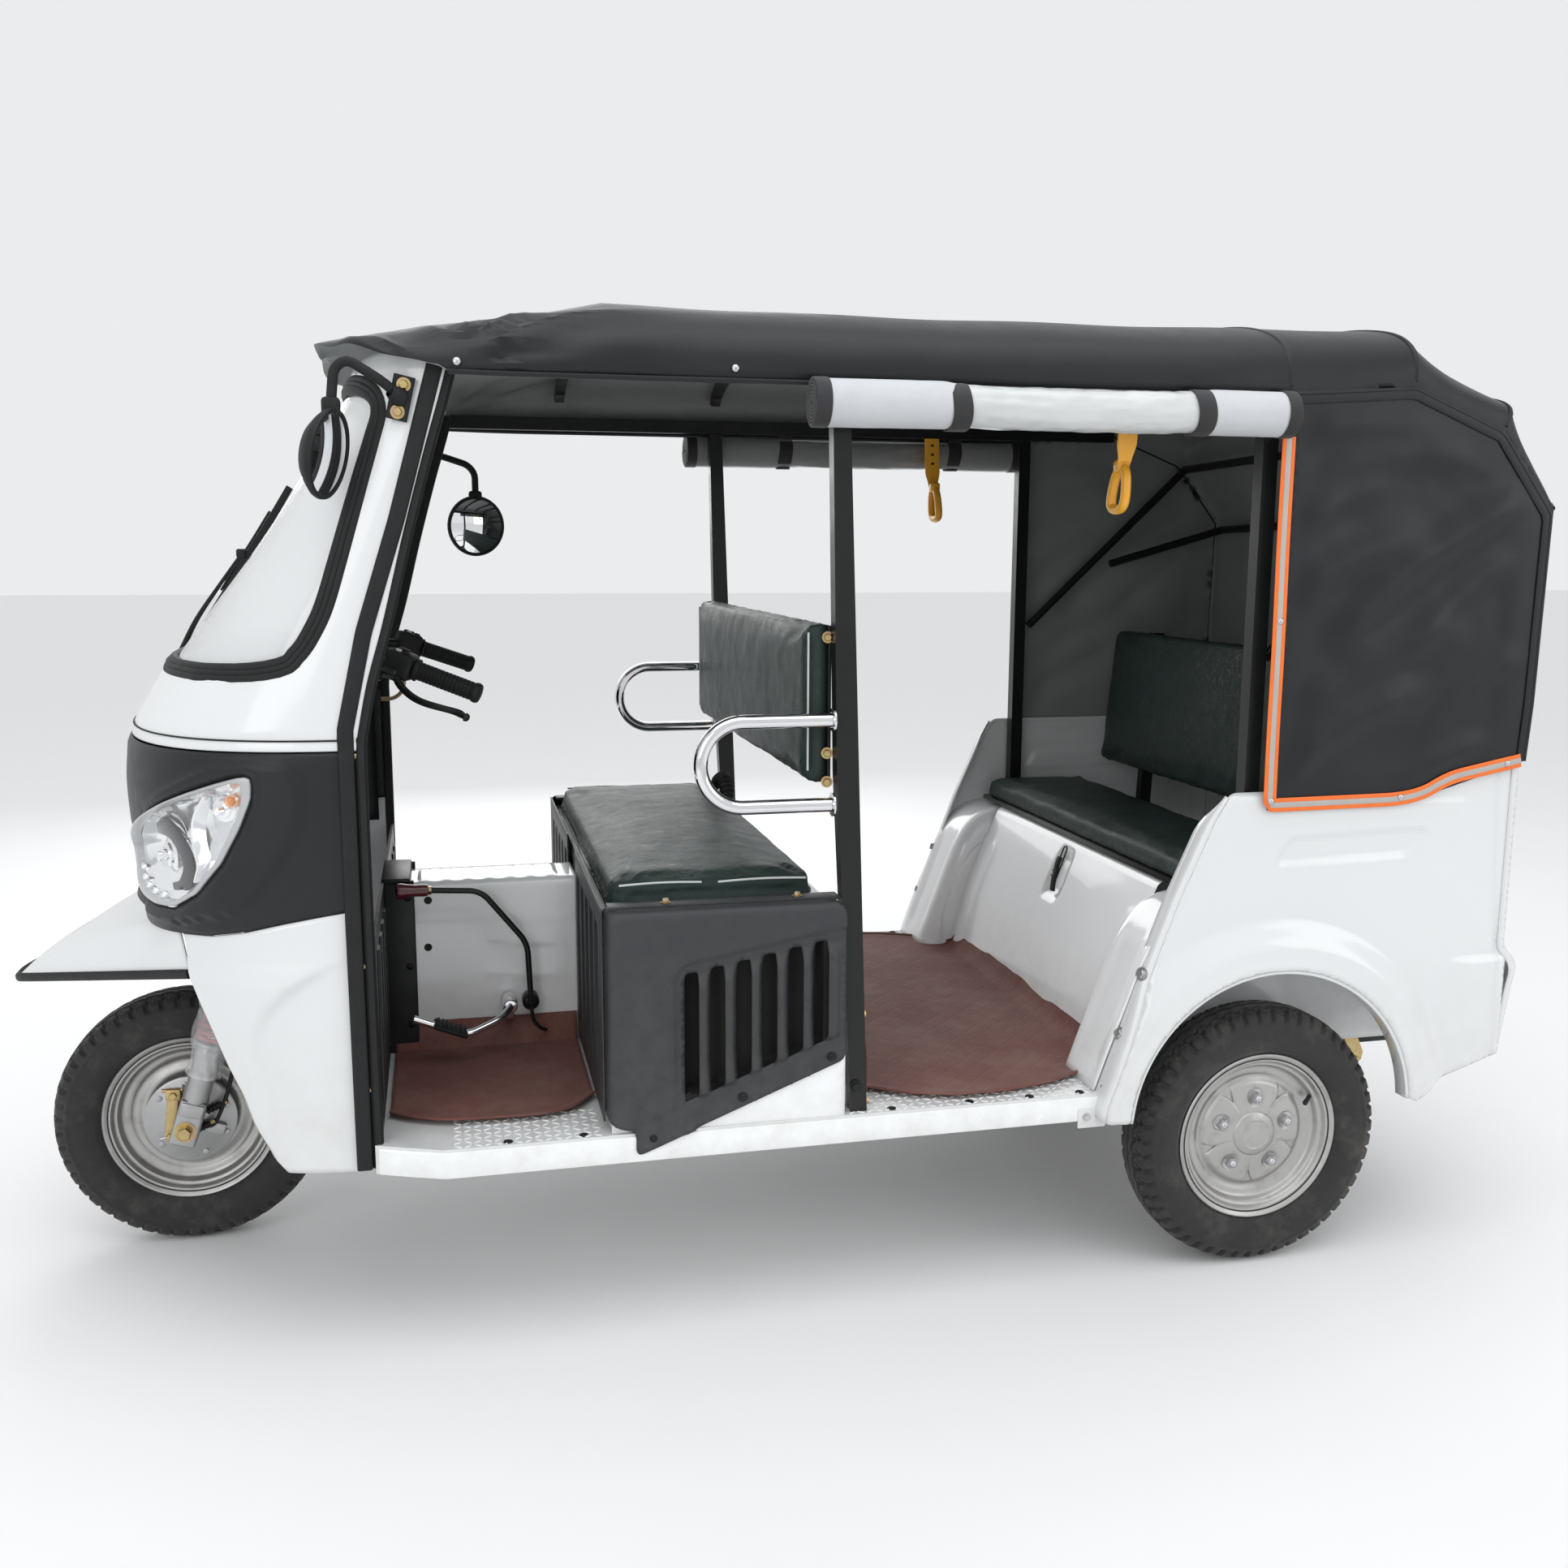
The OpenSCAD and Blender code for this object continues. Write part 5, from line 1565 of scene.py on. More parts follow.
def tail_lamps():
    for sg, nm in ((1, "left"), (-1, "right")):
        m = Mesh()
        y0, y1 = (470, 580)
        c = (y0 + y1) / 2
        loop = rrect(110, 140, 22, 6, c, 710)

        def ring(inset, x):
            L = np.array([(c + (p[0] - c) * (1 - inset / 55), 710 + (p[1] - 710) * (1 - inset / 70)) for p in loop])
            return np.stack([np.full(len(L), x), sg * L[:, 0], L[:, 1]], 1)
        m.add(grid(np.array([ring(-4, -517), ring(-4, -527), ring(-1, -531), ring(4, -531), ring(6, -527)]), cj=True, flip=sg > 0), 0)
        # red field with ribbed dome, amber band above
        zs = np.linspace(643, 777, 40)
        ysx = np.linspace(473, 577, 30)
        Yg, Zg = np.meshgrid(ysx, zs, indexing="ij")
        u, v = (Yg - c) / 55, (Zg - 710) / 70
        k = np.clip(1 - np.maximum(np.abs(u)**6, np.abs(v)**6), 0, 1)
        Xg = -526 - 13 * k**0.5 - 0.9 * np.sin(Yg / 1.9) * k
        P = np.stack([Xg, sg * Yg, Zg], -1)
        v_, f_ = grid(P, flip=sg > 0)
        zc = v_[:, 2][np.array(f_)].mean(1)
        for mi, lo, hi in ((1, 0, 690), (1, 690, 730), (2, 730, 2000)):
            sel = [q for q, zz in zip(f_, zc) if lo <= zz < hi]
            m.add((v_, sel), mi)
        make(f"tail_lamp_{nm}", m, [LAMPDARK, REDLENS, AMBER], merge=0.02, replaces="tail_lights" if sg > 0 else (), angle=60)


tail_lamps()


# ------------------------------------------------------------------ wheels
AXLE_Z, WHEEL_Y, BASE = 258.0, 552.0, 2043.0
TYRE = np.array([(155, 36.5), (168, 36.5), (174, 42), (192, 50), (216, 52.5), (240, 48), (252, 38), (258, 18)], float)


def tyre(nm, c, sg, body, node, ph=0.0):
    half = catmull(TYRE[1:], 6)
    half = resample(half, 3.4)
    r_ = half[:, 0]
    half = half[(r_ > 224) | (np.abs(r_ - 179) < 5) | (np.abs(r_ - 186) < 3.5) | (np.arange(len(r_)) % 2 == 0)]
    crown = np.array([(258.2, y) for y in np.arange(15, -0.1, -3.0)])
    right = np.vstack([np.array([(155, 33.0), (155, 36.5), (163, 36.5)]), half, crown])
    left = right[::-1][1:] * (1, -1)
    prof = np.vstack([right, left])
    n = 52 * 6
    th = np.linspace(0, 2 * np.pi, n, endpoint=False)
    R = np.broadcast_to(prof[None, :, 0], (n, len(prof))).copy()
    Y = np.broadcast_to(prof[None, :, 1], (n, len(prof))).copy()
    k = th[:, None] * 52 / (2 * np.pi)
    a = np.abs(Y)
    outer = (R > 236)
    # shoulder blocks: slots across the shoulder, offset from side to side
    ph_ = np.where(Y > 0, 0.0, 0.5)
    cell = (k + ph_ + 0.10 * np.sin(a / 6)) % 1.0
    slot = smooth01((0.17 - np.abs(cell - 0.5)) / 0.06) * smooth01((a - 24) / 4) * smooth01((R - 232) / 7)
    # two zigzag grooves round the crown, and a middle one
    zig = 3.2 * np.sign(np.sin(2 * np.pi * k)) * np.abs(np.sin(2 * np.pi * k))**0.4
    g1 = smooth01((3.4 - np.abs(a - 20 - np.where(Y > 0, zig, -zig))) / 1.6)
    g2 = smooth01((2.6 - np.abs(Y - zig * 0.7)) / 1.4)
    sipe = smooth01((0.07 - np.abs(((k * 1.0 + 0.25) % 1.0) - 0.5)) / 0.04) * smooth01((20 - a) / 3)
    d = np.maximum.reduce([slot * 6.0, g1 * 6.5 * outer, g2 * 6.0 * outer, sipe * 3.0 * outer])
    # rings on the side wall
    for rr, w_, h_ in ((179, 2.4, 1.3), (186, 1.4, 0.9), (229, 1.8, 1.4), (233, 1.2, 0.8)):
        Y = Y + np.sign(Y) * h_ * np.exp(-((R - rr) / w_)**2) * (a > 30)
    nr = unit(np.stack([np.gradient(prof[:, 1]), -np.gradient(prof[:, 0])], 1))
    s_ = np.sign((nr * np.stack([prof[:, 0] - 205, prof[:, 1]], 1)).sum(1))
    nr = nr * s_[:, None]
    R = R - d * nr[None, :, 0]
    Y = Y - d * nr[None, :, 1]
    P = np.stack([c[0] + R * np.cos(th + ph)[:, None], c[1] + sg * Y, c[2] + R * np.sin(th + ph)[:, None]], -1)
    v, f = grid(P, ci=True, cj=True)
    return make(f"tyre_{nm}", (v, f), TYREM, body=body, replaces=node, angle=42, recalc=True)


RIM_OUT = [(160, 30), (163.5, 35.5), (166.8, 37.5), (167.2, 40), (165, 41.8), (161.5, 40.8), (158.5, 36.8), (155, 35.2), (151.5, 34.8), (149.2, 32), (147.6, 27), (145, 24.6), (141, 24.0),
           (138.4, 21), (136.6, 15), (133, 11.4), (127, 10.4), (121, 9.6)]


def rim_rear(nm, c, sg, body, node):
    ax = A(0, sg, 0)
    m = Mesh()
    disc = [(117, 6.5), (113, 5.8), (109, 7.5), (105, 11.0), (100, 13.0), (60, 13.4), (24, 13.6)]
    m.add(lathe(RIM_OUT + disc, c, ax, 96))
    inner = [(160, 30), (152, 20), (140, 10), (136, -12), (144, -24), (158, -33), (164, -37), (167, -38.5), (167, -41), (163, -41.5), (158, -36), (146, -27), (132, -14), (121, 9.6)]
    m.add(lathe(inner, c, ax, 96))
    # lobed centre plate: five raised lobes round the nuts, notched between
    n, q = 180, 18
    th = np.linspace(0, 2 * np.pi, n, endpoint=False)
    lob = np.abs(np.cos(2.5 * th))**0.35
    edge = 82 + 27 * smooth01((lob - 0.25) / 0.45)
    rho = np.linspace(0, 1, q)
    Rr = 44 + (edge[:, None] - 44) * rho[None]
    Hh = 17.0 + 7.5 * (1 - rho[None])**1.3 * np.ones_like(Rr)
    drop = smooth01((rho[None] - 0.86) / 0.14)
    Hh = Hh * (1 - drop) + 11.0 * drop
    nut = np.zeros_like(Rr)
    for i in range(5):
        a = i * 2 * np.pi / 5
        dx, dy = Rr * np.cos(th)[:, None] - 73 * math.cos(a), Rr * np.sin(th)[:, None] - 73 * math.sin(a)
        nut = np.maximum(nut, smooth01((19 - np.hypot(dx, dy)) / 5))
    Hh = Hh - 4.0 * nut
    ux, uz = A(1, 0, 0), A(0, 0, 1)
    rot = 0.35
    P = (np.asarray(c)[None, None] + (Rr * np.cos(th + rot)[:, None])[..., None] * ux + (Rr * np.sin(th + rot)[:, None])[..., None] * uz + Hh[..., None] * ax)
    m.add(grid(P, ci=True))
    # hub cap: ten-sided shoulder, then a plain round centre
    rows = []
    for rr, hh, ten in ((46, 22, 0), (44.5, 25.5, 0), (42, 27.5, 1), (33, 31, 1), (29, 32, 0), (27.5, 31, 0), (26, 31.2, 0), (0.01, 32.2, 0)):
        r_ = rr * (1 - 0.035 * ten * (1 - np.abs(np.cos(5 * th))))
        rows.append(np.asarray(c)[None] + (r_ * np.cos(th))[:, None] * ux + (r_ * np.sin(th))[:, None] * uz + hh * ax[None])
    m.add(grid(np.array(rows), cj=True))
    o = make(f"rim_{nm}", m, WHEEL, body=body, replaces=node, angle=40, recalc=False)
    b = Mesh()
    for i in range(5):
        a = i * 2 * np.pi / 5 + rot
        p = np.asarray(c) + 73 * (math.cos(a) * ux + math.sin(a) * uz) + 14.5 * ax
        b.add(hexbolt(p, ax, 20, 13, True, 17 * i))
        b.add(dome(p + ax * 14, ax, 8.2, 6.5))
    make(f"wheel_nuts_{nm}", b, BRIGHT, body=body)
    v_ = Mesh()
    a = 2.65
    p0 = np.asarray(c) + 139 * (math.cos(a) * ux + math.sin(a) * uz) + 18 * ax
    p1 = np.asarray(c) + 118 * (math.cos(a) * ux + math.sin(a) * uz) + 31 * ax
    v_.add(tube(np.array([p0, p0 * 0.4 + p1 * 0.6, p1]), 4.2, 12))
    v_.add(lathe([(4.8, -8), (4.8, 0), (3.6, 2), (0.01, 2.4)], p1, unit(p1 - p0), 12))
    make(f"valve_{nm}", v_, RUBBER, body=body)
    # brake drum behind the disc
    d = Mesh()
    d.add(lathe([(30, 12), (96, 11), (104, 6), (108, -2), (108, -30), (102, -33), (60, -33), (24, -33)], c, ax, 72))
    for r_ in (-8, -15, -22):
        d.add(lathe([(107, r_ - 2), (110, r_ - 1), (110, r_ + 1), (107, r_ + 2)], c, ax, 72))
    make(f"brake_drum_{nm}", d, CAST, body=body)


def rim_front():
    c = A(BASE, 0, AXLE_Z)
    m = Mesh()
    for sg in (1, -1):
        ax = A(0, sg, 0)
        well = [(117, 7.0), (112, 4.5), (106, 5.0), (99, 9.5), (93, 11.5), (86, 10.5), (80, 8.0), (74, 4.0), (30, 3.0)]
        m.add(lathe(RIM_OUT + well, c, ax, 96))
        m.add(lathe([(160, 30), (150, 18), (142, 6), (141, 0)], c, ax, 96))
    k = 10
    make("rim_front", m, WHEEL, body="front_wheel", replaces="front_rim", angle=40)
    h = Mesh()
    ax = A(0, 1, 0)
    h.add(lathe([(14, -50), (30, -50), (33, -47), (33, -30), (40, -26), (66, -8), (74, -4), (74, 0)], c, ax, 64))
    h.add(lathe([(74, 0), (78, 2), (78, 34), (74, 36), (20, 36), (14, 36)], c, ax, 72))
    for r_ in (10, 18, 26):
        h.add(lathe([(77.5, r_ - 2), (80.5, r_ - 1), (80.5, r_ + 1), (77.5, r_ + 2)], c, ax, 72))
    make("hub_front", h, CAST, body="front_wheel")
    b = Mesh()
    for i in range(6):
        a = i * np.pi / 3
        for sg in (-1,):
            b.add(hexbolt(c + A(56 * math.cos(a), sg * 13, 56 * math.sin(a)), A(0, sg, 0), 13, 6))
    make("hub_bolts_front", b, BRIGHT, body="front_wheel")


tyre("front", A(BASE, 0, AXLE_Z), 1, "front_wheel", "front_tyre", 0.03)
tyre("rear_left", A(0, WHEEL_Y, AXLE_Z), 1, "rear_wheel_left", "rear_left_tyre", 0.0)
tyre("rear_right", A(0, -WHEEL_Y, AXLE_Z), -1, "rear_wheel_right", "rear_right_tyre", 0.05)
rim_rear("rear_left", A(0, WHEEL_Y, AXLE_Z), 1, "rear_wheel_left", "rear_left_rim")
rim_rear("rear_right", A(0, -WHEEL_Y, AXLE_Z), -1, "rear_wheel_right", "rear_right_rim")
rim_front()


# ------------------------------------------------------------------ fork
AXD = A(-.309017, 0, .951057)                     # steering axis, upwards
FORE = A(.951057, 0, .309017)                     # square to it, forwards
FOOT = A(2011.456, 0, 258)


def along(s):
    return FOOT + AXD * s


def helix(o, d, r, wire, turns, length, n=22):
    x, y, z = basis(d)
    t = np.linspace(0, turns, int(turns * n) + 1)
    flat = np.clip(np.minimum(t, turns - t) / 0.8, 0, 1)
    h = np.interp(t, [0, 0.9, turns - 0.9, turns], [wire, wire * 2.6, length - wire * 2.6, length - wire])
    P = np.asarray(o) + r * (np.cos(2 * np.pi * t)[:, None] * x + np.sin(2 * np.pi * t)[:, None] * y) + h[:, None] * z
    return tube(P, wire, 10)


def fork():
    leg = Mesh()
    top = 322.0
    for sg in (1, -1):
        o = A(BASE, sg * 90, AXLE_Z)
        # slider tube with collars
        leg.add(lathe([(0.01, 26), (21, 26), (24.5, 30), (24.5, 150), (26.5, 152), (27.5, 158), (27.5, 170), (25, 174), (16, 176)], o, AXD, 40), 0)
        # inner tube up to the crown
        leg.add(lathe([(13.5, 150), (13.5, 300), (22, 302), (22, 322), (0.01, 324)], o, AXD, 32), 1)
        leg.add(lathe([(14, 176), (34, 177), (35, 180), (34, 183), (14, 184)], o, AXD, 36), 0)
        leg.add(lathe([(14, 292), (34, 293), (35, 297), (34, 300), (14, 301)], o, AXD, 36), 0)
        # square axle lug
        lug = rbox((-25, -24, -32), (25, 24, 62), 6, 3)
        leg.add(xform(lug, o, FORE, A(0, 1, 0), AXD), 0)
        leg.add(xform(rbox((-22, -3, 30), (22, 27, 58), 3, 2), o, FORE, A(0, sg, 0), AXD), 0)
    make("fork_legs", leg, [CAST_SILVER, CHROME], body="steering", replaces="steering_fork", angle=40, recalc=True)
    sp = Mesh()
    for sg in (1, -1):
        sp.add(helix(A(BASE, sg * 90, AXLE_Z) + AXD * 184, AXD, 28.5, 4.6, 7.5, 108))
    make("fork_springs", sp, REDPAINT, body="steering")
    # crown plates and column
    cr = Mesh()
    t = AXD * 0
    cr.add(xform(rbox((-32, -116, 300), (34, 116, 331), 7, 3), FOOT, FORE, A(0, 1, 0), AXD))
    cr.add(lathe([(0.01, 330), (30, 330), (30, 342), (22, 346), (22, 925), (18, 930), (0.01, 930)], FOOT, AXD, 36))
    cr.add(lathe([(22, 506), (33, 507), (35, 511), (35, 522), (30, 526), (22, 527)], FOOT, AXD, 36))
    cr.add(lathe([(22, 350), (33, 351), (35, 355), (34, 368), (22, 369)], FOOT, AXD, 36))
    make("fork_crown", cr, STEEL, body="steering", angle=40, recalc=True)
    # axle, its gold nuts, and the brake plate with lever
    g = Mesh()
    ax = A(0, 1, 0)
    c = A(BASE, 0, AXLE_Z)
    g.add(lathe([(0.01, -126), (10, -126), (10, 126), (0.01, 126)], c, ax, 24), 1)
    for sg in (1, -1):
        g.add(hexbolt(c + A(0, sg * 114, 0), A(0, sg, 0), 24, 13, True, 12), 0)
    # lever on the brake plate
    ly = 62
    P = np.array([(2069, ly, 318), (2073, ly + 1, 290), (2079, ly, 232)])
    m2 = sweep(resample(P, 6), rrect(22, 5, 2), False, A(0, 1, 0))
    g.add(m2, 0)
    g.add(rbox((2055, ly - 8, 306), (2083, ly + 8, 330), 3), 0)
    g.add(hexbolt(A(2069, ly + 6, 318), ax, 14, 7), 0)
    g.add(tube(np.array([(2052, ly, 327), (2090, ly, 327)]), 4, 10), 0)
    g.add(hexbolt(A(2079, ly + 3, 233), ax, 14, 8), 0)
    g.add(tube(np.array([(2098, ly + 4, 230), (2079, ly + 4, 233), (2035, ly + 6, 240)]), 3.2, 10), 1)
    make("front_axle_fittings", g, [GOLD, BRIGHT], body="steering", angle=35)
    bp = Mesh()
    bp.add(lathe([(14, 37.5), (84, 37.5), (88, 39), (88, 45), (84, 47), (70, 48), (66, 51), (40, 53), (30, 58), (14, 58)], c, ax, 72))
    for a0 in (40, 85, 160, 205, 250, 320):
        a = math.radians(a0)
        p = c + A(74 * math.cos(a), 47, 74 * math.sin(a))
        bp.add(lathe([(6, 0), (6, 3), (4, 4), (0.01, 4)], p, ax, 16))
    bp.add(xform(rbox((-70, 50, -12), (-24, 64, 12), 4), c, unit(A(1, 0, 0.35)), ax, unit(A(-0.35, 0, 1))))
    make("brake_plate", bp, CAST_SILVER, body="steering", angle=35)
    # two sheathed cables from the plate up behind the leg, clipped to the fork
    cb = Mesh()
    for k_, (p0, p1) in enumerate((((2035, 66, 240), (1990, 70, 262)), ((2010, 62, 278), (1975, 68, 296)))):
        P = np.array([p0, ((p0[0] + p1[0]) / 2, p0[1] + 3, (p0[2] + p1[2]) / 2 - 2), p1, (1958 - 4 * k_, 70, 350 + 20 * k_), (1946, 60, 450), (1938, 40, 540), (1936 - 8 * k_, 20 + 6 * k_, 560)])
        cb.add(tube(catmull(P, 8), 4.2, 10), 0)
        d = unit(np.array(p1) - np.array(p0))
        cb.add(lathe([(4, -2), (8, 0)] + [(8 if i % 2 else 5.8, 4 + 4 * i) for i in range(7)] + [(4.5, 33)], np.array(p0, float) + d * 3, d, 14), 0)
        cb.add(lathe([(3, 34), (6, 35), (6, 44), (3, 45)], np.array(p0, float) + d * 3, d, 6), 1)
    make("brake_cables_front", cb, [RUBBER, GOLD], body="steering", angle=40)
    # shipping film left round each leg
    for sg, nm in ((1, "left"), (-1, "right")):
        o = A(BASE, sg * 90, AXLE_Z)
        x, y, z = basis(AXD)
        s = np.linspace(112, 300, 44)
        th = np.linspace(0, 2 * np.pi, 64, endpoint=False)
        Sg, Tg = np.meshgrid(s, th, indexing="ij")
        body_r = np.interp(Sg, [112, 130, 150, 165, 176, 190, 300], [26.5, 27, 28.5, 30.5, 37, 38.5, 37.5])
        w = vnoise(Tg * 2.2 + 3 * sg, Sg / 26, 61, 3)
        fold = np.abs(np.sin(Tg * 4 + Sg / 30 + 2.2 * w))
        R = body_r + 1.2 + 4.5 * np.maximum(0, w) + 2.5 * fold**3 + 5 * np.exp(-((Sg - 118) / 8)**2) * np.abs(np.sin(Tg * 3.5 + 1))
        P = o + Sg[..., None] * z + R[..., None] * (np.cos(Tg)[..., None] * x + np.sin(Tg)[..., None] * y)
        make(f"leg_film_{nm}", grid(P, cj=True), WRAP, body="steering", angle=70)


CAST_SILVER = metal("fork_silver", "cast_metal", (0.46, 0.46, 0.46), (0.36, 0.36, 0.36), (0.32, 0.46), 0.12, 0.85, 30)
fork()


# ------------------------------------------------------------------ engine cover with louvres
COVER_OUT = [(843, 487), (1206, 345), (1216, 343), (1221, 350), (1221, 384), (1271, 398), (1271, 782), (843, 782)]
LOUVRE = [(1133, 430, 664), (1087, 446, 673), (1040, 465, 681), (994, 482, 690), (947, 499, 699), (901, 517, 707)]
LOW_SLOPE = (345 - 487) / (1206 - 843)


def cover_side(sg, nm):
    out = fillet(np.array(COVER_OUT, float), [14, 6, 4, 4, 12, 24, 10, 34], 6, True)
    holes = []
    for fx, z0, z1 in LOUVRE:
        w = 23.0
        h = np.array([(fx, z0 - 2), (fx, z1), (fx - w, z1), (fx - w, z0 - LOW_SLOPE * w - 2)])
        holes.append(fillet(h, [4, 15, 3, 5], 5, True)[::-1])
    V, F = panel(out, 7.0, holes)
    x, z = V[:, 0], V[:, 1]
    y = np.full(len(x), 607.0)
    # louvre field sits back behind a rounded border
    field = fillet(np.array([(1152, 380), (1152, 676), (870, 727), (800, 727), (800, 380)], float), [0, 34, 10, 0, 0], 7, False)
    d = dist_line(x, z, field[:-2], False)
    ins = in_poly(x, z, np.vstack([field, [(800, 380)]]))
    sd = np.where(ins, d, -d)
    y = y - 6.0 * smooth01((sd + 5) / 10)
    # a rounded scoop behind each slot
    for fx, z0, z1 in LOUVRE:
        u = (fx - 22 - x) / 24.0
        tall = smooth01((z - z0 - 2) / 22) * smooth01((z1 + 2 - z) / 26)
        b = np.where((u > -0.06) & (u < 1.0), np.sqrt(np.clip(1 - np.clip(u, 0, 1)**2, 0, 1)), 0)
        y = y + 17.0 * b * tall
        y = y - 3.0 * np.exp(-((x - fx - 3) / 5)**2) * tall
    # lower slanted lip
    low = 487 + (x - 843) * LOW_SLOPE
    up = (z - low) / math.hypot(1, LOW_SLOPE)
    y = y - 2.6 * np.exp(-((up - 44) / 5.0)**2) * smooth01((1235 - x) / 14)
    y = y + 2.4 * smooth01((32 - up) / 10) * smooth01((1235 - x) / 14)
    # rounded top and front edges
    k = np.clip(z - 756, 0, 26)
    y = y - (26 - np.sqrt(np.maximum(0, 26**2 - k**2)))
    k = np.clip(x - 1243, 0, 28)
    y = y - (28 - np.sqrt(np.maximum(0, 28**2 - k**2)))
    P = np.stack([x, sg * y, z], 1)
    o = make(f"engine_cover_{nm}", (P, F if sg < 0 else F[:, ::-1]), COVER, replaces="side_covers" if sg > 0 else (), thick=4, thick_off=-1, angle=50)
    m = Mesh()
    # top flange under the seat and the ribbed front face
    m.add(rbox((850, min(sg * 545, sg * 584), 776), (1262, max(sg * 545, sg * 584), 782.4), 2.5), 0)
    ys = np.linspace(92, 580, 82)
    zs = np.linspace(398, 779, 30)
    Yg, Zg = np.meshgrid(ys, zs, indexing="ij")
    X = np.full_like(Yg, 1271.0)
    for yc in (150, 235, 320, 405, 490):
        r_ = smooth01((29 - np.abs(Yg - yc)) / 8) * smooth01((Zg - 430) / 16) * smooth01((742 - Zg) / 16)
        X = X - 7.0 * r_
    m.add(grid(np.stack([X, sg * Yg, Zg], -1), flip=sg < 0), 0)
    o2 = make(f"engine_cover_front_{nm}", m, COVER, angle=45)
    s = o2.modifiers.new("thickness", "SOLIDIFY")
    s.thickness, s.offset = 0.003, -1
    b = Mesh()
    for bx, bz in ((1191, 371), (1031, 432), (869, 494)):
        b.add(dome(A(bx, sg * 607, bz), A(0, sg, 0), 8.5, 4.5))
        b.add(hexbolt(A(bx, sg * 610, bz), A(0, sg, 0), 8, 3, False))
    make(f"cover_bolts_dark_{nm}", b, RUBBER)
    b = Mesh()
    for bx in (1160, 925):
        b.add(hexbolt(A(bx, sg * 566, 782.2), A(0, 0, 1), 11, 6))
    make(f"cover_bolts_{nm}", b, BRASS)
    # black mesh-like backing seen through the slots: a ribbed duct plate
    # (a closed tray whose rim meets the back of the cover)
    xx = np.r_[846, 864, 883, np.linspace(886, 1150, 62), 1153, 1168]
    vv = np.r_[np.linspace(0, 0.2, 14), np.linspace(0.24, 0.95, 16), 0.965, 0.98, 1]
    Xg, Vg = np.meshgrid(xx, vv, indexing="ij")
    zl = 487 + (Xg - 843) * LOW_SLOPE + 12
    Zg = zl + Vg * (722 - zl)
    e_ = np.minimum(np.minimum(Xg - 883, 1153 - Xg), np.minimum(Zg - np.maximum(zl + 34, 445), 716 - Zg))
    wall = 1 - smooth01(e_ / 5)
    Yb = 566 + 1.4 * np.sin(Xg / 5.5) * (1 - wall) + 32 * wall
    make(f"engine_duct_{nm}", grid(np.stack([Xg, sg * Yb, Zg], -1), flip=sg < 0), DUCT, thick=1.5, thick_off=-1)
    # white closing plate under the slanted edge
    out = fillet(np.array([(842, 344), (1186, 344), (1186, 366), (842, 502)], float), 4, 4, True)
    V, F = panel(out, 14.0)
    make(f"cover_closing_plate_{nm}", (np.stack([V[:, 0], np.full(len(V), sg * 598.0), V[:, 1]], 1), F if sg < 0 else F[:, ::-1]), WHITE_LIT_INSIDE, thick=3, thick_off=-1)


for _sg, _nm in ((1, "left"), (-1, "right")):
    cover_side(_sg, _nm)


# ------------------------------------------------------------------ cushions
def rounded_slab(lo, hi, corner, crown, edge, n=72, m=46):
    """closed pad: rounded plan, pulled-in sides, crowned top; local X, Y in the plane and Z up"""
    cx, cy = (lo[0] + hi[0]) / 2, (lo[1] + hi[1]) / 2
    a, b = (hi[0] - lo[0]) / 2, (hi[1] - lo[1]) / 2
    k = 26
    loop = rrect(2 * a, 2 * b, corner, 9)
    loop = resample(loop, max(12.0, (a + b) / 60), True)
    rows = []
    H = hi[2] - lo[2]
    nrm = unit(np.roll(loop, -1, 0) - np.roll(loop, 1, 0))
    out = np.stack([nrm[:, 1], -nrm[:, 0]], 1)
    pull = np.cos(np.linspace(0, 1, len(loop)) * 0)

    def ring(inset, z, shrink=1.0):
        q = loop * shrink - out * inset
        return np.stack([cx + q[:, 0], cy + q[:, 1], np.full(len(q), z)], 1)
    e = edge
    for t in np.linspace(0, 90, 5):
        rows.append(ring(e * 0.5 * (1 - math.sin(math.radians(t))), lo[2] + e * 0.5 * (1 - math.cos(math.radians(t)))))
    for z in np.linspace(lo[2] + e * 0.7, hi[2] - e * 1.2, 4):
        f = (z - lo[2]) / H
        rows.append(ring(2.5 * math.sin(math.pi * f), z))
    for t in np.linspace(0, 90, 6):
        rows.append(ring(e * (1 - math.cos(math.radians(t))), hi[2] - e + e * math.sin(math.radians(t))))
    for s in np.linspace(0.97, 0.04, 22):
        q = ring(e, hi[2], s)
        q[:, 2] += crown * (1 - s**2.2)
        rows.append(q)
    P = np.array(rows)
    v, f = grid(P, cj=True)
    nn = P.shape[1]
    f = list(f)
    f.append(tuple(range(nn))[::-1])
    f.append(tuple((len(rows) - 1) * nn + i for i in range(nn)))
    return v, f


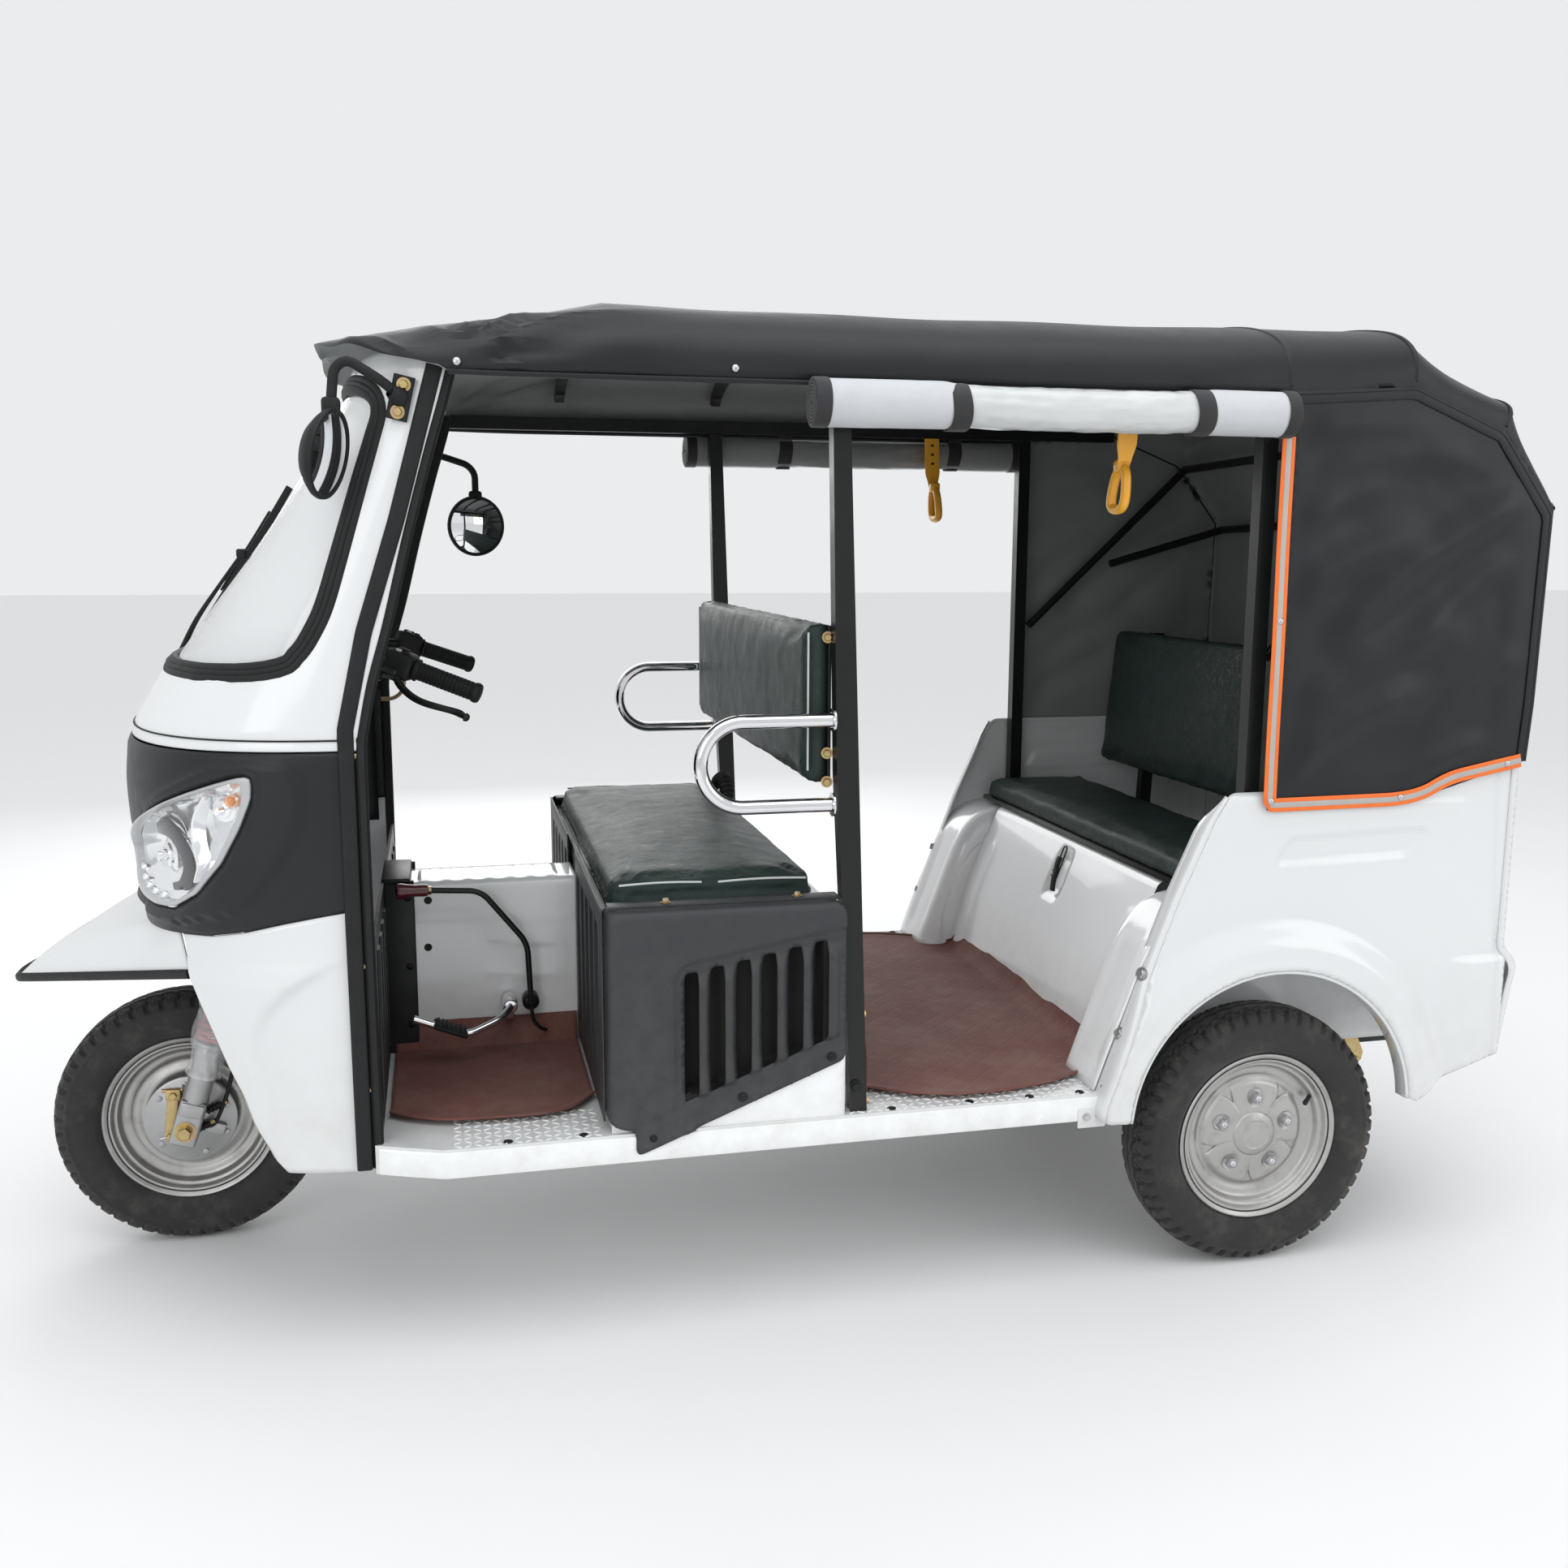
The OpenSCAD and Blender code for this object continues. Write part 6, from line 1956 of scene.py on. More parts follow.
def cushion(name, vf, place, mat, body, replaces, voxel=9.0, cap=7.0, pressure=4.0, post=None):
    """padded piece: remeshed, swelled by cloth pressure with its base held, then creased"""
    o = make(name, vf, mat, body=body, ride=False, smooth=True, recalc=True)
    r = o.modifiers.new("remesh", "REMESH")
    r.mode, r.voxel_size = "VOXEL", voxel / 1000
    bpy.context.view_layer.update()
    dg = bpy.context.evaluated_depsgraph_get()
    me = bpy.data.meshes.new_from_object(o.evaluated_get(dg))
    o.modifiers.clear()
    o.data = me
    co = np.empty(len(me.vertices) * 3)
    me.vertices.foreach_get("co", co)
    rest = co.reshape(-1, 3).copy()
    vg = o.vertex_groups.new(name="held")
    z0, z1 = rest[:, 2].min(), rest[:, 2].max()
    held = np.where(rest[:, 2] < z0 + 0.010)[0]
    vg.add([int(i) for i in held], 1.0, "ADD")
    c = o.modifiers.new("swell", "CLOTH")
    s = c.settings
    s.quality = 4
    s.mass = 0.4
    s.tension_stiffness = s.compression_stiffness = 12
    s.shear_stiffness = 8
    s.bending_stiffness = 0.4
    s.use_pressure = True
    s.uniform_pressure_force = pressure
    s.effector_weights.gravity = 0
    s.vertex_group_mass = "held"
    c.collision_settings.use_collision = False
    c.collision_settings.use_self_collision = False
    c.point_cache.frame_start, c.point_cache.frame_end = 1, 20
    sc = bpy.context.scene
    for fr in range(1, 21):
        sc.frame_set(fr)
    dg = bpy.context.evaluated_depsgraph_get()
    ev = o.evaluated_get(dg)
    em = ev.to_mesh()
    co2 = np.empty(len(em.vertices) * 3)
    em.vertices.foreach_get("co", co2)
    co2 = co2.reshape(-1, 3).copy()
    ev.to_mesh_clear()
    o.modifiers.clear()
    sc.frame_set(1)
    d = co2 - rest
    L = np.linalg.norm(d, axis=1, keepdims=True)
    d = d * np.minimum(1, cap / 1000 / np.maximum(L, 1e-9))
    d = np.nan_to_num(d)
    rest = rest + d
    # millimetre local shape: creases of the film
    loc = rest * 1000
    loc[:, 0] += XM
    me.vertices.foreach_set("co", rest.ravel())
    me.update()
    nv = np.empty(len(me.vertices) * 3)
    me.vertices.foreach_get("normal", nv)
    nv = nv.reshape(-1, 3)
    if post is not None:
        loc = post(loc, nv)
    wv = place(loc)
    me.vertices.foreach_set("co", M(wv).ravel())
    me.update()
    me.polygons.foreach_set("use_smooth", [True] * len(me.polygons))
    if not len(me.materials):
        me.materials.append(mat)
    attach(o, body)
    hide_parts(replaces)
    return o


def film_creases(seed, side_amp=3.2, top_amp=1.2, wave=30.0):
    def post(p, n):
        up = np.abs(n[:, 2])
        a = vnoise(p[:, 0] / 70 + p[:, 2] / 50, p[:, 1] / 70, seed, 3)
        b = vnoise((p[:, 0] + 1.7 * p[:, 2]) / 20, (p[:, 1] - 1.7 * p[:, 2]) / 20, seed + 5, 2)
        side = smooth01((0.75 - up) / 0.5)
        h = side * side_amp * (np.abs(b) * 1.2 - 0.35) + (1 - side) * top_amp * a * 1.4
        h = np.where(n[:, 2] < -0.6, 0, h)
        return p + n * h[:, None]
    return post


ID = lambda p: p
SEAT = cushion("driver_cushion", rounded_slab((876, -524, 765), (1258, 524, 812), 46, 10, 17), ID, SEATM, "chassis", "driver_seat", 9.5, 7.0, 4.0, film_creases(3, 3.6, 1.6))


def back_place(p):
    # pad built flat: local X is up, Y across, Z forward from the back board
    return np.stack([867.5 + p[:, 2], p[:, 1], p[:, 0]], 1)


BACK = cushion("driver_back_pad", rounded_slab((976, -552, 0), (1264, 552, 36), 16, 4, 13), back_place, SEATM, "chassis", "driver_backrest", 9.5, 5.0, 4.0, film_creases(8, 3.0, 1.8))
BENCH = cushion("bench_cushion", rounded_slab((-132, -544, 752), (146, 544, 794), 22, 6, 15), ID, SEATM, "bench_lid", "bench_seat", 9.5, 6.0, 4.0, film_creases(14, 3.4, 2.2))
_a0, _a1 = A(-162, 0, 834), A(-196, 0, 1190)
_ux, _uz = unit(_a1 - _a0), unit(A(1, 0, (196 - 162) / (1190 - 834)))


def bench_back_place(p):
    return (_a0 - _uz * 37)[None] + p[:, 0:1] * _ux + p[:, 1:2] * A(0, 1, 0) + p[:, 2:3] * _uz


BENCHBACK = cushion("bench_back_pad", rounded_slab((4, -534, 0), (354, 534, 34), 26, 5, 13), bench_back_place, SEATM, "chassis", "bench_backrest", 9.5, 5.0, 4.0, film_creases(21, 2.6, 2.0))


def seat_trim():
    # white piping: two runs on the near side of the driver's cushion, one down the back pad's side
    m = Mesh()
    for sg in (1, -1):
        for x0, x1, dz in ((1236, 1090, 1), (1060, 900, 0)):
            xs = np.linspace(x0, x1, 14)
            P = np.stack([xs, np.full(14, sg * 528.5), 806 + 2.5 * np.sin(np.linspace(0, 3.1, 14)) + dz], 1)
            m.add(tube(P, 2.0, 8))
        zs = np.linspace(1004, 1246, 18)
        P = np.stack([np.full(18, 903.0), np.full(18, sg * 549.0), zs], 1)
        m.add(tube(P, 1.9, 8))
    make("seat_piping", m, PIPE)
    # base boards under the cushions
    b = Mesh()
    b.add(rbox((880, -520, 757), (1254, 520, 766), 2.5))
    b.add(rbox((862.5, -555, 984), (868.5, 555, 1258), 2.0))
    make("driver_boards", b, STEEL)
    b = Mesh()
    b.add(rbox((-138, -548, 742.3), (150, 548, 753), 3))
    for sg in (1, -1):
        b.add(lathe([(0.01, -28), (7, -28), (7, 28), (0.01, 28)], A(-146, sg * 380, 742), A(0, 1, 0), 18))
        b.add(rbox((-146, sg * 380 - 26, 741.5), (-120, sg * 380 + 26, 744.5), 1))
    make("bench_board", b, STEEL, body="bench_lid")
    b = Mesh()
    v = rbox((10, -528, -4), (348, 528, 1), 2)
    b.add((bench_back_place(np.asarray(v[0])), v[1]))
    make("bench_back_board", b, STEEL)
    # gold bolts that hold the back pad and rails to the posts
    g = Mesh()
    for sg in (1, -1):
        for z, x in ((1238, 872), (1035, 872), (984, 872)):
            g.add(hexbolt(A(x - 2, sg * 556, z), A(0.2, sg, 0), 12, 8))
        for z in (1240, 1040, 975, 560, 395):
            xx = np.interp(z, [381, 1000, 1661], [798, 830, 844]) - 0.5
            g.add(hexbolt(A(xx, sg * 577, z), A(-1, 0, 0), 11, 6))
    make("seat_bolts", g, GOLD)


seat_trim()


def bellows():
    """ribbed rubber boot behind the driver's cushion, far side"""
    m = Mesh()
    P = catmull(np.array([(872, -330, 792), (868, -390, 826), (866, -440, 834), (868, -500, 816), (874, -528, 796)]), 8)
    P = resample(P, 4.0)
    sc = 1.0 + 0.16 * np.sin(np.arange(len(P)) * 2 * np.pi / 4.0)
    env = np.interp(np.linspace(0, 1, len(P)), [0, 0.15, 0.5, 0.85, 1], [0.7, 1, 1.1, 1, 0.6])
    m.add(sweep(P, circle(15, 16), False, scale=sc * env))
    make("cable_boot", m, RUBBER, angle=60)


bellows()


# ------------------------------------------------------------------ floor
NEAR = np.array([(280, 450), (336, 506), (412, 545), (522, 573), (619, 575), (698, 551), (776, 500)], float)


def mats():
    flat = []
    # rear mat: lies on the floor and climbs the bench front to z 548
    na, nb = 50, 60
    rows = []
    s = np.linspace(0, 1, nb)
    # path forward to back: on the floor from X 776 to 288, round the corner, then up the sloping panel
    base = np.array([(776, 385.6), (500, 385.4), (330, 385.4), (292, 388), (274, 402), (262, 432), (221, 548)], float)
    path = resample(np.vstack([base[:2], catmull(base[1:], 8)]), 11.0)
    d = np.r_[0, np.cumsum(np.linalg.norm(np.diff(path, axis=0), axis=1))]
    for x, z in path:
        if z < 387:
            half = float(np.interp(x, NEAR[:, 0], NEAR[:, 1]))
        else:
            half = float(np.interp(z, [387, 400, 430, 548], [450, 412, 404, 408]))
        y = np.linspace(half, -half, na)
        wob = 1.3 * vnoise(np.full(na, x / 110), y / 110, 77, 3) + 0.7
        lift = 5.0 * smooth01((np.abs(y) - half + 26) / 26) * (1.0 if z < 387 else 0.4)
        n = A(0, 0, 1) if z < 387 else unit(A(1, 0, 0.35))
        rows.append(np.stack([np.full(na, x) + n[0] * (wob + lift), y, np.full(na, z) + n[2] * (wob + lift)], 1))
    P = np.array(rows)
    o = make("mat_rear", grid(P, flip=False), MATM, replaces="floor_mats", thick=2.6, thick_off=1, angle=60)
    flat.append((o, P))
    hem = Mesh()
    for e in (P[:, 0], P[:, -1], P[-1]):
        hem.add(sweep(resample(e, 14), rrect(7, 4.5, 2), False, A(0.2, 0, 1)))
    make("mat_rear_binding", hem, MATM)
    # front mats, one each side of the tunnel, with a free rounded outer edge
    fe = np.array([(1274, 420), (1325, 486), (1385, 506), (1528, 500), (1600, 470), (1640, 440)], float)
    for sg, nm in ((1, "left"), (-1, "right")):
        xs = np.linspace(1276, 1640, 44)
        half = np.interp(xs, fe[:, 0], fe[:, 1])
        half = spline(xs, fe[:, 0], fe[:, 1])
        rows = []
        for x, h in zip(xs, half):
            y = np.linspace(84, h, 50)
            wob = 1.3 * vnoise(np.full(50, x / 100 + 4), y / 100 + sg, 83, 3) + 0.9
            lift = 7.0 * smooth01((y - h + 34) / 34)
            up = 55 * np.clip((100 - y) / 16, 0, 1)**1.6        # turned up a little against the tunnel
            rows.append(np.stack([np.full(50, x), sg * y, 385.5 + wob + lift + up], 1))
        Q = np.array(rows)
        o = make(f"mat_front_{nm}", grid(Q, flip=sg < 0), MATM, thick=2.6, thick_off=1, angle=60)
        flat.append((o, Q))
        make(f"mat_front_binding_{nm}", sweep(resample(Q[:, -1], 8), rrect(7, 4.5, 2), False, A(0, 0, 1)), MATM)
    # loose flap turned up behind the engine box
    Pf = np.array([[(783 - 6 * v, 540 - 300 * u - 120 * v * (1 - u), 392 + (150 - 60 * u) * v + 2) for v in np.linspace(0, 1, 16)] for u in np.linspace(0, 1, 20)])
    bend = np.sin(np.linspace(0, 1, 16) * np.pi)[None] * 12
    Pf[..., 0] -= bend
    o = make("mat_flap", grid(Pf), MATM, thick=2.6, thick_off=1, angle=60)
    flat.append((o, Pf))
    for o, P in flat:
        P = np.asarray(P)


mats()


def floor_detail():
    # raised lozenges of the chequered floor along both doorways
    m = Mesh()
    for sg in (1, -1):
        for i, x in enumerate(np.arange(300, 1540, 17.0)):
            if 836 < x < 1270:
                continue
            for j, yb in enumerate((598, 581, 564, 547, 530, 513, 496, 479)):
                yy = yb - 4
                if yy > 600 - max(0, (x - 1520)) * 0.4:
                    continue
                a = math.radians(35 if (i + j) % 2 else -35)
                c, s = math.cos(a), math.sin(a)
                q = [(-9, 0), (0, -2.4), (9, 0), (0, 2.4)]
                top = [(x + c * u * 0.6 - s * v * 0.5, sg * (yy + s * u * 0.6 + c * v * 0.5), 381.6) for u, v in q]
                bot = [(x + c * u - s * v, sg * (yy + s * u + c * v), 380.1) for u, v in q]
                v8 = np.array(bot + top)
                m.add((v8, [(4, 5, 6, 7), (0, 1, 5, 4), (1, 2, 6, 5), (2, 3, 7, 6), (3, 0, 4, 7)]))
    make("floor_lozenges", m, WHITE_LIT_INSIDE, smooth=False)
    b = Mesh()
    for sg in (1, -1):
        for x in (1310, 750, 600, 481, 380, 1440):
            b.add(dome(A(x, sg * 589, 380.2), A(0, 0, 1), 8.5, 3.2))
        b.add(hexbolt(A(820, sg * 592, 430), A(0, sg, 0), 13, 6))
        b.add(hexbolt(A(336, sg * 603, 392), A(0, sg, 0), 10, 4))
    make("floor_plugs", b, RUBBER)
    # folded sill lip with a soft lower edge
    for sg, nm in ((1, "left"), (-1, "right")):
        P = np.array([(300, sg * 603.5, 352), (800, sg * 603.5, 352), (1546, sg * 603.5, 352)])
        P = resample(np.vstack([P, [(1600, sg * 583, 352), (1655, sg * 560, 352)]]), 12)
        q = [(-23, -1.5), (-23, 1.0), (-19, 2.6), (19, 2.6), (23, 0.6), (23, -1.5)]
        T, S_, N_ = frames(P, False, A(0, 0, 1))
        side = unit(np.cross(T, A(0, 0, 1))) * 1.0
        side *= np.sign((side * A(0, sg, 0)).sum(1, keepdims=True))
        make(f"sill_face_{nm}", sweep(P, q, False, side), WHITE_LIT_INSIDE, angle=40)


floor_detail()


# ------------------------------------------------------------------ bench base, wheel boxes, tunnel, bulkhead
def bench_front():
    na, nb = 120, 60
    ys = np.linspace(-430, 430, na)
    s = np.linspace(0, 1, nb)
    base = catmull(np.array([(276, 381), (254, 470), (226, 560), (182, 668), (160, 718), (150, 736), (128, 741)], float), 10)
    base = resample(base, 9.5)
    T = unit(np.gradient(base, axis=0))
    Nn = np.stack([T[:, 1], -T[:, 0]], 1)
    Nn *= np.sign(Nn[:, :1])
    Y, I = np.meshgrid(ys, np.arange(len(base)), indexing="ij")
    X, Z = base[I, 0], base[I, 1]
    h = np.zeros_like(X)
    rec = fillet(np.array([(-24, 618), (58, 618), (44, 716), (-14, 716)], float), 12, 5, True)
    d = dist_line(Y, Z, rec)
    sd = np.where(in_poly(Y, Z, rec), d, -d)
    h -= 13 * smooth01((sd + 5) / 12)
    h += 5 * smooth01((np.abs(Y) - 350) / 60) * smooth01((690 - Z) / 60)
    P = np.stack([X + Nn[I, 0] * h, Y, Z + Nn[I, 1] * h], -1)
    m = Mesh()
    m.add(grid(P))
    m.add(rbox((-511, -428, 560), (140, 428, 565), 2))
    make("bench_front", m, WHITE_LIT_INSIDE, replaces="bench_base", angle=50)
    # rubber pull latch with wire loop in the recess
    k = Mesh()
    o, up, out = A(176, 18, 690), unit(A(-0.35, 0, 1)), unit(A(1, 0, 0.35))
    loop = [o + A(0, dy, 0) + up * u + out * 3 for dy, u in ((-8, -34), (-9, 26), (-6, 36), (0, 39), (6, 36), (9, 26), (8, -34))]
    k.add(tube(catmull(np.array(loop), 6), 1.8, 8), 1)
    prof = [o + up * u + out * w for u, w in ((-66, -2), (-48, 3), (-20, 7), (0, 9), (12, 8))]
    k.add(sweep(catmull(np.array(prof), 6), rrect(17, 8, 3.5), False, out), 0)
    for u in (-34, -22, -10):
        k.add(sweep(np.array([o + A(0, -9, 0) + up * u + out * 9, o + A(0, 9, 0) + up * u + out * 9]), rrect(4, 4, 1.8), False, out), 0)
    make("bench_latch", k, [RUBBER, STEEL])


def wheel_box(sg, nm):
    LID = np.array([(-511, 640), (-200, 690), (60, 727), (112, 731), (166, 726), (212, 702), (246, 658), (272, 600), (296, 535), (324, 460), (352, 381)], float)
    path = resample(catmull(LID, 8), 16.0)
    T = unit(np.gradient(path, axis=0))
    Nn = np.stack([-T[:, 1], T[:, 0]], 1)
    Nn *= np.sign((Nn @ A(0.5, 1)))[:, None]
    # across: outer edge, flat, rounded shoulder, then the wall down
    prof = [(592, 0.0)] + [(y, 0.0) for y in np.linspace(584, 478, 10)]
    for t in np.linspace(0, 90, 9)[1:]:
        prof.append((474 - 40 * math.sin(math.radians(t)), -40 * (1 - math.cos(math.radians(t)))))
    prof += [(433.5, -70), (432.5, -110), (431.5, -160)]
    prof = np.array(prof)
    rows = []
    for (x, z), n in zip(path, Nn):
        r_ = []
        for y, h in prof:
            hh = h
            px, pz = x + n[0] * hh, z + n[1] * hh
            r_.append((px, sg * y, max(pz, 381)))
        rows.append(r_)
    P = np.array(rows)
    Y, Z, X = np.abs(P[..., 1]), P[..., 2], P[..., 0]
    # soft pressed panel on the front face
    f = smooth01((X - 225) / 40) * smooth01((Y - 468) / 16) * smooth01((576 - Y) / 12) * smooth01((Z - 400) / 30)
    P[..., 0] -= 6 * f
    m = Mesh()
    m.add(grid(P, flip=sg > 0))
    # the rest of the inner wall below the shoulder
    xs = np.linspace(-511, 300, 60)
    wall = []
    for x in xs:
        ztop = float(np.interp(x, LID[:, 0], LID[:, 1])) - 60
        wall.append([(x, sg * 431.5, z) for z in np.linspace(max(382, ztop), 381.0, 14)])
    m.add(grid(np.array(wall), flip=sg > 0))
    make(f"wheel_box_{nm}", m, WHITE_LIT_INSIDE, replaces="wheel_boxes" if sg > 0 else (), thick=3, thick_off=-1, angle=50)


def tunnel():
    prof = fillet(np.array([(78, 381), (78, 725), (-78, 725), (-78, 381)], float), [0, 16, 16, 0], 7)
    prof = resample(prof, 12.0)
    xs = np.linspace(1272, 1607, 66)
    T = unit(np.gradient(prof, axis=0))
    Nn = np.stack([T[:, 1], -T[:, 0]], 1)
    if Nn[5, 0] < 0:
        Nn = -Nn
    X, I = np.meshgrid(xs, np.arange(len(prof)), indexing="ij")
    Y, Z = prof[I, 0], prof[I, 1]
    h = np.zeros_like(X)
    top = Z > 722
    for xc in (1320, 1362, 1404, 1446, 1488, 1530, 1572):
        h += np.where(top, 3.2 * smooth01((12 - np.abs(X - xc)) / 4) * smooth01((58 - np.abs(Y)) / 8), 0)
    for x0, z0, x1, z1 in ((1449, 608, 1300, 592), (1451, 533, 1300, 520), (1590, 660, 1280, 648)):
        d = dist_line(X, Z, np.array([(x0, z0), (x1, z1)], float), False)
        h += np.where(~top, 3.0 * np.exp(-(d / 6.5)**2), 0)
    P = np.stack([X, Y + Nn[I, 0] * h, Z + Nn[I, 1] * h], -1)
    make("tunnel_shell", grid(P), WHITE_LIT_INSIDE, replaces="centre_tunnel", thick=3, thick_off=-1, angle=50)
    b = Mesh()
    for sg in (1, -1):
        for x, z in ((1567, 690), (1570, 593)):
            b.add(lathe([(8, 0.2), (7.5, 1.2), (5, 0.8), (0.01, 0.6)], A(x, sg * 78, z), A(0, sg, 0), 18))
    make("tunnel_plugs", b, RUBBER)


def bulkhead_detail():
    m = Mesh()
    for sg in (1, -1):
        # flange that frames the tunnel's front end, with dome bolts
        P = np.array([(1622, sg * 90, 383), (1622, sg * 90, 735)])
        m.add(sweep(resample(P, 10), rrect(58, 7, 3), False, np.tile(A(0, sg, 0), (len(resample(P, 10)), 1))), 0)
        for z in (440, 560, 700):
            m.add(dome(A(1606, sg * 94, z), A(0, sg, 0), 7, 4), 1)
        # pressed ribs on the leg shield
        for y in (180, 270, 360, 450):
            Q = np.array([(1649, sg * y, 430), (1649, sg * y, 700)])
            m.add(sweep(resample(Q, 12), rrect(34, 7, 3.3), False, A(-1, 0, 0)), 0)
    m.add(rbox((1600, -96, 729), (1656, 96, 740), 4), 0)
    make("bulkhead_flanges", m, [CHAR, RUBBER], angle=45)


bench_front()
wheel_box(1, "left")
wheel_box(-1, "right")
tunnel()
bulkhead_detail()


# ------------------------------------------------------------------ rolled curtains
def curtain(sg, nm):
    x0, x1, yc, zc, r0 = 50.0, 921.0, 637.0, 1626.0, 38.5
    # parts from the front end: black end, cloth, strap, clear film, strap, cloth, black end
    xs = np.linspace(x1, x0, 150)
    th = np.linspace(0, 2 * np.pi, 46, endpoint=False)
    Xg, Tg = np.meshgrid(xs, th, indexing="ij")
    film = smooth01((Xg - 236) / 16) * smooth01((668 - Xg) / 16)
    wr = vnoise(Xg / 60 + 3 * sg, Tg * 1.6, 91, 3)
    long_ = vnoise(Xg / 240, Tg * 3.2, 95, 2)
    R = r0 + (1 - film) * (0.8 * wr + 0.6) + film * (-4.5 + 3.4 * np.abs(wr) + 2.6 * np.abs(long_))
    pinch = np.exp(-((Xg - 674) / 15)**2) + np.exp(-((Xg - 230) / 15)**2)
    R = R - 3.0 * pinch
    sag = -3.0 * np.sin(np.pi * np.clip((Xg - 230) / 444, 0, 1))
    Y = yc + R * np.cos(Tg) * 0.98
    Z = zc + R * np.sin(Tg) + sag
    P = np.stack([Xg, sg * Y, Z], -1)
    v, f = grid(P, cj=True, flip=sg > 0)
    fc = np.asarray(v)[np.array(f)].mean(1)
    # faces on the inboard side of the roll take the darker lining grey instead of the white cloth and film: painted
    # shade for the side turned into the cab
    inner = (np.abs(fc[:, 1]) < yc - 12)
    fi = np.where(inner, 2, np.where((fc[:, 0] > 243) & (fc[:, 0] < 660), 1, 0))
    m = Mesh()
    for k in range(3):
        sel = [q for q, a in zip(f, fi) if a == k]
        m.add((v, sel), k)
    o = make(f"curtain_roll_{nm}", m, [CLOTHW, FILMROLL, LINING], merge=0.01, replaces="curtain_rolls" if sg > 0 else (), angle=70)
    # black bound ends with the spiral of the rolled layers
    e = Mesh()
    for xe, d in ((x1, 1), (x0, -1)):
        e.add(lathe([(r0 + 1.6, -24), (r0 + 2.4, -22), (r0 + 2.2, 0.5), (r0 - 2, 1.5)], A(xe, sg * yc, zc), A(d, 0, 0), 48))
        t = np.linspace(0, 2 * np.pi * 6, 150)
        rr = np.linspace(4, r0 - 1, 150)
        Q = np.stack([np.full(150, xe + d * 1.0) - 0.6 * d * np.abs(np.sin(t / 2)), sg * (yc + rr * np.cos(t)), zc + rr * np.sin(t)], 1)
        e.add(sweep(Q, [(-2.6, -1.5), (-1.6, 1.5), (1.6, 1.5), (2.6, -1.5)], False, A(d, 0, 0)))
        e.add(lathe([(r0 - 1, -0.6), (0.01, -0.6)], A(xe, sg * yc, zc), A(d, 0, 0), 40))
    # a strap round the roll at each end of the film
    for xs_ in (674, 230):
        a = np.linspace(-0.6 * np.pi, 1.25 * np.pi, 50)
        Q = np.stack([np.full(50, xs_) + 2 * np.sin(a * 2), sg * (yc + (r0 - 0.5) * np.cos(a)), zc + (r0 - 0.5) * np.sin(a) - (3.0 if xs_ > 300 else 1.0)], 1)
        Nn = np.stack([np.zeros(50), sg * np.cos(a), np.sin(a)], 1)
        e.add(sweep(Q, rrect(34, 2.4, 1.1), False, Nn))
        # strap's tail up to the rail
        Q = np.array([(xs_, sg * (yc - 26), zc + 30), (xs_, sg * (yc - 44), zc + 40), (xs_, sg * (yc - 50), zc + 46)])
        e.add(sweep(catmull(Q, 5), rrect(34, 2.4, 1.1), False, A(0, sg, 0.4)))
    make(f"curtain_straps_{nm}", e, CLOTHB, angle=50)


FILMROLL = vinyl("curtain_film_rolled", "curtain_film", (0.50, 0.52, 0.52), (0.66, 0.67, 0.67), (0.04, 0.14), 0.0, 0.30)
curtain(1, "left")
curtain(-1, "right")


# ------------------------------------------------------------------ grab handles, arm rails
def grabs():
    for sg, nm in ((1, "left"), (-1, "right")):
        m = Mesh()
        P = catmull(np.array([(312, 546, 1660), (312, 541, 1610), (312, 533, 1560), (312, 524, 1536)]), 8)
        sc = np.interp(np.linspace(0, 1, len(P)), [0, 0.55, 0.72, 1], [1, 1, 0.72, 0.62])
        P[:, 1] *= sg
        m.add(sweep(P, rrect(38, 6, 2.6), False, A(0, sg, 0.1), scale=sc), 0)
        # hanging ring
        L = np.array([(-12, 34), (-34, 22), (-46, 2), (-50, -22), (-38, -36), (0, -40), (38, -36), (50, -22), (46, 2), (34, 22), (12, 34)], float)
        Q = np.stack([312 + 0 * L[:, 0], sg * (506 + 0.55 * L[:, 0]), 1502 + L[:, 1]], 1)
        Q[:, 1] += sg * 16 * (Q[:, 2] - 1462) / 80
        m.add(tube(catmull(Q, 6, True), 9.0, 14, True), 0)
        m.add(rbox((300, min(sg * 505, sg * 532), 1528), (324, max(sg * 505, sg * 532), 1552), 7, 3), 0)
        for z in (1642, 1620, 1598):
            y = float(np.interp(z, [1560, 1610, 1660], [533, 541, 546]))
            for d in (1, -1):
                m.add(lathe([(4.6, 2.2), (4.2, 3.4), (2.0, 3.2), (0.01, 3.1)], A(312, sg * y, z), A(0, d * sg, 0.12 * d), 14), 1)
        make(f"grab_strap_{nm}", m, [YELLOW, RUBBER], replaces="grab_handles" if sg > 0 else (), angle=45)


def arm_rails():
    for sg, nm in ((1, "left"), (-1, "right")):
        a = np.radians(np.linspace(90, -90, 33))
        F = np.vstack([[(864, 1096)], np.stack([1025 + 74.5 * np.cos(a), 1021.5 + 74.5 * np.sin(a)], 1), [(864, 947)]])
        Q = np.stack([F[:, 0], np.full(len(F), sg * 580.0), F[:, 1]], 1)
        m = Mesh()
        m.add(tube(resample(Q, 7), 12.5, 24), 0)
        for z in (1096, 947):
            m.add(lathe([(0.01, 0), (21, 0), (21, 3), (14, 4.5)], A(864, sg * 580, z), A(1, 0, 0), 24), 0)
        make(f"arm_rail_{nm}", m, CHROME, replaces="armrests" if sg > 0 else (), angle=40)


grabs()
arm_rails()


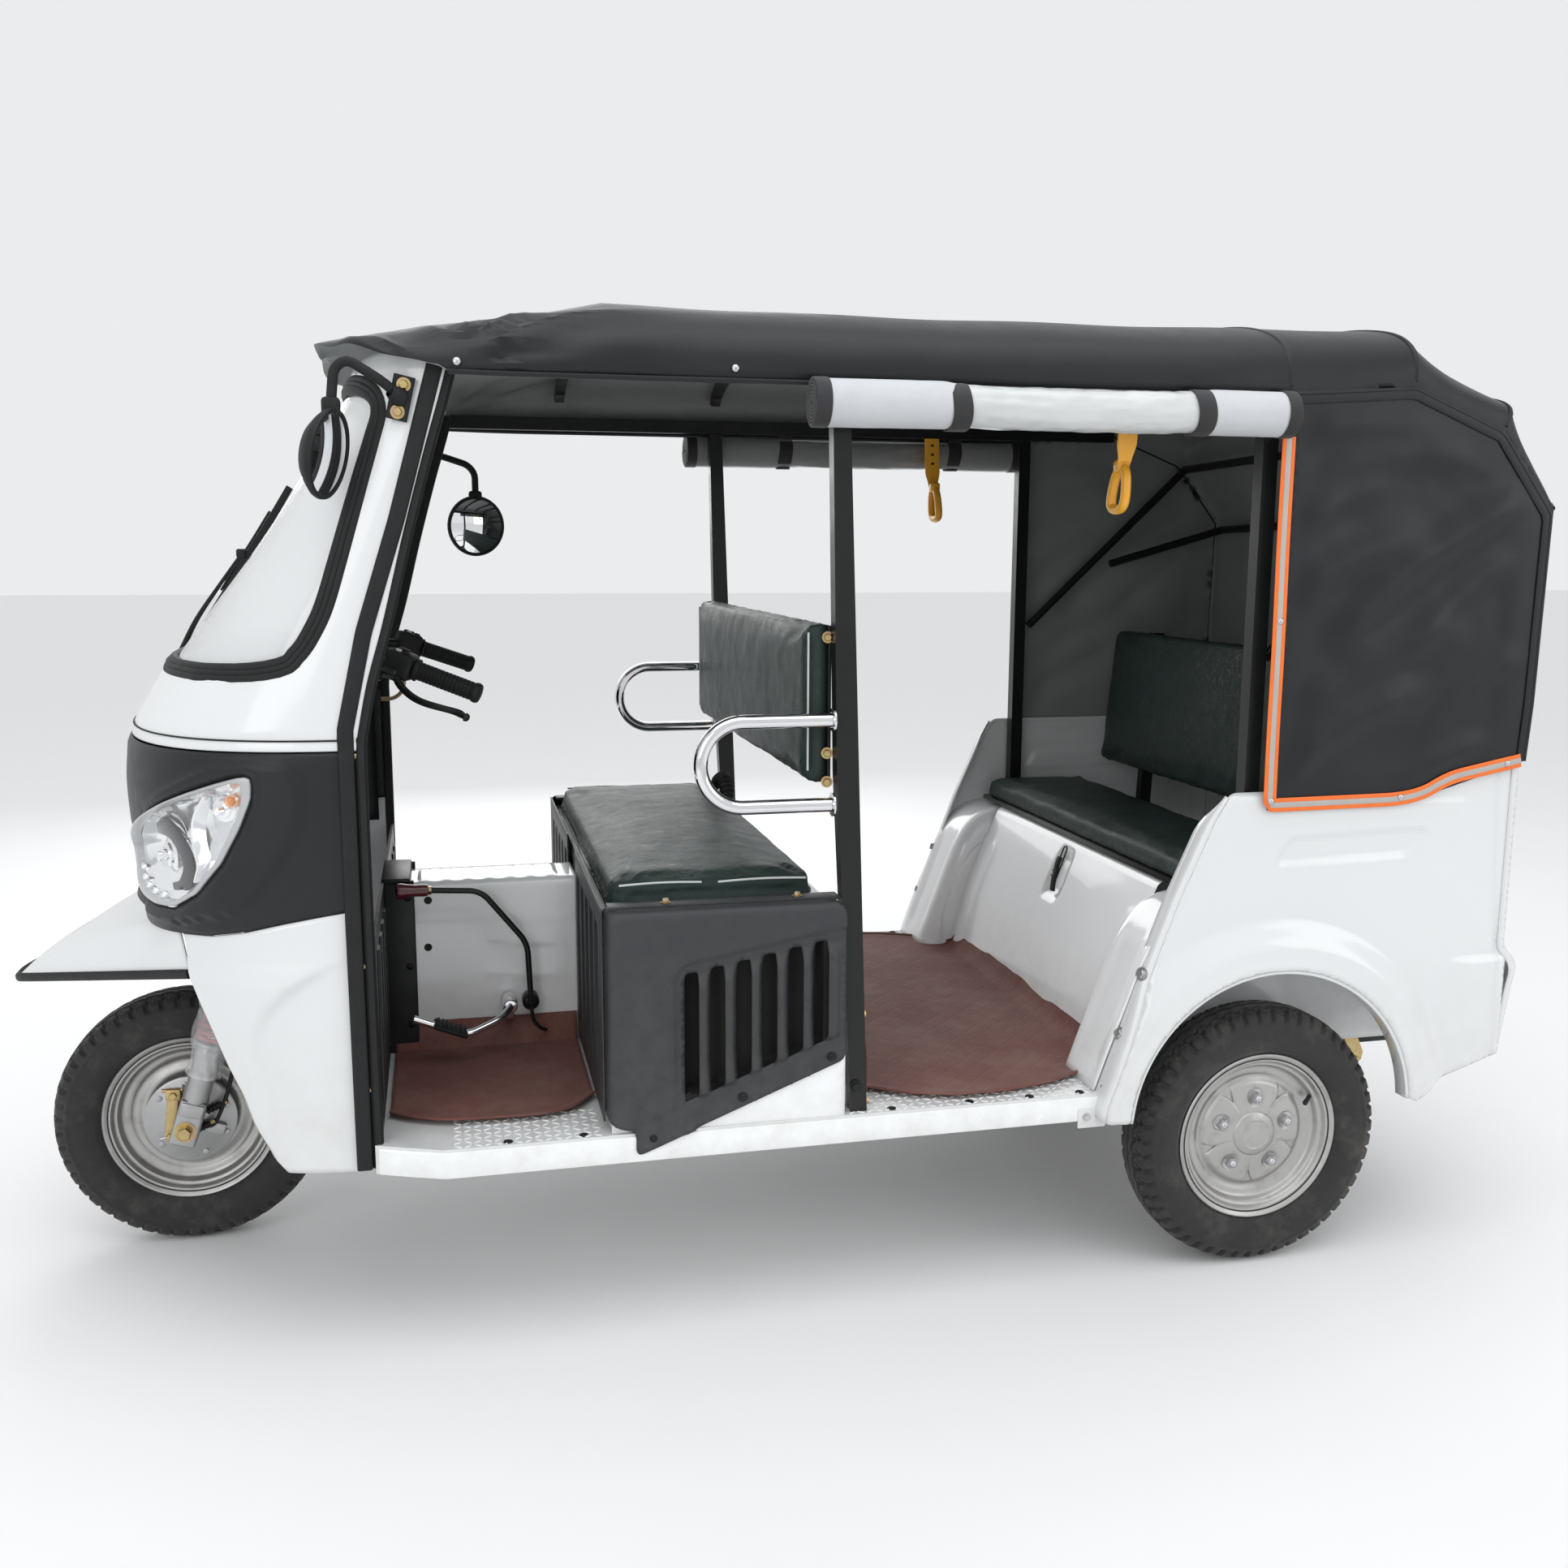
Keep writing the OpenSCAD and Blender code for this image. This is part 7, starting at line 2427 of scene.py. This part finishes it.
# ------------------------------------------------------------------ levers
def levers():
    m = Mesh()
    P = fillet(np.array([(1370, 116, 475), (1375, 120, 602), (1464, 122, 715), (1566, 122, 721)], float), 24, 8)
    m.add(tube(resample(P, 6), 6, 14), 0)
    m.add(lathe([(6, -8), (9, -7), (9, 7), (6, 8)], A(1566, 122, 721), A(1, 0, 0.02), 6), 1)
    m.add(lathe([(7, 4), (11, 6), (12.5, 14), (12, 30), (13.5, 46), (15.5, 58), (15, 64), (9, 67), (0.01, 68)], A(1560, 122, 720.5), A(1, 0, 0.02), 28), 2)
    m.add(lathe([(0.01, -4), (15, -4), (17, 0), (17, 30), (14, 34), (8, 36)], A(1370, 79, 475), A(0, 1, 0), 28), 0)
    m.add(tube(catmull(np.array([(1370, 118, 470), (1366, 118, 440), (1352, 112, 420), (1340, 104, 412)]), 6), 4, 10), 0)
    make("gear_stick", m, [STEEL, BRASS, KNOB], replaces="gear_lever", angle=40)
    m = Mesh()
    P = fillet(np.array([(1413, 150, 480), (1432, 178, 466), (1500, 205, 446), (1560, 205, 470), (1600, 205, 486)], float), 20, 6)
    m.add(tube(resample(P, 6), 7.5, 16), 0)
    m.add(lathe([(0.01, 0), (13, 0), (15, 3), (15, 66), (12, 70), (0.01, 71)], A(1413, 79, 480), A(0, 1, 0), 24), 0)
    m.add(xform(rbox((-34, -26, -5), (34, 26, 5), 4, 2), A(1530, 205, 462), unit(A(1, 0, 0.4)), A(0, 1, 0), unit(A(-0.4, 0, 1))), 1)
    for k in range(-3, 4):
        m.add(xform(rbox((-1.6, -24, 4), (1.6, 24, 7.5), 1), A(1530, 205, 462) + unit(A(1, 0, 0.4)) * k * 9, unit(A(1, 0, 0.4)), A(0, 1, 0), unit(A(-0.4, 0, 1))), 1)
    m.add(rbox((1404, 84, 440), (1422, 108, 474), 4), 0)
    make("foot_pedal", m, [CHROME, RUBBER], replaces="foot_lever", angle=40)


levers()


# ------------------------------------------------------------------ handlebar
TOP = along(925)


def handlebar():
    m = Mesh()
    half = np.array([(0, 0, 1160), (10, 110, 1172), (-40, 225, 1186), (-150, 292, 1172), (-262, 332, 1130)], float)
    for sg in (1, -1):
        H = catmull(np.stack([TOP[0] + half[:, 0], sg * half[:, 1], half[:, 2]], 1), 10)
        m.add(tube(resample(H, 6), 11, 16), 0)
        g0, g1 = A(TOP[0] - 156, sg * 294, 1170), A(TOP[0] - 264, sg * 333, 1129)
        d = unit(g1 - g0)
        L = np.linalg.norm(g1 - g0)
        prof = [(11, -2), (20, -1), (21, 3), (17, 6)]
        for k in range(14):
            a = 8 + k * (L - 20) / 14
            prof += [(15.6, a), (17.0, a + 1.2), (17.0, a + 5.0), (15.6, a + 6.2)]
        prof += [(18, L - 8), (19, L - 3), (17, L + 2), (9, L + 4), (0.01, L + 4)]
        m.add(lathe(prof, g0, d, 32), 1)
        # switch pod with rocker and buttons
        x, y, z = d, unit(np.cross(A(0, 0, 1), d)), None
        z = np.cross(x, y)
        o = g0 - d * 30
        m.add(xform(rbox((-26, -24, -25), (26, 23, 24), 9, 3), o, x, y, z), 1)
        m.add(xform(rbox((-14, -4, 22), (8, 10, 29), 3), o, x, y, z), 1)
        m.add(xform(rbox((-12, -16, 22), (-2, -8, 28), 2), o, x, y, z), 2)
        m.add(xform(rbox((4, -18, 21), (16, -8, 27), 2), o, x, y, z), 1)
        # lever on its perch, in front of the grip
        fwd = unit(A(1, 0, 0) - d * (A(1, 0, 0) @ d))
        q = [o - d * 4 + fwd * 20 - A(0, 0, 2), o + d * 22 + fwd * 42 - A(0, 0, 4), o + d * 64 + fwd * 52 - A(0, 0, 8), o + d * 128 + fwd * 44 - A(0, 0, 10), o + d * 150 + fwd * 48 - A(0, 0, 9)]
        Q = resample(catmull(np.array(q), 8), 6)
        m.add(sweep(Q, rrect(9, 14, 4), False, A(0, 0, 1), scale=np.interp(np.linspace(0, 1, len(Q)), [0, 0.2, 0.8, 0.93, 1], [1.25, 1, 0.85, 1.0, 0.7])), 0)
        m.add(dome(q[-1], unit(np.array(q[-1]) - np.array(q[-2])), 8, 7), 0)
        m.add(xform(rbox((-16, -6, -10), (14, 34, 10), 5, 2), o - d * 8 + fwd * 2, d, fwd, np.cross(d, fwd)), 0)
    # clamp, meter pod with a dial, ignition barrel
    m.add(xform(rbox((-34, -42, -16), (30, 42, 30), 9, 3), TOP, FORE, A(0, 1, 0), AXD), 0)
    pod = TOP + AXD * 62 + FORE * 34
    tilt = unit(A(-0.80, 0, 0.60))
    m.add(lathe([(0.01, -46), (30, -44), (48, -30), (56, -8), (58, 0), (57, 5), (53, 6), (51, 2)], pod, tilt, 40), 1)
    m.add(lathe([(51, 2), (50, -1), (0.01, -1)], pod, tilt, 40), 3)
    x, y, z = basis(tilt)
    for k in range(11):
        a = math.radians(-30 + k * 24)
        m.add(xform(rbox((-0.9, 36, -1), (0.9, 45, 0.4), 0.3, 1), pod, math.cos(a) * x + math.sin(a) * y, -math.sin(a) * x + math.cos(a) * y, z), 2)
    m.add(xform(rbox((-1.3, -6, 0), (1.3, 34, 1.6), 0.6, 1), pod, math.cos(2.2) * x + math.sin(2.2) * y, -math.sin(2.2) * x + math.cos(2.2) * y, z), 4)
    m.add(lathe([(0.01, 0), (14, 0), (14, 26), (12, 28), (5, 28), (5, 25), (0.01, 25)], TOP + AXD * 2 - FORE * 36 + A(0, 26, 0), unit(A(-0.7, 0, 0.7)), 24), 5)
    make("handlebar_set", m, [STEEL, RUBBER, CLOTHW, LAMPDARK, REDPAINT, CHROME], body="steering", replaces="handlebar", angle=42)
    # control cables looping from the pods down to the column, all on the steering head
    c = Mesh()
    for sg in (1, -1):
        o = A(TOP[0] - 120, sg * 278, 1176)
        P = np.array([o + A(30, -sg * 6, -8), o + A(78, -sg * 30, -26), o + A(96, -sg * 110, -70), A(TOP[0] + 34, sg * 96, TOP[2] - 60), along(830) + FORE * 44 + A(0, sg * 40, 0), along(740) + FORE * 36 + A(0, sg * 22, 0), along(640) + FORE * 32 + A(0, sg * 14, 0)])
        c.add(tube(resample(catmull(P, 8), 8), 4.0, 10), 0)
        P = P + A(-6, sg * 4, -12)
        P[-1] = along(640) + FORE * 30 + A(0, sg * 24, 0)
        P[-2] = along(740) + FORE * 33 + A(0, sg * 32, 0)
        c.add(tube(resample(catmull(P, 8), 8), 3.2, 10), 0)
        c.add(tube(catmull(np.array([o + A(-14, 0, -22), o + A(-10, 0, -44), o + A(6, -sg * 6, -58), o + A(28, -sg * 10, -60)]), 8), 3.6, 10), 1)
    for s in (650, 735):
        c.add(lathe([(22, -5), (46, -5), (47, 0), (46, 5), (22, 5)], along(s) + FORE * 8, AXD, 24), 0)
    make("control_cables", c, [RUBBER, BRASS], body="steering", angle=45)


handlebar()


# ------------------------------------------------------------------ mirrors, wiper
def mirrors():
    def head(m, o, nrm, r=68):
        m.add(lathe([(0.01, -30), (24, -28), (46, -20), (60, -9), (r + 1, 0), (r + 3, 5), (r + 2, 10), (r - 2, 11.5), (r - 5, 9)], o, nrm, 56), 0)
        m.add(lathe([(r - 4, 8.5)] + [(rr, 8.5 + 8.0 * (1 - (rr / (r - 4))**2)) for rr in np.linspace(r - 6, 0.01, 12)], o, nrm, 56), 1)
    m = Mesh()
    L = np.array([(1572, 566, 1622), (1600, 586, 1645), (1652, 592, 1676), (1672, 592, 1662), (1678, 592, 1606)], float)
    m.add(tube(resample(fillet(L, 22, 7), 7), 8, 16), 0)
    o = A(1691, 594, 1533)
    head(m, o, unit(A(-.92, .33, -.2)))
    m.add(rbox((1664, 578, 1588), (1692, 606, 1618), 6, 2), 0)
    m.add(tube(np.array([(1678, 592, 1600), (1688, 592, 1560), (1698, 590, 1538)]), 9, 14), 0)
    # bracket on the pillar
    P = np.array([(1566, 567, 1656), (1582, 567, 1588)])
    m.add(sweep(resample(P, 6), rrect(34, 9, 4), False, A(0.1, 1, 0)), 0)
    m.add(lathe([(0.01, -2), (15, -2), (16, 4), (12, 16), (9, 22)], A(1573, 568, 1622), unit(A(0.75, 0.55, 0.4)), 24), 0)
    g = Mesh()
    for x, z in ((1568, 1642), (1579, 1600)):
        g.add(hexbolt(A(x, 571, z), A(0.1, 1, 0), 13, 6))
    R = np.array([(1540, -566, 1606), (1500, -590, 1596), (1450, -592, 1580), (1434, -592, 1560), (1434, -592, 1508)], float)
    m.add(tube(resample(fillet(R, 22, 7), 7), 8, 16), 0)
    head(m, A(1437, -590, 1438), unit(A(-.35, .93, -.05)))
    m.add(rbox((1419, -606, 1496), (1450, -578, 1520), 6, 2), 0)
    m.add(tube(np.array([(1434, -592, 1510), (1436, -598, 1480), (1438, -606, 1450)]), 9, 14), 0)
    P = np.array([(1566, -567, 1640), (1582, -567, 1576)])
    m.add(sweep(resample(P, 6), rrect(34, 9, 4), False, A(0.1, -1, 0)), 0)
    m.add(tube(np.array([(1572, -568, 1608), (1552, -572, 1608), (1536, -568, 1606)]), 9, 14), 0)
    for x, z in ((1568, 1628), (1579, 1588)):
        g.add(hexbolt(A(x, -571, z), A(0.1, -1, 0), 13, 6))
    make("mirror_set", m, [RUBBER, MIRROR], replaces="mirrors", angle=42)
    make("mirror_bolts", g, GOLD)


def wiper():
    m = Mesh()
    # pivot below the screen, arm and blade just off the glass
    t0, z0 = -6.0, 1168.0
    o = nose(np.array([t0]), np.array([z0]), 0)[0]
    n = nose_n(np.array([t0]), np.array([z0]))[0]
    m.add(lathe([(0.01, -2), (14, -2), (14, 8), (11, 14), (11, 22), (0.01, 24)], o, n, 24))
    path_t, path_z = np.array([-6.0, -3.6, -0.6, 2.5]), np.array([1168.0, 1232, 1300, 1364])
    Q = np.array([nose(np.array([t]), np.array([z]), 0)[0] + nose_n(np.array([t]), np.array([z]))[0] * d for t, z, d in zip(path_t, path_z, (18, 25, 23, 19))])
    Q = resample(catmull(Q, 8), 8)
    m.add(sweep(Q, rrect(15, 9, 3.5), False, n, scale=np.interp(np.linspace(0, 1, len(Q)), [0, 1], [1.15, 0.55])))
    tb, zb = np.linspace(-4.0, 9.0, 22), np.linspace(1236, 1492, 22)
    B = np.stack([nose(np.array([t]), np.array([z]), 0)[0] + nose_n(np.array([t]), np.array([z]))[0] * 7.0 for t, z in zip(tb, zb)])
    Nb = np.stack([nose_n(np.array([t]), np.array([z]))[0] for t, z in zip(tb, zb)])
    m.add(sweep(B, rrect(7, 13, 2), False, Nb))
    m.add(sweep(B[5:-4] + Nb[5:-4] * 9, rrect(9, 4, 1.8), False, Nb[5:-4]))
    m.add(rbox(Q[-1] - 9, Q[-1] + 9, 4))
    make("wiper_set", m, RUBBER, replaces="wiper", angle=40)


mirrors()
wiper()


def liner():
    """dark inner skin of the nose, and the shelf behind the screen"""
    zs = np.linspace(742, 1176, 26)
    tl = tcols(-89, 89, 60)
    rows = []
    for z in zs:
        zz = np.full(len(tl), z)
        d = 16 + 66 * smooth01((1066 - zz) / 26) * smooth01((86 - np.abs(tl)) / 10)
        rows.append(nose(tl, zz) - nose_n(tl, zz) * d[:, None])
    rows = np.array(rows)
    make("nose_liner", grid(rows), CHAR, thick=2, thick_off=1)
    zt = 1172.0
    out = nose(tcols(-88, 88, 80), zt, -18)
    xin = 1690.0
    front = out[:, :2]
    front = front[front[:, 0] > xin]
    k = len(front)
    s = np.linspace(0, 1, 20)
    rows = []
    for p in front:
        back = np.array([xin, p[1]])
        q = back + (p - back) * s[:, None]
        z = zt - 10 - 34 * (1 - s)**2
        rows.append(np.stack([q[:, 0], q[:, 1], z], 1))
    P = np.array(rows)
    # leave the steering column free
    v, f = grid(P)
    v = np.asarray(v)
    fc = v[np.array(f)].mean(1)
    f = [q for q, c in zip(f, fc) if not (abs(c[1]) < 150 and c[0] < 1900)]
    make("dash_shelf", (v, f), CHAR, thick=4, thick_off=-1)


liner()


# ------------------------------------------------------------------ springs, shackles, engine, kept CAD parts
def suspension():
    base = np.array([(-300, 300), (-150, 232), (0, 205), (150, 232), (300, 300)], float)
    C = catmull(base, 14)
    for sg, nm in ((1, "left"), (-1, "right")):
        m = Mesh()
        y = sg * 380.0
        for k, span in enumerate((300, 300, 240, 180, 120, 70)):
            P = resample(C[np.abs(C[:, 0]) <= span], 10)
            z = P[:, 1] - k * 8.2 + 9
            Q = np.stack([P[:, 0], np.full(len(P), y), z], 1)
            m.add(sweep(Q, rrect(50 - 1.0 * k, 7.4, 2), False, A(0, 0, 1)), 0)
        for xe in (-300, 300):
            m.add(lathe([(11, -27), (20, -27), (20, 27), (11, 27)], A(xe, y, 309), A(0, 1, 0), 24), 0)
            m.add(lathe([(0.01, -34), (11, -34), (11, 34), (0.01, 34)], A(xe, y, 309), A(0, 1, 0), 18), 1)
        for xx in (-34, 34):
            for dy in (-30, 30):
                m.add(tube(np.array([(xx, y + dy, 150), (xx, y + dy, 250)]), 6, 12), 1)
                m.add(hexbolt(A(xx, y + dy, 152), A(0, 0, -1), 16, 9), 1)
        m.add(rbox((-52, y - 40, 158), (52, y + 40, 168), 3), 0)
        # shackle links at the rear eye and hanger at the front
        for dy in (-34, 34):
            P = np.array([(-292, y + dy, 425), (-334, y + dy, 337), (-302, y + dy, 309)])
            m.add(sweep(resample(P, 8), rrect(30, 5, 2), False, A(0, 1, 0)), 2)
            m.add(hexbolt(A(-292, y + dy * 1.05, 425), A(0, np.sign(dy), 0), 16, 8), 2)
        m.add(rbox((-318, y - 30, 372), (-262, y + 30, 452), 5), 0)
        m.add(rbox((280, y - 30, 300), (322, y + 30, 372), 5), 0)
        make(f"leaf_spring_{nm}", m, [STEEL, BRIGHT, GOLD], replaces="leaf_springs" if sg > 0 else (), angle=40)


suspension()


def engine():
    m = Mesh()
    m.add(rbox((910, -256, 404), (1220, 236, 560), 14, 3))
    m.add(rbox((930, -200, 556), (1120, 190, 640), 10, 2))
    for k in range(9):
        m.add(rbox((936, -210, 566 + k * 15), (1128, 200, 573 + k * 15), 2))
    m.add(lathe([(0.01, 0), (86, 0), (92, 6), (92, 24), (70, 30), (0.01, 32)], A(1065, 236, 500), A(0, 1, 0), 48))
    for k in range(8):
        a = k * math.pi / 4
        m.add(hexbolt(A(1065 + 82 * math.cos(a), 262, 500 + 82 * math.sin(a)), A(0, 1, 0), 11, 6))
    m.add(lathe([(0.01, 0), (64, 0), (68, 6), (68, 30), (0.01, 34)], A(1000, -256, 500), A(0, -1, 0), 40))
    m.add(tube(catmull(np.array([(1150, 0, 600), (1190, 40, 640), (1196, 120, 650), (1190, 190, 610)]), 8), 24, 18))
    make("engine_block", m, CAST, replaces="engine", angle=40)


engine()


def dress(name, mat, w=2.0, seg=2):
    o = NODE[name]
    if not o.material_slots:
        o.data.materials.append(mat)
    for s in o.material_slots:
        s.material = mat
    soften(o, w, seg)


for _n, _m, _w in (("frame_rails", STEEL, 5), ("cross_members", STEEL, 3), ("steering_head", STEEL, 2), ("floor_pan", WHITE, 3), ("front_bulkhead", CHAR, 2), ("engine_box", WHITE, 4),
                   ("cab_posts", STEEL, 4), ("roof_rails", STEEL, 4), ("roof_bows", STEEL, 2), ("backrest_stand", STEEL, 3), ("rear_axle", CAST, 2)):
    dress(_n, _m, _w)


# ------------------------------------------------------------------ final update
bpy.context.view_layer.update()
